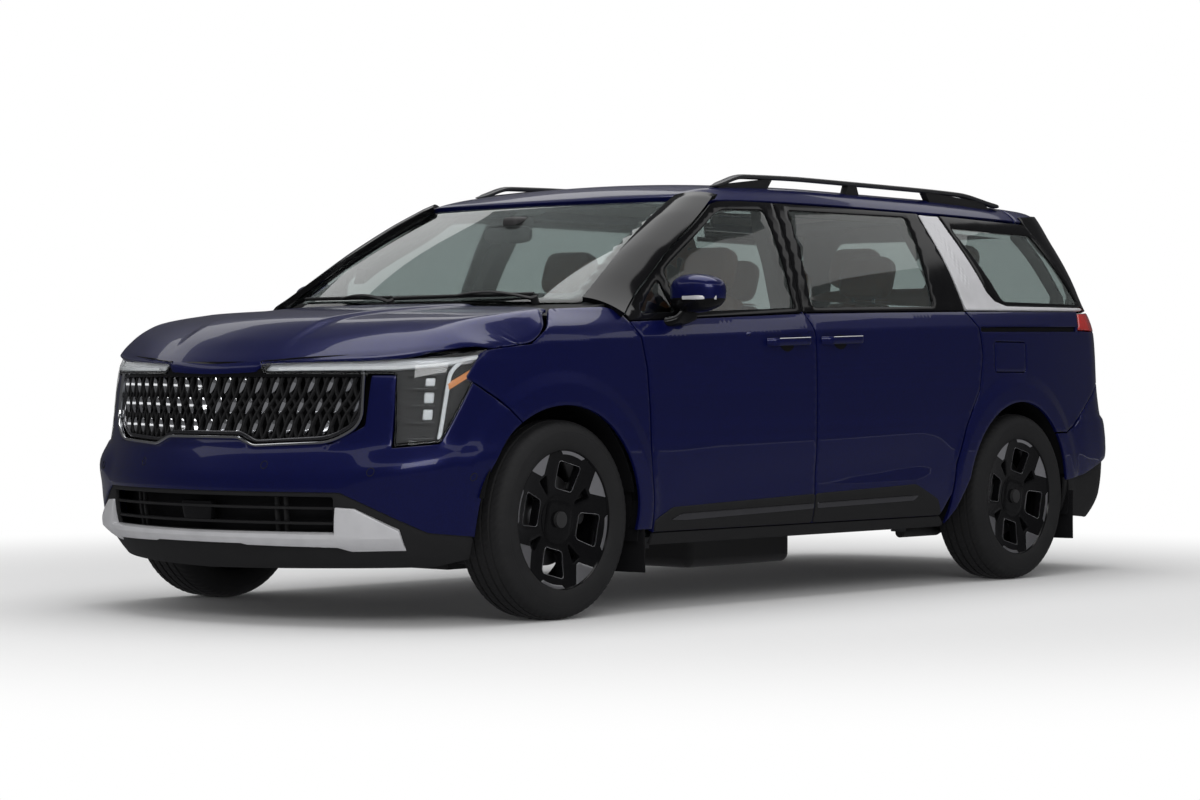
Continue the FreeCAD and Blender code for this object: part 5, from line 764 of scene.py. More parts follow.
# %% Blue panels of the side
fender_outline = np.concatenate([
    soften(np.array([(-1.124, 0.313), *(LEAD[2:] - (0.0052, 0)), (-1.268, 1.138), (-1.340, 1.152),
                     (-1.617, 1.140), (-1.707, 1.064), (-1.793, 1.007), (-1.998, 0.984),
                     (-2.030, 0.975), (-2.098, 0.884), (-1.959, 0.806)]), 0.012, closed=False),
    arch(FRONT_AXLE, 121.1, -6.4)])
fender_lines = crease(-2.05, -1.25) + [arch(FRONT_AXLE, 10, 130, r, 90) for r in LIP_RADII]
fender = panel(flank, fender_outline, thickness=0.012, lines=fender_lines, step=0.016)
pair("fender", fender, blue, SHELL, "blue_paint", both_nodes("fender"))

front_low = np.concatenate([
    LEAD[:-1] + GAP, [(-1.240, belt(-1.240))], belt_line(-1.20, -0.155, 0, 20),
    soften(np.array([(-0.141, belt(-0.141)), *SPLIT[3:1:-1], *SPLIT[1::-1]]) - GAP, 0.012,
           closed=False)])
sliding_low = np.concatenate([
    soften(np.array([*SPLIT[:3], (-0.134, belt(-0.134))]) + GAP, 0.012, closed=False),
    belt_line(-0.12, 1.04, 0, 20), (SLIDING_TAIL - GAP)[::-1]])
door_lines = crease(-1.20, 1.13)
front_door = panel(flank, front_low, thickness=0.020, lines=door_lines, step=0.026)
sliding_door = panel(flank, sliding_low, thickness=0.020, lines=door_lines, step=0.026)
pair("front_door_skin", front_door, blue, DOORS, "blue_paint")
pair("sliding_door_skin", sliding_door, blue, SHELL, "blue_paint")
print("front door skin:", len(front_door[0]), "points")

# %% [markdown]
# The rear quarter runs round the corner of the body, where a side view tells little. So its
# surface is unrolled: a distance along the plan takes the place of the station, and outlines
# given in side view are carried over point by point.

# %% The rear quarter
TAIL_START = float(tail.tip - tail.depth) + float(tail.lengths[-1])


def rear_side(u, z):
    """The side in front of the tail's plan, then the tail itself, by distance along the plan."""
    s = TAIL_START - u
    over = np.clip(s - tail.lengths[-1], 0, None)
    front = flank(tail.tip - tail.depth - tail.lean(z) - over, z)
    return np.where((over > 0)[..., None], front, tail.skin(np.clip(s, None, tail.lengths[-1]), z))


def unrolled(outline):
    """Side-view points as distance along the plan and height."""
    u = np.linspace(0.7, TAIL_START - 0.02, 900)
    points = divided(outline, 0.02)
    rows = [np.interp(y, rear_side(u, np.full_like(u, z))[:, 1], u) for y, z in points]
    return np.stack([rows, points[:, 1]], 1)


quarter_outline = np.concatenate([
    [(0.905, 0.262)], soften(SLIDING_TAIL[1:] + 2 * GAP, 0.02, closed=False),
    belt_line(1.07, 2.05, 0.0, 16),
    [(2.070, 1.196), (2.022, 1.107), (2.200, 1.105), (2.300, 1.100)],
    [(2.330, 0.880), (2.232, 0.861), (1.947, 0.672), (1.8665, 0.648)],
    arch(REAR_AXLE, 42.5, 180 - 13.5)])
quarter_flat = unrolled(quarter_outline)
track_slot = soften([(1.136, 1.091), (2.008, 1.104), (2.008, 1.125), (1.136, 1.112)], 0.006)
flap_hole = soften([(1.234, 0.914), (1.498, 0.914), (1.498, 1.050), (1.234, 1.050)], 0.020)
quarter_lines = [unrolled(line)[1:-1] for line in crease(1.13, 2.25)]
quarter_lines += [unrolled(arch(REAR_AXLE, 35, 172, r, 90))[1:-1] for r in LIP_RADII]
for side, holes in (("left", (track_slot, flap_hole)), ("right", (track_slot,))):
    points, faces = panel(rear_side, quarter_flat, [unrolled(h) for h in holes], 0.014,
                          lines=quarter_lines, step=0.018)
    if side == "right":
        points, faces = mirrored(points), flipped(faces)
    piece("quarter_skin_" + side, points, faces, blue, "body_shell", "blue_paint",
          ("quarter_" + side,))
flap_outline = soften([(1.2372, 0.9172), (1.4948, 0.9172), (1.4948, 1.0468), (1.2372, 1.0468)],
                      0.018)
flap = panel(rear_side, unrolled(flap_outline), thickness=0.006, roll=0.003)
piece("fuel_flap_skin", *flap, blue, "fuel_flap_body", "blue_paint", ("fuel_flap",))


# %% Slide track behind the sliding door
def set_in(surface, depth):
    """The same surface, moved inwards along its normal."""
    def inner(u, v):
        uv = np.stack([np.ravel(u), np.ravel(v)], 1)
        return surface(uv[:, 0], uv[:, 1]) - surface_normal(surface, uv) * depth
    return inner


track_outline = soften([(1.126, 1.085), (2.016, 1.098), (2.016, 1.131), (1.126, 1.118)], 0.006)
track = panel(set_in(rear_side, 0.013), unrolled(track_outline), thickness=0.004, roll=0.001,
              step=0.03)
pair("slide_track", track, soft_black, SHELL, "black_plastic")

# %% [markdown]
# Above the belt each door is a gloss black frame with a pane let in 4 mm. The side panes are a
# little darker than the windscreen. The frame starts 5 mm above the blue metal, and that gap is
# the thin dark line that separates paint from glass.

# %% Window frames and panes
front_frame = np.concatenate([
    belt_line(-1.235, -0.150, 0.005, 20), SPLIT[3:] - GAP,
    [(-0.299, 1.602), (-0.440, 1.594), (-0.500, 1.580), (-0.877, 1.369), (-1.240, 1.124)]])
front_glass = np.array([(-0.893, 1.141), (-0.177, 1.170), (-0.152, 1.571), (-0.425, 1.563),
                        (-0.505, 1.536), (-0.877, 1.331), (-0.930, 1.296)])
vent_glass = np.array([(-1.150, 1.131), (-0.936, 1.139), (-0.974, 1.268)])
sliding_frame = np.concatenate([
    belt_line(-0.130, 1.045, 0.005, 20), [(1.060, 1.200), (0.994, 1.606)], (SPLIT[3:] + GAP)[::-1]])
sliding_glass = np.array([(-0.065, 1.173), (0.826, 1.196), (0.888, 1.586), (0.008, 1.577)])
quarter_glass = np.array([(1.399, 1.229), (2.118, 1.231), (1.922, 1.545), (1.212, 1.552)])
quarter_frame = np.array([(1.160, 1.604), (1.300, 1.250), (1.385, 1.213), (2.150, 1.219),
                          (2.144, 1.246), (1.958, 1.560), (1.905, 1.596)])
frames = (
    ("front_frame", front_frame, (front_glass, vent_glass), DOORS, both_nodes("front_door")),
    ("sliding_frame", sliding_frame, (sliding_glass,), SHELL, both_nodes("sliding_door")),
    ("quarter_frame", quarter_frame, (quarter_glass,), SHELL, ()))
for label, outline, holes, bodies, nodes in frames:
    frame_panel = panel(flank, soften(outline, 0.010), [soften(h, 0.026) for h in holes], 0.020,
                        roll=0.003, step=0.03)
    pair(label, frame_panel, piano_black, bodies, "black_plastic", nodes)


def pane(outline, lap=0.010):
    """A pane a little larger than its opening, 4 mm inside it."""
    grown = moved_in(turned_left(divided(soften(outline, 0.03), 0.03)), -lap)
    return panel(set_in(flank, 0.004), grown, thickness=0.004, roll=0.0008, step=0.05,
                 edge_step=0.03)


pair("front_pane", merged([pane(front_glass), pane(vent_glass)]), side_glass, DOORS,
     "tinted_glass", both_nodes("front_door_glass"), 60)
pair("side_pane", merged([pane(sliding_glass), pane(quarter_glass)]), side_glass, SHELL,
     "tinted_glass", both_nodes("side_glass"), 60)

# %% [markdown]
# Behind the sliding door stands the bright trim that gives this vehicle its look from the side: a
# broad blade beside the pillar and a thin strip under the rear window. The blade is embossed with
# a small diamond pattern that stands about 2 mm proud.

# %% Bright pillar trim
garnish_outline = soften(np.array([
    (1.000, 1.602), (1.072, 1.600), (1.150, 1.601), (1.286, 1.268), (1.330, 1.229), (1.420, 1.209),
    (2.136, 1.216), (2.150, 1.206), (2.070, 1.202), (1.075, 1.186)]), 0.008)


def emboss(uv):
    """Small diamonds in slanting rows on the blade's upper part, and nothing elsewhere."""
    y, z = uv.T
    lean = y - 1.000 - (1.602 - z) * 0.30
    a, b = (lean + 0.9 * z) / 0.030, (lean - 0.9 * z) / 0.030
    diamond = np.clip(1 - 2.4 * np.maximum(np.abs(a % 1 - 0.5), np.abs(b % 1 - 0.5)), 0, 1)
    field = ramp(0.02, 0.035, lean) * (1 - ramp(0.075, 0.09, lean)) * ramp(1.26, 1.32, z)
    return 0.0022 * diamond * field * (1 - ramp(1.56, 1.59, z))


garnish = panel(flank, garnish_outline, thickness=0.012, roll=0.003, step=0.0055, relief=emboss)
pair("pillar_garnish", garnish, satin_silver, SHELL, "silver_trim", (("pillar_garnishes",), ()))

# %% Cladding, sill and bright strip
cladding_top = np.array([(-1.117, 0.343), (-1.009, 0.393), (-0.110, 0.419), (0.632, 0.440),
                         (0.807, 0.372), (0.845, 0.312)])
strip = [(-1.020, 0.346), (-0.956, 0.369), (-0.102, 0.383), (-0.102, 0.360), (-0.93, 0.342)]
strip_rear = [(-0.078, 0.384), (0.650, 0.395), (0.616, 0.372), (-0.078, 0.361)]


def clad(outline, proud, thickness=0.012, roll=0.004):
    """A strip that stands proud of the side by a distance."""
    return panel(set_in(flank, -proud), soften(outline, 0.012), thickness=thickness, roll=roll,
                 step=0.03)


front_clad = np.array([(-1.108, 0.303), *cladding_top[:2], (-0.0945, 0.4192), (-0.0945, 0.303)])
rear_clad = np.array([(-0.0855, 0.303), (-0.0855, 0.4198), *cladding_top[3:], (0.838, 0.303)])
pair("front_cladding", clad(front_clad, 0.006), matte_black, DOORS, "black_plastic")
pair("rear_cladding", clad(rear_clad, 0.006), matte_black, SHELL, "black_plastic")
pair("front_strip", clad(strip, 0.0088, 0.004, 0.0015), dark_chrome, DOORS, "silver_trim")
pair("rear_strip", clad(strip_rear, 0.0088, 0.004, 0.0015), dark_chrome, SHELL, "silver_trim")
sill = [(-1.105, 0.250), (-1.100, 0.297), (0.850, 0.297), (0.895, 0.262), (0.880, 0.250)]
pair("sill", clad(sill, 0.0), matte_black, SHELL, "black_plastic", (("sills",), ()))


# %% [markdown]
# ## Hood and roof
# Both are large skins with no hole in them, so a plain grid is better than an outline filled with
# points: its rows run with the shape, and reflections stay smooth. The grid is closed to a thin
# shell, and its outer two rows roll under, as folded sheet metal does.

# %% A grid made into a shell
def shell_grid(points, thickness=0.012, roll=0.004):
    """points is (rows, columns, 3). The shell's inner side is the outer one moved against the
    normals, and the outermost rows drop by the roll."""
    n, m = points.shape[:2]
    normal = np.cross(np.gradient(points, axis=0), np.gradient(points, axis=1))
    normal /= np.linalg.norm(normal, axis=2)[..., None] + 1e-12
    i, j = np.meshgrid(np.arange(n), np.arange(m), indexing="ij")
    ring = np.minimum(np.minimum(i, n - 1 - i), np.minimum(j, m - 1 - j))
    drop = np.select([ring == 0, ring == 1], [roll, roll * 0.25], 0.0)
    return closed_shell(points - normal * drop[..., None], points - normal * thickness)


def edged(start, end, count, near=0.003):
    """Even steps with two extra ones close to each end, for the roll."""
    plain, total = np.linspace(start, end, count), end - start
    return np.concatenate([[start, start + near * total], plain[1:-1], [end - near * total, end]])


# %% Hood
def hood_grid():
    """Rows run across, close together at the folds, and columns from the lip to the cowl; the
    middle of the lip hangs down between the lamps."""
    even = edged(-1, 1, 131, 0.0016)[:, None]
    f = even + 0.045 * np.sin(even * math.pi * 2) / 2
    k = np.concatenate([[0, 0.0035], np.linspace(0, 1, 60)[1:] ** 1.25 * 0.994 + 0.006])[None, :]
    front_x = np.abs(nose.x2 * 1.006 * f)
    turn = np.interp(front_x, nose.at_turn(nose.turns)[0], nose.turns)
    start = nose.tip + nose.at_turn(turn)[1] + HALF * 0.098
    end = np.interp(np.abs(f), (0, 0.45, 1), (-1.5194, -1.512, -1.630))
    y = start + (end - start) * k
    x = hood_edge(y) * f
    z = hood_height(x, y)
    hang = 0.030 * ramp(0.262, 0.212, np.abs(x)) + 0.006
    t = np.array([1.0, 0.75, 0.45, 0.2])[None, :]
    low_z = z[:, :1] - hang[:, :1] * t
    low_y = y[:, :1] - 0.004 * t * (2 - t) - nose.lean(z[:, :1]) + nose.lean(low_z)
    y, z = np.concatenate([low_y, y], 1), np.concatenate([low_z, z], 1)
    x = np.concatenate([np.repeat(x[:, :1], 4, 1), x], 1)
    return np.stack([x, y, z], -1)


hood = shell_grid(hood_grid(), 0.014, 0.003)
piece("hood_skin", *hood, blue, "hood_body", "blue_paint", ("hood",), 40)


# %% Roof and spoiler
def roof_grid(first, last, bow, count, end_bow=0.0, rows=65):
    """The roof between two stations; bow sets its corners back in front, end_bow behind."""
    g = edged(-1, 1, rows, 0.002)
    f = (np.sin(g * math.pi / 2) * 0.35 + g * 0.65)[:, None]
    k = edged(0, 1, count, 0.0035)[None, :]
    y = along(first) + (along(last) - along(first)) * k + bow * f * f * (1 - k) - end_bow * f * f * k
    x = flank(y, HEIGHT * curve(ROOF_EDGE, station_of(y)))[..., 0] * f
    return np.stack([x, y, roof_height(x, y)], -1)


roof = shell_grid(roof_grid(-0.178, 0.849, HALF * 0.085, 80), 0.030, 0.004)
piece("roof_skin", *roof, blue, "body_shell", "blue_paint", ("roof_panel",), 40)
spoiler = shell_grid(roof_grid(0.857, 1.290, 0.0, 26, HALF * 0.10), 0.026, 0.006)

# %% [markdown]
# The windscreen is laminated glass, clear enough to show the seats. Its black border, printed on
# the inside, hides the glue: it is a ring of its own, just under the pane.

# %% Windscreen
def screen(a, b):
    """a runs across in metres at mid height, b from base to top; the pane bows forward in the
    middle and bulges a little between base and top."""
    f, rise = a / 0.72, b
    width = HALF * (0.80 + (0.655 - 0.80) * rise)
    edge_y = along(-0.401) + (along(-0.162) - along(-0.401)) * rise
    middle_y = along(-0.449) + (along(-0.184) - along(-0.449)) * rise
    z = HEIGHT * (0.671 + 0.243 * rise + 0.012 * np.sin(math.pi * np.clip(rise, 0, 1)))
    return np.stack([width * f, middle_y + (edge_y - middle_y) * f * f, z], -1)


screen_outline = soften([(-0.72, 0.0), (0.72, 0.0), (0.72, 1.0), (-0.72, 1.0)], 0.03)
screen_view = soften([(-0.672, 0.085), (0.672, 0.085), (0.665, 0.945), (0.10, 0.955),
                      (0.085, 0.885), (-0.085, 0.885), (-0.10, 0.955), (-0.665, 0.945)], 0.045)
windscreen = panel(screen, screen_outline, thickness=0.005, roll=0.001, step=0.05)
piece("windscreen_pane", *windscreen, screen_glass, "body_shell", "tinted_glass", ("windscreen",), 60)
border = panel(set_in(screen, 0.0058), screen_outline, [screen_view], 0.0015, 0.0004, step=0.04)
piece("windscreen_border", *border, piano_black, "body_shell", "black_plastic")


# %% Pillars beside the windscreen
def pillar_grid():
    """From the glass edge to the door's shut line, rounded over between them."""
    rise = edged(0, 1, 46, 0.004)[None, :]
    f = edged(0, 1, 12, 0.02)[:, None]
    inner = screen(0.7225 + 0 * rise, rise)
    edge_y = np.interp(rise, (0, 0.35, 0.70, 1.0), (-1.275, -0.930, -0.620, -0.452))
    height = np.interp(edge_y, (-1.275, -1.240, -0.877, -0.500, -0.440),
                       (1.110, 1.132, 1.377, 1.588, 1.603))
    outer = flank(edge_y, height, 0.001)
    width = np.linalg.norm(outer - inner, axis=-1)[..., None]
    bulge = np.array((0.35, -0.45, 0.82)) * width * 0.08
    return inner + (outer - inner) * f[..., None] + bulge * (4 * f * (1 - f))[..., None]


pillars = shell_grid(pillar_grid()[::-1], 0.025, 0.003)
piece("pillar_skins", *both_sides(pillars), piano_black, "body_shell",
      "black_plastic", ("windscreen_pillars",), 45)


# %% Cowl and wipers
def cowl_surface(x, d):
    """The grained panel between hood and glass: x across, d metres back from its front edge."""
    middle = along(-0.449) + (along(-0.401) - along(-0.449)) * (x / 0.80 / HALF) ** 2
    front = -1.520 - 0.100 * ramp(0.42, 0.88, np.abs(x))
    y = front + (middle + 0.05 - front) * d / 0.12
    low = 1.140 - 0.022 * (x / 0.8) ** 2
    return np.stack([x, y, low + (1.170 - low) * d / 0.12], -1)


cowl = panel(cowl_surface, np.array([(-0.885, 0.0), (0.885, 0.0), (0.885, 0.12), (-0.885, 0.12)]),
             thickness=0.010, roll=0.002, step=0.03)
piece("cowl_skin", *cowl, matte_black, "body_shell", "black_plastic")


def wiper(root, tip, blade_from, blade_to):
    """An arm that rises from its spindle to the middle of a blade lying on the glass."""
    t = np.linspace(0, 1, 24)[:, None]
    lift = np.array([0, -0.46, 0.888])
    start, end = (screen(np.array([a]), np.array([b]))[0] for a, b in (root, tip))
    arm = start + (end - start) * t + lift * (0.012 + 0.022 * np.sin(math.pi * t))
    first, last = np.array(blade_from), np.array(blade_to)
    path = first + (last - first) * t
    blade = screen(path[:, 0], path[:, 1]) + lift * 0.010
    spindle = [start + lift * h for h in (-0.03, 0.022)]
    return merged([sweep(arm, round_profile(0.016, 0.008, 3, 10), lift),
                   sweep(blade, round_profile(0.012, 0.014, 3, 10), lift),
                   sweep(spindle, round_profile(0.030, 0.030, 2, 16), (1, 0, 0))])


wipers = merged([wiper((0.55, 0.01), (0.22, 0.045), (0.53, 0.055), (-0.06, 0.035)),
                 wiper((-0.05, 0.0), (-0.36, 0.045), (-0.08, 0.045), (-0.62, 0.055))])
piece("wipers", *wipers, matte_black, "body_shell", "black_rubber")
print("hood and roof:", len(hood[0]), len(roof[0]), "points")


# %% [markdown]
# ## Front end
# The nose surface takes a distance round the plan and a height, so every outline here is drawn
# with an angle and a height: 0 degrees is the middle of the vehicle, 80 the start of the flank.
# Only the left half is written down.

# %% Bumper
def around(points):
    """Angle and height pairs as distance along the nose plan and height."""
    a, z = np.array(points, float).T
    return np.stack([nose.s_of_angle(a), z], 1)


def whole(half):
    """An outline across the middle, from its left half run from the top or bottom centre."""
    half = np.asarray(half, float)
    return np.concatenate([half, (half * (-1, 1))[::-1]])


def on_nose(inset):
    return lambda s, z: nose.skin(s, z, inset)


def arch_on_nose(start, end):
    """The wheel arch's front part, by distance along the plan."""
    points = arch(FRONT_AXLE, start, end, count=22)
    return np.array([(nose.s_of_y(y, z), z) for y, z in points])


seam = np.array([(nose.s_of_y(y - 0.005, z), z) for y, z in ((-2.092, 0.880), (-1.962, 0.804))])
bumper_half = np.concatenate([
    around([(0, 0.6645), (7.8, 0.6645), (10.8, 0.6345), (23.7, 0.649), (28.6, 0.712), (28.9, 0.892),
            (32.7, 0.892), (33.0, 0.634), (56.4, 0.649), (72.8, 0.878)]),
    seam, arch_on_nose(121.5, 186.2), around([(79.7, 0.318), (55, 0.334), (26.4, 0.476), (0, 0.476)])])


def ledge(uv):
    """A soft shoulder below the lamp that dips again towards the diagonal under it."""
    s, z = np.abs(uv[:, 0]), uv[:, 1]
    side = ramp(0.62, 0.80, s) * (1 - ramp(1.25, 1.55, s))
    return 0.016 * side * np.exp(-((z - 0.560 - 0.10 * (s - 0.8)) / 0.055) ** 2)


bumper_lines = [np.array([(nose.s_of_y(y, z), z) for y, z in arch(FRONT_AXLE, 125, 184, r, 40)])
                for r in LIP_RADII]
bumper_lines += [line * (-1, 1) for line in bumper_lines]
bumper = panel(on_nose(0), soften(whole(bumper_half), 0.010), thickness=0.012, step=0.022,
               lines=bumper_lines, relief=ledge)
piece("front_bumper_skin", *bumper, blue, "body_shell", "blue_paint", ("front_bumper",))

# %% Lower black part, skid plate and backing
intake_hole = soften(around([(25.3, 0.460), (25.3, 0.334), (-25.3, 0.334), (-25.3, 0.460)]), 0.012)
low_half = np.concatenate([
    around([(0, 0.482), (26.9, 0.482), (55, 0.341), (79.3, 0.325)]), arch_on_nose(187, 195.5),
    around([(78.0, 0.236), (58, 0.208), (0, 0.192)])])
low_part = panel(on_nose(0.007), soften(whole(low_half), 0.012), [intake_hole], 0.014, step=0.026)
piece("front_lower_skin", *low_part, matte_black, "body_shell", "black_plastic")

skid_half = around([(0, 0.331), (25.7, 0.333), (25.7, 0.424), (28.7, 0.420), (39.6, 0.346),
                    (44.0, 0.246), (29.4, 0.246), (25.9, 0.281), (10.5, 0.286), (9.4, 0.292), (0, 0.292)])


def skid_form(uv):
    """The plate's upper part leans back from a ridge, its lower part tucks under."""
    s, z = np.abs(uv[:, 0]), uv[:, 1]
    ridge = 0.318 + 0.006 * ramp(0.6, 0.9, s)
    return 0.022 - 0.20 * np.clip(z - ridge, 0, None) - 0.50 * np.clip(ridge - z, 0, None)


skid_lines = [around([(-42, 0.323), (-24, 0.318), (24, 0.318), (42, 0.323)])]
skid = panel(on_nose(0), soften(whole(skid_half), 0.004), thickness=0.010, roll=0.003, step=0.016,
             lines=skid_lines, relief=skid_form)
piece("skid_plate", *skid, satin_silver, "body_shell", "silver_trim")
backing_half = around([(0, 0.900), (74, 0.900), (76, 0.240), (0, 0.230)])
backing = panel(on_nose(0.085), whole(backing_half), thickness=0.006, step=0.05)
piece("nose_backing", *backing, soft_black, "body_shell", "black_plastic")


# %% Intake slats and radar cover
def across_nose(reach, z, width, height, inset, power=4.0):
    """A bar that follows the plan, from one angle to its mirror."""
    s = np.linspace(-1, 1, 49) * float(nose.s_of_angle(reach))
    path = nose.skin(s, np.full_like(s, z), inset)
    return sweep(path, round_profile(width, height, power, 12), (0, 0, 1))


def upright(angle, low, high, width, depth, inset):
    z = np.linspace(low, high, 3)
    s = np.full_like(z, float(nose.s_of_angle(angle)))
    return sweep(nose.skin(s, z, inset), round_profile(width, depth, 4, 12), (0, -1, 0))


slats = merged([across_nose(26, z, 0.030, 0.011, 0.030) for z in (0.366, 0.420)]
               + [upright(a, 0.338, 0.458, 0.012, 0.020, 0.040) for a in (-17, -15.4, 15.4, 17)])
piece("intake_slats", *slats, matte_black, "body_shell", "black_plastic", ("intake_grille",))
radar_outline = soften([(-0.088, 0.438), (-0.076, 0.362), (0.070, 0.362), (0.082, 0.438)], 0.014)
radar = panel(on_nose(0.020), radar_outline, thickness=0.030, roll=0.006, step=0.02)
piece("radar_cover", *radar, piano_black, "body_shell", "black_plastic")

# %% [markdown]
# The grille is two families of slanting bars that cross in diamonds. Where they cross sits a
# small bright blade, tall and narrow, that leans outwards: three rows of them, and the middle row
# stands half a step aside. The bright surround is one sweep along the outline's sides and foot.

# %% Grille lattice
grille_half = around([(0, 0.671), (7.6, 0.671), (10.6, 0.641), (23.4, 0.656), (27.9, 0.716),
                      (27.6, 0.893), (0, 0.893)])
grille_outline = soften(whole(grille_half), (0.02, 0.03, 0.03, 0.05, 0.06, 0.01, 0.01) * 2)
PITCH, ROW, MIDDLE = 0.0735, 0.0745, 0.782
z_run = np.linspace(0.632, 0.894, 60)


def lattice_bar(number, lean):
    """One bar, cut to the part of it that lies inside the grille."""
    s = (number * PITCH + lean * (z_run - MIDDLE) * 0.5 * PITCH / ROW
         + lean * 0.006 * np.sin((z_run - MIDDLE) / ROW * math.pi))
    keep = within(np.stack([s, z_run], 1), grille_outline)
    s, z = s[keep], z_run[keep]
    if len(s) < 4:
        return None
    path = nose.skin(s, z, 0.020 if lean > 0 else 0.024)
    return sweep(path, round_profile(0.009, 0.016, 3.0, 8), (0, -1, 0.15))


def blade(s0, z0, size=1.0):
    """A bright blade: a leaf with a ridge along its middle, leaning outwards at the top."""
    lean = 0.34 if s0 > 0 else -0.34
    t = np.linspace(-1, 1, 9)[:, None]
    w = np.linspace(-1, 1, 5)[None, :]
    half = 0.0095 * size * (1 - np.abs(t) ** 2.4) + 0.0012
    z = z0 + 0.029 * size * t + 0 * w
    s = s0 + lean * (z - z0) + half * w
    height = 0.013 + 0.010 * (1 - np.abs(w)) * (1 - 0.6 * t * t)
    top = nose.skin(s, z)
    normal = surface_normal(on_nose(0), np.stack([s.ravel(), z.ravel()], 1)).reshape(*s.shape, 3)
    points, faces = closed_shell(top + normal * (height - 0.027)[..., None], top - normal * 0.027)
    return points, flipped(faces)


bars = [lattice_bar(k + 0.0, lean) for k in range(-12, 13) for lean in (-1, 1)]
bars += [lattice_bar(k + 0.5, lean) for k in range(-12, 12) for lean in (-1, 1)]
lattice = merged([b for b in bars if b is not None])
piece("grille_lattice", *lattice, matte_black, "body_shell", "black_plastic", ("grille",), 50)
places = [((k + 0.25 + 0.5 * (row % 2)) * PITCH, MIDDLE + (row - 1) * ROW)
          for row in range(3) for k in range(-10, 10)]
places = [(s, z) for s, z in places
          if within(np.array([(abs(s) + 0.012, z - 0.026), (s, z)]), grille_outline).all()]
blades = merged([blade(s, z, 1.0 - 0.12 * (z < 0.75)) for s, z in places])
piece("grille_blades", *blades, chrome, "body_shell", "silver_trim", (), 18)

frame_half = around([(27.85, 0.896), (28.15, 0.714), (23.6, 0.6515), (10.7, 0.6365), (7.7, 0.6665),
                     (0, 0.6665)])
frame_flat = soften(whole(frame_half), (0, 0.06, 0.05, 0.02, 0.02, 0, 0, 0.02, 0.02, 0.05, 0.06, 0),
                    7, False)
frame_flat = divided(frame_flat, 0.010, False)
frame_path = nose.skin(frame_flat[:, 0], frame_flat[:, 1], 0.002)
frame_up = np.cross(np.gradient(frame_path, axis=0), surface_normal(on_nose(0), frame_flat))
surround = sweep(frame_path, round_profile(0.024, 0.0115, 4.0, 14), frame_up)
piece("grille_surround", *surround, chrome, "body_shell", "silver_trim")
inner_path = nose.skin(frame_flat[:, 0] * 0.985, frame_flat[:, 1] + 0.016, 0.018)
bevel = sweep(inner_path, round_profile(0.022, 0.018, 3.0, 10), frame_up)
piece("grille_bevel", *bevel, dark_chrome, "body_shell", "silver_trim")
cap_half = around([(0, 0.941), (9.6, 0.941), (11.0, 0.8955), (28.2, 0.8955), (28.2, 0.884),
                   (0, 0.884)])
grille_cap = panel(on_nose(0.008), whole(cap_half), thickness=0.020, roll=0.002, step=0.02)
piece("grille_cap", *grille_cap, piano_black, "body_shell", "black_plastic")
print("grille:", len(lattice[0]), "bar points,", len(places), "blades")

# %% [markdown]
# ## Headlamps
# A lamp is a clear lens over a dark box, and what makes it look real is what stands in the box: a
# white light guide that runs outwards and turns down, shelves that part it into four cells, a
# projector lens in the upper three, and an amber side marker.

# %% Lamp boxes, guides and lenses
lamp_corners = around([(9.7, 0.940), (17, 0.950), (60, 0.974), (80, 0.989), (73.2, 0.886),
                       (56.3, 0.656), (33.4, 0.641), (32.5, 0.897), (11.1, 0.897)])
lamp_outline = soften(lamp_corners, 0.010)
lamp_lens = panel(on_nose(0.002), lamp_outline, thickness=0.003, roll=0.0015, step=0.03)
lamp_box = panel(on_nose(0.034), lamp_outline, thickness=0.004, roll=0.001, step=0.03)
rim_loop = turned_left(divided(lamp_outline, 0.012))
rim_path = nose.skin(*moved_in(rim_loop, 0.004).T, 0.018)
rim_up = np.cross(np.roll(rim_path, -1, 0) - np.roll(rim_path, 1, 0),
                  surface_normal(on_nose(0), rim_loop))
lamp_rim = sweep(rim_path, round_profile(0.030, 0.006, 4, 10), rim_up, close=True)
pair("lamp_lens", lamp_lens, lamp_clear, SHELL, "lamp_clear", (("headlamps",), ()), 60)
pair("lamp_box", merged([lamp_box, lamp_rim]), piano_black, SHELL, "black_plastic")

band = around([(10.6, 0.906), (11.6, 0.932), (60, 0.957), (75.5, 0.968), (72.0, 0.935),
               (60.5, 0.926), (32, 0.908)])
bright_band = panel(on_nose(0.022), soften(band, 0.006), thickness=0.010, roll=0.004, step=0.02)
guide_line = divided(soften(around([(13.5, 0.912), (33, 0.9175), (58, 0.935), (72.5, 0.9555)]),
                            0.03, 7, False), 0.02, False)
down_line = divided(soften(around([(64.5, 0.944), (58.5, 0.905), (55.6, 0.665)]), 0.05, 7, False),
                    0.02, False)


def guide(line, width, inset):
    """A rod that follows a line on the nose, set in from it."""
    path = nose.skin(*line.T, inset)
    up = np.cross(np.gradient(path, axis=0), surface_normal(on_nose(0), line))
    return sweep(path, round_profile(0.012, width, 3, 10), up)


guides = merged([guide(guide_line, 0.015, 0.010), guide(down_line, 0.015, 0.012)])
pair("lamp_band", bright_band, satin_silver, SHELL, "silver_trim")
pair("light_guide", guides, lamp_white, SHELL, "lamp_clear")
marker_outline = soften(around([(56.8, 0.862), (73.6, 0.926), (71.6, 0.892), (58.4, 0.838)]), 0.006)
marker = panel(on_nose(0.006), marker_outline, thickness=0.012, roll=0.004, step=0.02)
pair("side_marker", marker, amber, SHELL, "lamp_clear")


def shelf(z):
    """A black shelf across the lamp between two cells."""
    return guide(divided(around([(34.5, z), (52.5, z)]), 0.03, False), 0.012, 0.014)


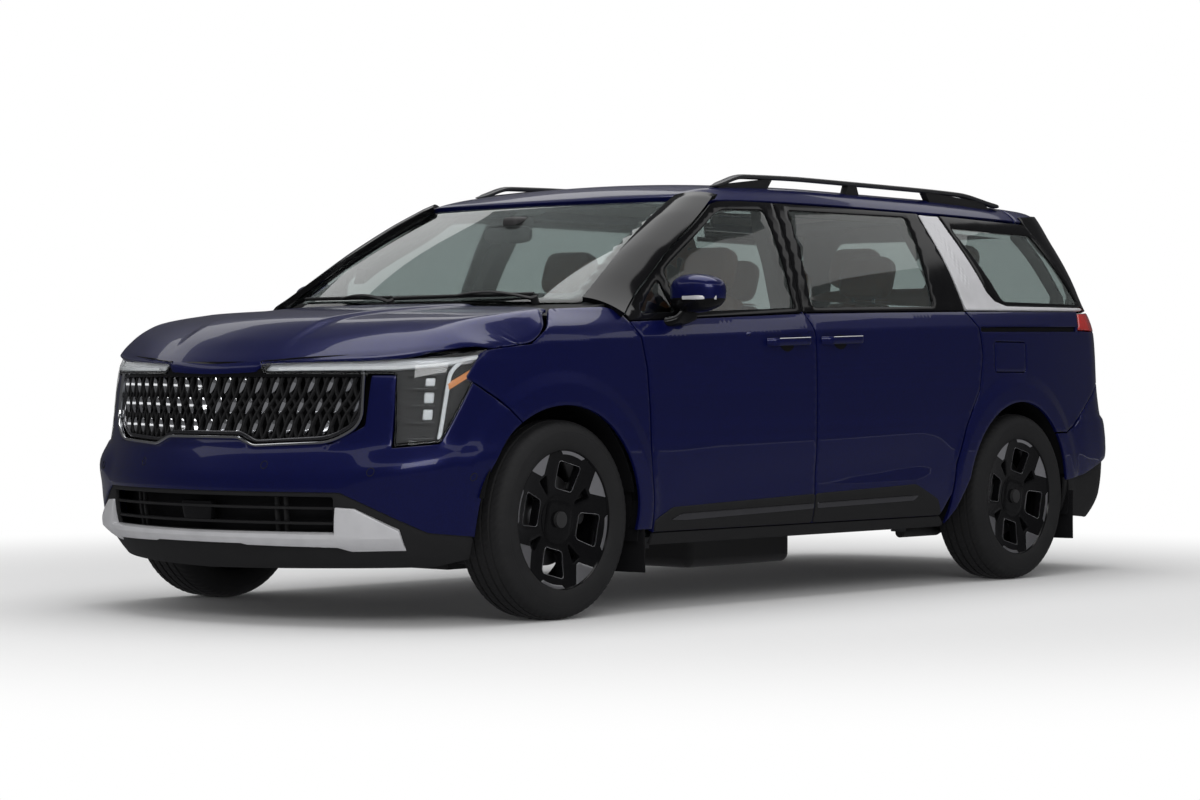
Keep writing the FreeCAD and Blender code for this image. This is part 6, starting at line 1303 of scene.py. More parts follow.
def projector(low, high):
    """A lens that fills the outer part of a cell, 10 mm clear of its shelves."""
    low, high = low + 0.010, high - 0.010
    outline = soften(around([(45.3, high), (45.3, low), (51.0, low), (51.0, high)]), 0.008)
    return panel(on_nose(0.016), outline, thickness=0.012, roll=0.007, step=0.015)


shelf_heights = (0.665, 0.722, 0.782, 0.842, 0.893)
shelves = merged([shelf(z) for z in shelf_heights])
pair("lamp_shelves", shelves, piano_black, SHELL, "black_plastic")
lenses = merged([projector(*cell) for cell in zip(shelf_heights[1:-1], shelf_heights[2:])])
pair("lamp_projectors", lenses, lamp_white, SHELL, "lamp_clear")

# %% Parking sensors
SENSOR_RADIUS = 0.0135


def sensor_rim(angle, z):
    """The thin ring round one sensor, laid on the bumper's skin."""
    t = np.linspace(0, 2 * math.pi, 24, endpoint=False)
    centre = np.array([float(nose.s_of_angle(angle)), z])
    uv = centre + SENSOR_RADIUS * np.stack([np.cos(t), np.sin(t)], 1)
    normal = surface_normal(on_nose(0), uv)
    path = nose.skin(*uv.T) + ledge(uv)[:, None] * normal
    return sweep(path, round_profile(0.0026, 0.0026, 2, 6), normal, close=True)


sensors = merged([sensor_rim(*place) for place in ((13.5, 0.572), (31, 0.548), (79, 0.532))])
pair("sensor_rims", sensors, matte_black, SHELL, "black_plastic")
print("front end done")


# %% [markdown]
# ## Rear end
# The tail surface works as the nose does. The photo shows only its left corner, so the rest
# follows what the corner promises: the lamp's thin strip runs on across the lid, and the black
# lower part of the bumper rises towards the middle.

# %% Rear bumper
def tail_at(points):
    """Y and height pairs on the left side as distance along the tail's plan and height."""
    return np.array([(tail.s_of_y(y, z), z) for y, z in points])


def tail_x(points):
    """Half width and height pairs as distance along the tail's plan and height."""
    return np.array([(tail.s_of_x(x, z), z) for x, z in points])


def on_tail(inset):
    return lambda s, z: tail.skin(s, z, inset)


def tail_panel(half, inset=0.0, holes=(), **more):
    """A panel on the tail from its left half."""
    return panel(on_tail(inset), soften(whole(half), 0.012), holes, outward=-1, **more)


def arch_on_tail(start, end):
    return tail_at(arch(REAR_AXLE, start, end, count=14))


rear_seam = tail_at([(2.334, 0.874), (2.2345, 0.8555), (1.9495, 0.6665), (1.8700, 0.6425)])
rear_half = np.concatenate([
    tail_x([(0.0001, 0.702), (0.842, 0.702), (0.850, 0.874)]), rear_seam, arch_on_tail(41.5, 9.0),
    tail_at([(2.05, 0.450), (2.30, 0.520)]), tail_x([(0.86, 0.585), (0.0001, 0.600)])])


def rear_ledge(uv):
    """A shelf that stands out along the top of the bumper's corner."""
    s, z = np.abs(uv[:, 0]), uv[:, 1]
    return 0.012 * ramp(0.55, 0.85, s) * (1 - ramp(1.20, 1.45, s)) * (1 - ramp(0.690, 0.725, z))


rear_skin = tail_panel(rear_half, thickness=0.012, step=0.024, relief=rear_ledge)
piece("rear_bumper_skin", *rear_skin, blue, "body_shell", "blue_paint", ("rear_bumper",))
rear_low_half = np.concatenate([
    tail_x([(0.0001, 0.608), (0.86, 0.593)]), tail_at([(2.30, 0.528), (2.05, 0.458)]),
    arch_on_tail(10.5, -8.0), tail_at([(1.90, 0.270), (2.20, 0.252)]),
    tail_x([(0.80, 0.238), (0.0001, 0.232)])])
rear_low = tail_panel(rear_low_half, 0.007, thickness=0.014, step=0.028)
piece("rear_lower_skin", *rear_low, matte_black, "body_shell", "black_plastic")
rear_skid = tail_panel(tail_x([(0.0001, 0.352), (0.50, 0.352), (0.56, 0.318), (0.545, 0.262),
                               (0.0001, 0.258)]), -0.004, thickness=0.010, roll=0.003)
piece("rear_skid_plate", *rear_skid, satin_silver, "body_shell", "silver_trim")
reflector_outline = soften(tail_x([(0.62, 0.505), (0.80, 0.512), (0.79, 0.478), (0.64, 0.474)]),
                           0.008)
reflector = panel(on_tail(-0.001), reflector_outline, thickness=0.012, roll=0.003, outward=-1)
pair("reflector", reflector, lamp_red, SHELL, "lamp_red")
rear_backing_half = np.concatenate([tail_x([(0.0001, 0.70), (0.80, 0.70)]),
                                    tail_at([(2.10, 0.60), (2.05, 0.29)]), tail_x([(0.0001, 0.26)])])
rear_backing = tail_panel(rear_backing_half, 0.075, thickness=0.006, step=0.05)
piece("tail_backing", *rear_backing, soft_black, "body_shell", "black_plastic")

# %% Tailgate skin, window and spoiler
gate_half = tail_x([(0.0001, 0.7125), (0.828, 0.7125), (0.838, 0.870), (0.838, 1.196),
                    (0.0001, 1.196)])


def tail_field(x_low, z_low, x_high, z_high, radius):
    """An outline across the middle of the tail, from its half widths below and above."""
    return soften(tail_x([(-x_high, z_high), (-x_low, z_low), (x_low, z_low), (x_high, z_high)]),
                  radius)




def gate_form(uv):
    """Below the fold under the lamp strip the skin lies 10 mm further in."""
    return -0.010 * (1 - ramp(0.985, 1.02, uv[:, 1]))


plate_hole = tail_field(0.285, 0.795, 0.30, 0.955, 0.02)
strip_hole = soften(tail_x([(-0.838, 1.128), (-0.838, 1.158), (0.838, 1.158), (0.838, 1.128)]),
                    0.001)
gate_skin = tail_panel(gate_half, 0, [plate_hole, strip_hole], thickness=0.014, step=0.026,
                       relief=gate_form)
piece("tailgate_skin", *gate_skin, blue, "tailgate_body", "blue_paint", ("tailgate",))
plate_bed = panel(on_tail(0.030), tail_field(0.31, 0.785, 0.31, 0.965, 0.02), thickness=0.006,
                  roll=0.001, outward=-1, step=0.03)
piece("plate_bed", *plate_bed, matte_black, "tailgate_body", "black_plastic")
bar_outline = soften(tail_x([(-0.8375, 1.130), (-0.8375, 1.156), (0.8375, 1.156),
                             (0.8375, 1.130)]), 0.004)
gate_bar = panel(on_tail(0.006), bar_outline, thickness=0.016, roll=0.004, outward=-1, step=0.02)
piece("gate_lamp_bar", *gate_bar, lamp_red, "tailgate_body", "lamp_red")

gate_sides = tail_at([(2.128, 1.221), (1.936, 1.552), (1.893, 1.632)])
frame_half_rear = np.concatenate([tail_x([(0.0001, 1.203), (0.845, 1.203)]), gate_sides,
                                  tail_x([(0.55, 1.655), (0.0001, 1.662)])])
view_hole = soften(tail_x([(-0.700, 1.255), (0.700, 1.255), (0.590, 1.565), (-0.590, 1.565)]), 0.045)
gate_frame = tail_panel(frame_half_rear, 0, [view_hole], thickness=0.020, roll=0.003, step=0.03)
piece("tailgate_frame", *gate_frame, piano_black, "tailgate_body", "black_plastic")
pane_outline = soften(tail_x([(-0.712, 1.246), (0.712, 1.246), (0.600, 1.574), (-0.600, 1.574)]),
                      0.045)
gate_pane = panel(on_tail(0.004), pane_outline, thickness=0.004, roll=0.0008, outward=-1, step=0.05)
piece("tailgate_pane", *gate_pane, side_glass, "tailgate_body", "tinted_glass", ("tailgate_glass",), 60)
piece("spoiler_skin", *spoiler, blue, "tailgate_body", "blue_paint", (), 40)
edge_y = float(along(1.290)) - 0.004
s_line = np.linspace(-0.24, 0.24, 13)
stop_path = np.stack([s_line, edge_y - 0.03 * s_line ** 2, 0 * s_line
                      + float(roof_height(np.array(0.0), np.array(edge_y))) - 0.014], 1)
stop_lamp = sweep(stop_path, round_profile(0.008, 0.012, 4, 10), (0, 0, 1))
piece("stop_lamp", *stop_lamp, lamp_red, "tailgate_body", "lamp_red")
wiper_root = tail.skin(np.array([0.0]), np.array([1.225]), -0.02)[0]
wiper_tip = tail.skin(np.array([0.30]), np.array([1.262]), -0.012)[0]
run = np.linspace(0, 1, 20)
rear_arm = wiper_root + (wiper_tip - wiper_root) * run[:, None]
rear_spindle = [wiper_root + (0, 0.012 * k, 0) for k in (-2, 1)]
rear_blade = tail.skin(np.linspace(-0.04, 0.36, 20), 1.235 + 0.03 * run, -0.004)
rear_wiper = merged([sweep(rear_arm, round_profile(0.014, 0.010, 3, 10), (0, 1, 0)),
                     sweep(rear_spindle, round_profile(0.034, 0.034, 2, 16), (0, 0, 1)),
                     sweep(rear_blade, round_profile(0.010, 0.014, 3, 10), (0, 1, 0))])
piece("rear_wiper", *rear_wiper, matte_black, "tailgate_body", "black_rubber")

# %% Tail lamps
lamp_half = np.concatenate([tail_x([(0.8445, 1.196)]), tail_at([(2.1450, 1.190), (2.0720, 1.1885),
                            (2.0300, 1.112), (2.2000, 1.110), (2.3060, 1.105), (2.3350, 0.8840)]),
                            tail_x([(0.8550, 0.8840), (0.8445, 1.00)])])
tail_lens = panel(on_tail(-0.001), soften(lamp_half, 0.008), thickness=0.030, roll=0.006,
                  outward=-1, step=0.02)
pair("tail_lens", tail_lens, lamp_red, SHELL, "lamp_red", (("tail_lamps",), ()))
print("rear end done")


# %% [markdown]
# ## Wheels
# Each wheel is made once, at the left, about an axle through Y = 0, and then moved to its place.
# The right side takes the same arrays turned half round the vertical, so its spokes lean the same
# way against the direction of travel as on a real vehicle with one kind of rim.

# %% Turning and polar helpers
def turned(profile, count, shape=None):
    """A closed profile of axial offset and radius carried round the axle. shape may change the
    radius by angle, so a tread pattern can be cut in."""
    profile = np.asarray(profile, float)
    turn = np.linspace(0, 2 * math.pi, count, endpoint=False)[:, None]
    a, r = np.broadcast_arrays(profile[None, :, 0], profile[None, :, 1] + 0 * turn)
    if shape is not None:
        r = r - shape(turn, a, r)
    points = np.stack([WHEEL_X + a, r * np.cos(turn), AXLE_HEIGHT + r * np.sin(turn)], -1)
    return points.reshape(-1, 3), grid_faces(count, len(profile), True, True)


def polar(radius, degrees):
    t = np.radians(degrees)
    return np.stack([radius * np.cos(t), radius * np.sin(t)], -1)


def spoked(corners, degrees):
    """Corners given as radius and sideways distance, turned to an angle."""
    t = math.radians(degrees)
    r, side = np.array(corners, float).T
    return np.stack([r * math.cos(t) - side * math.sin(t), r * math.sin(t) + side * math.cos(t)], -1)


# %% Tyre
GROOVES = (-0.058, -0.021, 0.021, 0.058)


def tread(turn, a, r):
    """Four grooves run round the tread; fine slanting cuts cross its shoulders and ribs."""
    groove = sum(1 - ramp(0.0032, 0.0052, np.abs(a - g)) for g in GROOVES) * 0.0068
    crown = ramp(0.345, 0.352, r)
    cut = np.abs(((turn * 72 / (2 * math.pi) + np.abs(a) * 26) % 1) - 0.5)
    shoulder = ramp(0.062, 0.068, np.abs(a)) * (1 - ramp(0.100, 0.106, np.abs(a)))
    ribs = (1 - ramp(0.060, 0.064, np.abs(a))) * 0.55
    return crown * np.maximum(groove, 0.0032 * (1 - ramp(0.10, 0.17, cut)) * (shoulder + ribs))


side_profile = np.array([
    (0.096, 0.2535), (0.1015, 0.2565), (0.1065, 0.262), (0.1085, 0.266), (0.1105, 0.2685),
    (0.1140, 0.280), (0.1165, 0.292), (0.1175, 0.304), (0.1170, 0.314), (0.1160, 0.319),
    (0.1166, 0.3205), (0.1150, 0.326), (0.1120, 0.334), (0.1075, 0.343), (0.1010, 0.3515),
    (0.0940, 0.3572), (0.0860, 0.3608), (0.0770, 0.3630), (0.0680, 0.3642)])
across_tread = np.linspace(-0.0650, 0.0650, 61)
crown_profile = np.stack([across_tread, 0.3660 - 0.0016 * (across_tread / 0.066) ** 2], 1)
inner_side = side_profile * (-1, 1)
inside = np.array([(0.085, 0.2535), (0.0, 0.262), (-0.085, 0.2535)])
tyre_profile = np.concatenate([inner_side, crown_profile, side_profile[::-1], inside])
tyre = turned(tyre_profile, 360, tread)

# %% Rim
def rim_face(u, v):
    """The wheel's face is a shallow bowl: its hub lies 30 mm further in than its edge."""
    r = np.hypot(u, v)
    return np.stack([WHEEL_X + 0.064 + 0.030 * (r / 0.25) ** 2, u, v + AXLE_HEIGHT], -1)


WINDOW_TURN, WEDGE_TURN = -13.4, 30.5
windows = [soften(spoked([(0.112, -0.047), (0.207, -0.060), (0.207, 0.060), (0.112, 0.047)],
                         WINDOW_TURN + 90 * k), 0.014) for k in range(4)]
slots = [soften(spoked([(0.112, -0.003), (0.178, -0.021), (0.178, 0.021), (0.112, 0.003)],
                       WEDGE_TURN + 1 + 90 * k), 0.006) for k in range(4)]
disc_outline = polar(0.2555, np.linspace(0, 360, 180, endpoint=False))
face = panel(rim_face, disc_outline, windows + slots, thickness=0.034, roll=0.0055, step=0.010,
             edge_step=0.006)
barrel = turned([(-0.100, 0.2530), (-0.094, 0.2590), (-0.088, 0.2530), (-0.060, 0.2440),
                 (0.030, 0.2440), (0.084, 0.2520), (0.0945, 0.2560), (0.0985, 0.2595),
                 (0.1010, 0.2590), (0.1005, 0.2545), (0.0900, 0.2480), (0.0300, 0.2370),
                 (-0.060, 0.2370), (-0.092, 0.2470)], 128)
hub = turned([(0.020, 0.0450), (0.020, 0.0900), (0.050, 0.0980), (0.070, 0.0900), (0.070, 0.0450)],
             64)


def raised_face(u, v):
    """The wheel's face, 10 mm further out in its middle for the cap."""
    out = 0.010 - 0.004 * (np.hypot(u, v) / 0.1) ** 2
    return rim_face(u, v) + out[..., None] * np.array([1, 0, 0])


cap_outline = soften(polar(0.104, [35.0, 125, 215, 305]), 0.045, 9)
cap = panel(raised_face, cap_outline, thickness=0.020, roll=0.009, step=0.010, edge_step=0.006)


def window_edge_and_highlight(outline):
    """A thin bright metal line round a window: partly a machined edge, partly a painted highlight for the
    light that the chamfered window wall catches.
    """
    loop = turned_left(divided(outline, 0.006))
    path = rim_face(*moved_in(loop, -0.0022).T) - (0.0006, 0, 0)
    return sweep(path, round_profile(0.0016, 0.0042, 4, 8), (1, 0, 0), close=True)


def plate(low_radius, low_reach, low_count, high_reach, high_count, middle, radius):
    """A bright plate 0.8 mm proud of the face, between the rim's edge and a smaller radius. Its
    reach on both is in degrees from its middle."""
    high = polar(0.2548, np.linspace(middle - high_reach, middle + high_reach, high_count))
    low = polar(low_radius, np.linspace(middle + low_reach, middle - low_reach, low_count))
    return panel(lambda u, v: rim_face(u, v) + np.array([0.0008, 0, 0]),
                 soften(np.concatenate([high, low]), radius), thickness=0.004, roll=0.0014,
                 step=0.012, edge_step=0.005)


quarters = [90 * k for k in range(4)]
arcs = [plate(0.2385, 13.0, 18, 16.3, 24, WINDOW_TURN + turn, 0.001) for turn in quarters]
wedges = [plate(0.190, 2.2, 2, 13.5, 20, WEDGE_TURN + turn, 0.002) for turn in quarters]
bright = merged(arcs + wedges)
# Bright metal round the windows: partly machined edges, partly painted highlights of the chamfered window
# walls.
lines = merged([window_edge_and_highlight(w) for w in windows])
black_rim = merged([face, barrel, hub, cap])

# %% Brake disc and caliper
disc = turned([(-0.014, 0.100), (-0.014, 0.168), (-0.010, 0.170), (-0.002, 0.170), (-0.001, 0.166),
               (0.001, 0.166), (0.002, 0.170), (0.010, 0.170), (0.014, 0.168), (0.014, 0.100),
               (0.040, 0.095), (0.046, 0.088), (0.046, 0.040), (0.036, 0.040), (0.034, 0.086),
               (0.004, 0.092)], 96)


def caliper(middle, reach=28):
    """An arch over the disc's edge between two angles, with rounded ends."""
    t = np.radians(np.linspace(middle - reach, middle + reach, 25))
    path = np.stack([0 * t + WHEEL_X + 0.006, 0.160 * np.cos(t), AXLE_HEIGHT + 0.160 * np.sin(t)], 1)
    rounding = 1 - 0.35 * np.abs(np.linspace(-1, 1, 25)) ** 6
    return sweep(path, round_profile(0.058, 0.074, 4, 20), (1, 0, 0), widths=rounding)


# %% Place the four wheels
def moved(points, side, axle):
    """The left wheel's points moved along the vehicle, or turned half round for the right."""
    points = np.asarray(points, float)
    if side == "right":
        points = points * (-1, -1, 1)
    return points + (0, axle, 0)


for end, axle, brake in (("front", FRONT_AXLE, 20), ("rear", REAR_AXLE, 160)):
    for side in ("left", "right"):
        label = end + "_" + side
        body = "wheel_" + label
        for name, (points, faces), material, slot, nodes in (
                ("tyre_cover_", tyre, tyre_rubber, "tyre_rubber", ("tyre_" + label,)),
                ("rim_black_", black_rim, wheel_black, "wheel_alloy", ("rim_" + label,)),
                ("rim_bright_", bright, machined, "wheel_alloy", ()),
                ("rim_lines_and_highlights_", lines, machined, "wheel_alloy", ()),
                ("disc_", disc, steel, "disc_iron", ("brake_disc_" + label,))):
            piece(name + label, moved(points, side, axle), faces, material, body, slot, nodes,
                  30 if name != "disc_" else 40)
        carrier = "knuckle_%s_body" % side if end == "front" else "body_shell"
        turn = brake if side == "left" else 180 - brake
        points, faces = caliper(turn)
        piece("caliper_" + label, moved(points, side, axle), faces, cast, carrier, "chassis_iron")
print("tyre:", len(tyre[0]), "points, rim:", len(black_rim[0]))


# %% Liners in the arches
def arch_liner(axle, start, end, inner=0.655):
    """A dark half barrel over each wheel, with a wall at its inner end."""
    t = np.radians(np.linspace(start, end, 60))[:, None]
    x = np.array([0.958, 0.90, 0.80, inner, inner])[None, :]
    r = np.array([0.428, 0.434, 0.436, 0.436, 0.150])[None, :]
    points = np.stack([x + 0 * t, axle + r * np.cos(t), AXLE_HEIGHT + r * np.sin(t)], -1)
    return shell_grid(points, 0.004, 0.0)


pair("front_liner", arch_liner(FRONT_AXLE, 12, 168, 0.62), soft_black, SHELL, "black_plastic")
pair("rear_liner", arch_liner(REAR_AXLE, 12, 168), soft_black, SHELL, "black_plastic")


# %% [markdown]
# ## Mirrors, handles and rails
# The small pieces on the outside are read against the sky, so their outlines matter more than
# their surface. A mirror head is a soft box that narrows outwards, blue above and black below.

# %% Door mirrors
def soft_box(centre, size, power, rows=40, columns=56, shape=None):
    """A closed box with soft corners, as a grid of longitude and latitude. shape moves points."""
    b = np.linspace(-math.pi / 2, math.pi / 2, rows)[:, None]
    t = np.linspace(-math.pi, math.pi, columns, endpoint=False)[None, :]
    bend = lambda value: np.sign(value) * np.abs(value) ** (2 / power)
    unit = np.stack([bend(np.cos(b)) * bend(np.cos(t)), bend(np.cos(b)) * bend(np.sin(t)),
                     bend(np.sin(b)) + 0 * t], -1)
    if shape is not None:
        unit = shape(unit)
    points = (np.asarray(centre) + unit * np.asarray(size) / 2).reshape(-1, 3)
    return points, flipped(grid_faces(rows, columns, False, True))


MIRROR = np.array([1.031, -0.929, 1.208])


def mirror_shape(unit):
    """Narrower and set back at its outer end, flat towards the rear, higher inside."""
    x, y, z = np.moveaxis(unit, -1, 0)
    narrow = 1 - 0.16 * ramp(-0.2, 1.0, x)
    back = np.where(y > 0, y * 0.80, y * (1 - 0.22 * np.clip(x, 0, 1) ** 2))
    return np.stack([x, back + 0.10 * x * x * (x > 0), z * narrow + 0.05 * x], -1)


points, faces = soft_box(MIRROR, (0.222, 0.146, 0.150), 3.0, 48, 72, mirror_shape)
lower_half = points[np.array(faces)].mean(1)[:, 2] < 1.188
for side, body in zip(("left", "right"), DOORS):
    if side == "right":
        points, faces = mirrored(points), flipped(faces)
    piece("mirror_shell_" + side, points, faces, blue, body, "blue_paint",
          ("mirror_" + side,), 50, (piano_black, lower_half))
mirror_finish = finish("mirror_silver", (0.80, 0.82, 0.83), 0.03, metal=1.0, uneven=0.01)


def mirror_back(u, v):
    return np.stack([u, MIRROR[1] + 0.0575 + 0 * u, v], -1)


glass_outline = soften([(0.950, 1.152), (1.108, 1.162), (1.112, 1.252), (0.950, 1.262)], 0.025)
mirror_glass = panel(mirror_back, glass_outline, thickness=0.010, roll=0.003, outward=-1, step=0.02)
foot = flank(np.array([-0.994]), np.array([1.096]))[0]
run = np.linspace(0, 1, 16)
t = run[:, None]
stalk_path = ((1 - t) ** 2 * (foot - (0.012, 0, 0)) + 2 * t * (1 - t) * (foot + (0.035, 0.01, 0.004))
              + t * t * (MIRROR + (-0.045, 0.004, -0.062)))
stalk = sweep(stalk_path, round_profile(0.034, 0.078, 3, 18), (0, 1, 0),
              widths=1.25 - 0.35 * np.sin(run * math.pi))
x = np.linspace(1.010, 1.136, 24)
blinker_path = np.stack([x, -0.9990 + 0.050 * ramp(1.07, 1.145, x), np.full(24, 1.190)], 1)
blinker = sweep(blinker_path, round_profile(0.009, 0.016, 3, 8), (0, 0, 1))
pair("mirror_glass", mirror_glass, mirror_finish, DOORS, "silver_trim")
pair("mirror_stalk", stalk, piano_black, DOORS, "black_plastic")
pair("mirror_blinker", blinker, satin_silver, DOORS, "silver_trim")


# %% Door handles
def handle(start, end, height_start, height_end):
    """A grip that stands clear of the door and turns in to it at both ends."""
    t = np.linspace(0, 1, 40)
    y = start + (end - start) * t
    z = height_start + (height_end - height_start) * t
    stand = 0.034 * (ramp(0, 0.10, t) * (1 - ramp(0.90, 1.0, t))) ** 0.7 - 0.002
    path = flank(y, z) + np.stack([stand, 0 * t, 0 * t], 1)
    bar = sweep(path, round_profile(0.032, 0.016, 2.6, 16), (1, 0, 0))
    top = path[4:-4] + (0.0055, 0, 0.0135)
    return bar, sweep(top, round_profile(0.004, 0.007, 3, 8), (1, 0, 0))


def painted_cup_shade(y, z):
    """A flat dark oval behind the grip: painted shade standing for the hollow there."""
    t = np.linspace(0, 2 * math.pi, 40, endpoint=False)
    return panel(set_in(flank, -0.0008), np.stack([y + 0.046 * np.cos(t), z + 0.030 * np.sin(t)], 1),
                 thickness=0.003, roll=0.0008, step=0.012, edge_step=0.008)


front_handle, front_edge = handle(-0.420, -0.158, 1.028, 1.037)
rear_handle, rear_edge = handle(-0.052, 0.205, 1.039, 1.047)
pair("front_handle", front_handle, blue, DOORS, "blue_paint")
pair("rear_handle", rear_handle, blue, SHELL, "blue_paint")
pair("front_handle_strip", front_edge, chrome, DOORS, "silver_trim")
pair("rear_handle_strip", rear_edge, chrome, SHELL, "silver_trim")
# The dark ovals behind the grips are painted shade for the hollows behind them.
pair("front_cup_shade", painted_cup_shade(-0.290, 1.022), soft_black, DOORS, "black_plastic")
pair("rear_cup_shade", painted_cup_shade(0.076, 1.034), soft_black, SHELL, "black_plastic")

# %% Roof rails
y = np.linspace(-0.355, 1.795, 90)
rail_x = 0.640
roof_line = roof_height(np.full_like(y, rail_x), y)
climb = ramp(-0.355, -0.150, y) * (1 - ramp(1.45, 1.80, y) * 0.75)
rail_z = np.minimum(roof_line + 0.006 + (0.042 - 0.006) * climb, 1.7295)
rail_path = np.stack([np.full_like(y, rail_x), y, rail_z], 1)
rail = sweep(rail_path, round_profile(0.040, 0.020, 3.0, 18), (0, 0, 1),
             widths=np.clip(ramp(-0.37, -0.30, y) * (1 - ramp(1.76, 1.81, y)), 0.25, 1))


def rail_foot(start, end, lean_front, lean_rear):
    """A post between roof and bar whose ends lean."""
    y = np.array([start, end, end + lean_rear, start + lean_front])
    ground = roof_height(np.full(4, rail_x), y) - 0.010
    z = np.array([*ground[:2], *(np.interp(y[2:], rail_path[:, 1], rail_z) - 0.004)])
    points = np.concatenate([np.stack([np.full(4, rail_x + w), y, z], 1) for w in (-0.016, 0.016)])
    round_it = [[k, (k + 1) % 4, (k + 1) % 4 + 4, k + 4] for k in range(4)]
    return points, [[3, 2, 1, 0], [4, 5, 6, 7]] + round_it


feet = merged([rail_foot(-0.345, 0.005, 0.06, 0.04), rail_foot(0.565, 0.665, 0.02, -0.02),
               rail_foot(1.21, 1.70, -0.04, -0.06)])
rail_finish = finish("rail_satin", (0.070, 0.071, 0.074), 0.34, metal=0.7, scale=1800,
                     depth=0.00003)
piece("rail_bars", *both_sides(rail), rail_finish, "body_shell", "silver_trim", ("roof_rails",))
piece("rail_feet", *both_sides(feet), matte_black, "body_shell", "black_plastic", (), 30)


# %% Mud flaps and deflectors
def flap_shape(y, top, bottom, lean):
    """A thin curved flap across the tyre's width."""
    u = np.linspace(-1, 1, 12)[:, None]
    v = np.linspace(0, 1, 10)[None, :]
    x = 0.868 + 0.106 * u * (1 - 0.12 * v)
    z = top + (bottom - top) * v + 0 * u
    place = y + lean * v ** 1.5 + 0.010 * u * u
    return shell_grid(np.stack([x, place + 0 * z, z], -1)[::-1], 0.010, 0.002)


flaps = merged([flap_shape(-1.196, 0.420, 0.150, 0.020), flap_shape(1.893, 0.380, 0.160, 0.020)])
piece("flap_covers", *both_sides(flaps), soft_black, "body_shell", "black_rubber", ("mud_flaps",))

# %% [markdown]
# ## Cabin
# The cabin is seen through tinted glass, and what shows is leather: the backs and headrests of
# three rows. Each cushion is a soft form swept across its width. Its cross-section is a rounded
# pad, thicker in the middle, and sewn channels run over it; the side bolsters stand proud.

# %% Seats
def pad(centre, width, depth, height, tilt, channels, bolster=0.0, crown=0.12):
    """A cushion: width across, depth and height of its cross-section, tilted back by degrees."""
    x = np.linspace(-1, 1, 61)[:, None]
    t = np.linspace(0, 2 * math.pi, 44, endpoint=False)[None, :]
    end = np.sqrt(np.clip(1 - np.abs(x) ** 7, 0, 1)) * 0.94 + 0.06
    end[[0, -1]] = 0.12
    c, s = np.cos(t), np.sin(t)
    v = np.sign(c) * np.abs(c) ** 0.45
    w = np.sign(s) * np.abs(s) ** 0.55
    grow = 1 + crown * (1 - v ** 2) * (1 - 0.5 * x ** 2) * (w > 0)
    raised = bolster * ramp(0.62, 0.86, np.abs(x)) * (w > 0) * (1 - 0.3 * v ** 2)
    sewn = np.abs(((v * 0.5 + 0.5) * channels) % 1 - 0.5)
    lane = (np.abs(x) < 0.66) * (w > 0.2) * (np.abs(v) < 0.93)
    groove = -0.10 * (1 - ramp(0.0, 0.16, 0.5 - sewn)) * lane
    p = v * depth / 2 * end
    q = w * height / 2 * end * (grow + raised + groove)
    a = math.radians(tilt)
    y = p * math.cos(a) - q * math.sin(a)
    z = p * math.sin(a) + q * math.cos(a)
    points = np.stack([x * width / 2 + 0 * p, y, z], -1) + np.asarray(centre)
    n, m = points.shape[:2]
    faces = grid_faces(n, m, False, True) + [list(range(m))[::-1], list(range((n - 1) * m, n * m))]
    return points.reshape(-1, 3), flipped(faces)


def seat(x, y, z, width, back_height, heads, tilt=18.0):
    """One seat: cushion, back and headrests. y and z are the cushion's front and underside."""
    cushion = pad((x, y + 0.262, z + 0.072), width, 0.520, 0.120, 4, 5, 0.35)
    lean = math.radians(tilt)
    foot = np.array([x, y + 0.470, z + 0.100])
    up = np.array([0, math.sin(lean), math.cos(lean)])
    back = pad(foot + up * back_height / 2, width, back_height, 0.105, 90 - tilt, 6, 0.45)
    parts = [cushion, back]
    rods = []
    for shift in heads:
        head = foot + up * (back_height + 0.115) + (shift, -0.012, 0)
        parts.append(pad(head, 0.268, 0.190, 0.095, 90 - tilt, 1, 0.0, 0.15))
        rods += [sweep([head + up * h + (s * 0.055, 0, 0) for h in (-0.16, -0.04)],
                       round_profile(0.014, 0.014, 2, 10), (1, 0, 0)) for s in (-1, 1)]
    return parts, rods


SEAT_X, FRONT_SEAT_Y, SECOND_SEAT_Y = 0.380, -0.747, 0.412
rows = (("front_row", [(x, FRONT_SEAT_Y, 0.460, 0.510, 0.700, (0,)) for x in (SEAT_X, -SEAT_X)],
         ("front_seats",)),
        ("second_row", [(x, SECOND_SEAT_Y, 0.460, 0.510, 0.700, (0,)) for x in (SEAT_X, -SEAT_X)],
         ("second_seats",)),
        ("third_row", [(0.0, 1.308, 0.715, 1.180, 0.520, (-0.28, 0.28))], ("third_seat",)))
for label, seats, nodes in rows:
    parts, rods = [], []
    for values in seats:
        p, r = seat(*values)
        parts, rods = parts + p, rods + r
    cushions = piece(label + "_cushions", *merged(parts), leather, "body_shell", "brown_leather",
                     nodes, 50)
    piece(label + "_rods", *merged(rods), chrome, "body_shell", "silver_trim")
plinths = merged([soft_box((x, y + 0.26, 0.405), (0.42, 0.44, 0.13), 5, 16, 24)
                  for x in (-SEAT_X, SEAT_X) for y in (FRONT_SEAT_Y, SECOND_SEAT_Y)])
piece("seat_plinths", *plinths, cabin_dark, "body_shell", "black_plastic")

# %% Steering wheel
centre, lean = np.array([SEAT_X, -0.7315, 1.0179]), math.radians(28)
axis = np.array([0, math.cos(lean), math.sin(lean)])
wheel_high = np.array([0, -math.sin(lean), math.cos(lean)])
t = np.linspace(0, 2 * math.pi, 72, endpoint=False)[:, None]
ring_path = centre + 0.186 * (np.cos(t) * np.array([1, 0, 0]) + np.sin(t) * wheel_high)
wheel_rim = sweep(ring_path, round_profile(0.030, 0.030, 2.4, 16), axis, close=True)


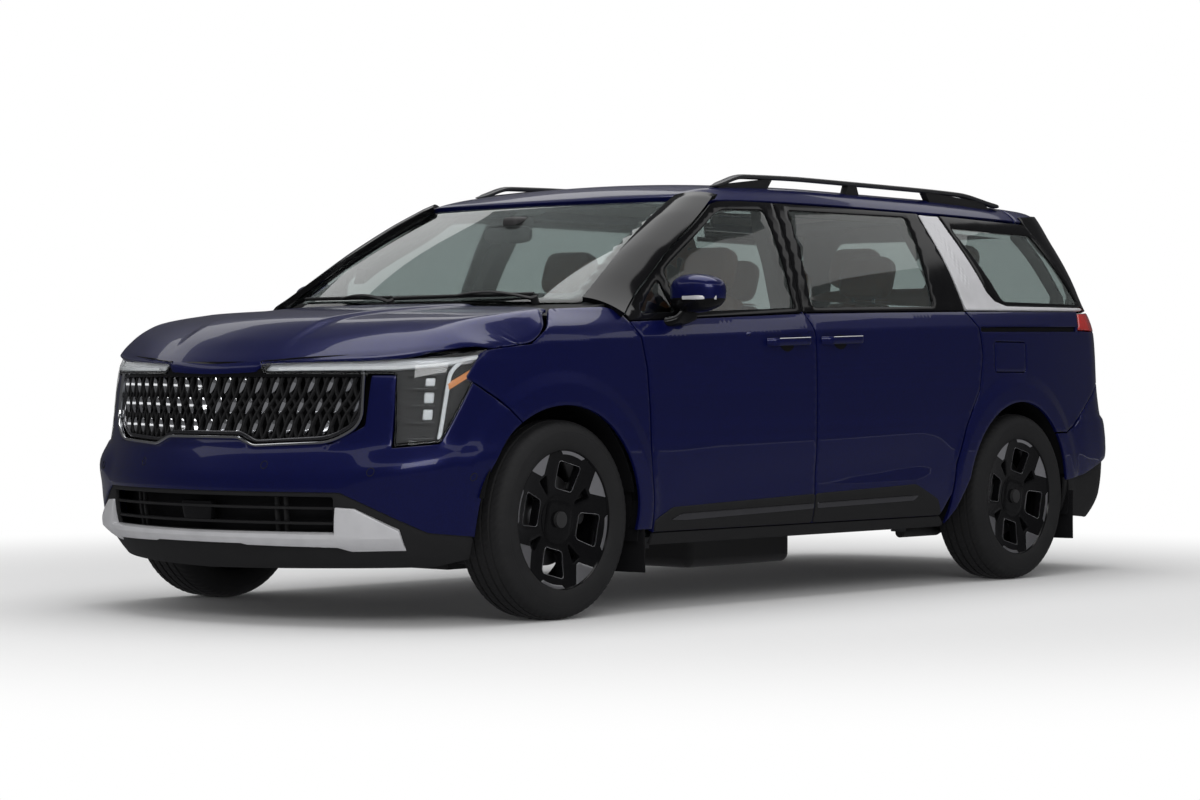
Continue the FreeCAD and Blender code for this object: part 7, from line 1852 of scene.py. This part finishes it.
def spoke(angle, width):
    d = math.cos(angle) * np.array([1, 0, 0]) + math.sin(angle) * wheel_high
    path = [centre + d * r for r in (0.035, 0.10, 0.180)]
    return sweep(path, round_profile(width, 0.016, 4, 12), axis, widths=[1.5, 1.0, 0.8])


boss, boss_faces = soft_box((0, 0, 0), (0.135, 0.115, 0.052), 3.5, 24, 36)
boss = centre + boss[:, :1] * (1, 0, 0) + boss[:, 1:2] * wheel_high + boss[:, 2:] * axis
spokes = merged([spoke(a, 0.042) for a in (0, math.pi, -math.pi / 2)] + [(boss, flipped(boss_faces))])
piece("steering_rim", *wheel_rim, cabin_dark, "steering_wheel_body", "black_plastic",
      ("steering_wheel",))
piece("steering_spokes", *spokes, cabin_dark, "steering_wheel_body", "black_plastic")


# %% [markdown]
# Some pieces of the construction model are already as they should look, because they are plain,
# dark or half hidden. They keep their shape and only take a finish, on their own mesh.

# %% Finishes of the construction pieces that stay
frame_trim = finish("frame_trim", (0.060, 0.058, 0.056), 0.7, scale=700, depth=0.0003)
stay = {
    "floor_pan": finish("floor_steel", (0.045, 0.046, 0.050), 0.62, metal=0.4, scale=120,
                        depth=0.0006),
    "side_frame_left": frame_trim, "side_frame_right": frame_trim, "dashboard": cabin_dark,
    "cowl": matte_black, "wheel_housings": soft_black, "engine_block": cast,
    "fuel_tank": finish("tank_plastic", (0.022, 0.022, 0.023), 0.5, scale=260, depth=0.0004),
    "exhaust": finish("exhaust_steel", (0.33, 0.31, 0.29), 0.38, metal=1.0, scale=60, depth=0.0003,
                      uneven=0.14),
    "front_subframe": cast, "rear_axle": cast, "knuckle_left": cast, "knuckle_right": cast}
for name, material in stay.items():
    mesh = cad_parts[name].data
    if len(mesh.materials) == 0:
        mesh.materials.append(material)
    for k in range(len(mesh.materials)):
        mesh.materials[k] = material

# %% [markdown]
# An open door shows its inner side, so each one needs a core as thick as a door and a dark trim
# card on it. Both take the outline of the door's skin, moved in a little. The lids get a liner of
# their own in the same way, and the tailgate the two arms that it hangs on.


# %% Headlining, and the inner sides of doors and lids
def under_roof(x, y):
    return np.stack([x, y, roof_height(x, y) - 0.062], -1)


lining = panel(under_roof, [(-0.60, -0.30), (0.60, -0.30), (0.60, 1.70), (-0.60, 1.70)],
               thickness=0.006, outward=-1, step=0.08, roll=0.002)
piece("headlining", *lining, light_trim, "body_shell", "black_plastic")


def card(outline, near, deep, inset=0.032):
    """A slab behind a door's skin, a little smaller than it, from near to near + deep."""
    shrunk = moved_in(turned_left(divided(soften(outline, 0.03), 0.03)), inset)
    return panel(set_in(flank, near), shrunk, thickness=deep, roll=0.006, step=0.05, edge_step=0.03)


pair("front_door_core", card(front_low, 0.016, 0.034), blue, DOORS, "blue_paint")
pair("front_door_card", card(front_low, 0.050, 0.016, 0.050), cabin_dark, DOORS, "black_plastic")
pair("sliding_door_card", card(sliding_low, 0.020, 0.040), cabin_dark, SHELL, "black_plastic")
gate_core = tail_panel(tail_x([(0.0001, 0.745), (0.790, 0.745), (0.800, 0.870), (0.800, 1.175),
                               (0.0001, 1.175)]), 0.034, thickness=0.026, step=0.05, roll=0.006)
piece("tailgate_card", *gate_core, cabin_dark, "tailgate_body", "black_plastic")
under = (hood_grid()[6:-6:2, 8:-4:2] - (0, 0, 0.020)) * (0.985, 1, 1)
piece("hood_liner", *shell_grid(under, 0.012, 0.002), soft_black, "hood_body", "black_plastic", (),
      40)
arm_points = np.array([(0.449, 1.802, 1.678), (0.449, 1.840, 1.680), (0.449, 1.900, 1.676)])
arm = sweep(arm_points, round_profile(0.020, 0.012, 3, 12), (0, 0, 1))
pair("gate_arm", arm, cast, ("tailgate_body", "tailgate_body"), "chassis_iron")
inner_mirror = merged([soft_box((0, -0.860, 1.462), (0.245, 0.040, 0.072), 3.6, 20, 36),
                       soft_box((0, -0.800, 1.512), (0.090, 0.130, 0.056), 3.6, 20, 28),
                       soft_box((0, -0.838, 1.490), (0.030, 0.030, 0.060), 2.4, 12, 16)])
piece("inner_mirror", *inner_mirror, cabin_dark, "body_shell", "black_plastic")
print("cabin done")


# %% [markdown]
# ## Studio
# Dark gloss paint shows what is around it more than its own colour. So the studio is a white room
# with a pale floor and two soft lights, and round, over and under the vehicle lie grey cloths that
# only reflections see. They keep the flanks deep blue, and the bright strip between the walls and
# the ceiling draws the line along the shoulders. The floor turns to pure white with the distance.

# %% Floor and backdrop
def plane(name, corners, material):
    mesh = bpy.data.meshes.new(name)
    mesh.from_pydata(corners, [], [(0, 1, 2, 3)])
    obj = bpy.data.objects.new(name, mesh)
    bpy.context.scene.collection.objects.link(obj)
    mesh.materials.append(material)
    return obj


def floor_material():
    """A pale floor near the vehicle; further off, rays from the camera and from reflections
    meet plain white, so no horizon shows and the shadow stays."""
    material = finish("studio_floor", (0.80, 0.80, 0.80), 0.60, tint=(0.815, 0.815, 0.815),
                      Specular_IOR_Level=0.1)
    nodes = material.node_tree.nodes
    place, length = nodes.new("ShaderNodeTexCoord"), nodes.new("ShaderNodeVectorMath")
    far, path = nodes.new("ShaderNodeMapRange"), nodes.new("ShaderNodeLightPath")
    glow, mix = nodes.new("ShaderNodeEmission"), nodes.new("ShaderNodeMixShader")
    seen, both, share = (nodes.new("ShaderNodeMath") for k in range(3))
    length.operation, share.operation = "LENGTH", "MULTIPLY"
    seen.operation = both.operation = "MAXIMUM"
    far.interpolation_type = "SMOOTHSTEP"
    far.inputs["From Min"].default_value, far.inputs["From Max"].default_value = 2.4, 5.5
    join(material.node_tree, (place, "Object", length, 0), (length, "Value", far, "Value"),
         (path, "Is Camera Ray", seen, 0), (path, "Is Glossy Ray", seen, 1), (seen, 0, both, 0),
         (path, "Is Transmission Ray", both, 1), (both, 0, share, 0), (far, "Result", share, 1),
         (share, 0, mix, 0), (nodes["Principled BSDF"], 0, mix, 1), (glow, 0, mix, 2),
         (mix, 0, nodes["Material Output"], "Surface"))
    return material


plane("floor", [(-60, -60, 0), (60, -60, 0), (60, 60, 0), (-60, 60, 0)], floor_material())


# %% Cloths that only reflections see
def cloth(name, corners, level):
    """A plane of one grey that the camera, the light and the glass pass through."""
    material, tree, _, _ = blank(name)
    glow = tree.nodes.new("ShaderNodeEmission")
    glow.inputs["Color"].default_value = (level, level, level * 1.04, 1)
    join(tree, (glow, 0, tree.nodes["Material Output"], "Surface"))
    obj = plane(name, corners, material)
    obj.visible_camera = obj.visible_diffuse = obj.visible_transmission = obj.visible_shadow = False


WALL, TOP, LEVEL = 12.0, 7.4, 0.07
for number, (dx, dy) in enumerate(((1, 0), (0, 1), (-1, 0), (0, -1))):
    middle, across = np.array([dx, dy]) * WALL, np.array([-dy, dx]) * WALL
    a, b = middle - across, middle + across
    cloth("wall_cloth_%d" % number, [(*a, 0.02), (*b, 0.02), (*b, TOP), (*a, TOP)], LEVEL)
cloth("ceiling_cloth", [(-11, -11, 9.0), (11, -11, 9.0), (11, 11, 9.0), (-11, 11, 9.0)], 0.09)
cloth("floor_cloth", [(-WALL, -WALL, 0.004), (WALL, -WALL, 0.004), (WALL, WALL, 0.004),
                      (-WALL, WALL, 0.004)], 0.16)


# %% World
world = bpy.data.worlds.new("studio")
bpy.context.scene.world = world
world.use_nodes = True
nodes = world.node_tree.nodes
path, mix = nodes.new("ShaderNodeLightPath"), nodes.new("ShaderNodeMix")
first, second = nodes.new("ShaderNodeMath"), nodes.new("ShaderNodeMath")
first.operation = second.operation = "MAXIMUM"
mix.inputs["A"].default_value, mix.inputs["B"].default_value = 0.55, 1.0
join(world.node_tree, (path, "Is Camera Ray", first, 0), (path, "Is Glossy Ray", first, 1),
     (first, 0, second, 0), (path, "Is Transmission Ray", second, 1), (second, 0, mix, "Factor"),
     (mix, "Result", nodes["Background"], "Strength"))
nodes["Background"].inputs["Color"].default_value = (1, 1, 1, 1)


# %% Lights
def area(name, place, target, size, power):
    light = bpy.data.lights.new(name, "AREA")
    light.shape, light.size, light.size_y, light.energy = "RECTANGLE", size[0], size[1], power
    obj = bpy.data.objects.new(name, light)
    bpy.context.scene.collection.objects.link(obj)
    obj.location = place
    direction = Vector(target) - Vector(place)
    obj.rotation_euler = direction.to_track_quat("-Z", "Y").to_euler()
    return obj


area("overhead", (0, 0, 6.0), (0, 0, 0), (5, 7), 260)
area("key", (6.5, -6.5, 4.5), (0, -0.5, 0.8), (5, 2.5), 150)

# %% [markdown]
# The camera stands low, at the height of the door handles, and far away, as car pictures are
# taken, so that the body's lines stay almost parallel.

# %% Camera
CAMERA_PLACE = (8.1146, -9.9471, 0.8703)
FOCAL_PIXELS, PHOTO_PIXELS, SENSOR = 3003.58, 1200, 36.0
yaw, pitch, roll = math.radians(40.020), math.radians(0.350), math.radians(0.115)
forward = Vector((-math.sin(yaw) * math.cos(pitch), math.cos(yaw) * math.cos(pitch),
                  -math.sin(pitch)))
right = Vector((math.cos(yaw), math.sin(yaw), 0))
above = right.cross(forward)
right, above = (right * math.cos(roll) + above * math.sin(roll),
                above * math.cos(roll) - right * math.sin(roll))
camera = bpy.data.objects.new("camera", bpy.data.cameras.new("camera"))
bpy.context.scene.collection.objects.link(camera)
rows = [(right[k], above[k], -forward[k], CAMERA_PLACE[k]) for k in range(3)]
camera.matrix_world = Matrix((*rows, (0, 0, 0, 1)))
camera.data.sensor_width = SENSOR
camera.data.lens = FOCAL_PIXELS / PHOTO_PIXELS * SENSOR
camera.data.clip_end = 200
bpy.context.scene.camera = camera
bpy.context.scene.view_settings.view_transform = "Standard"
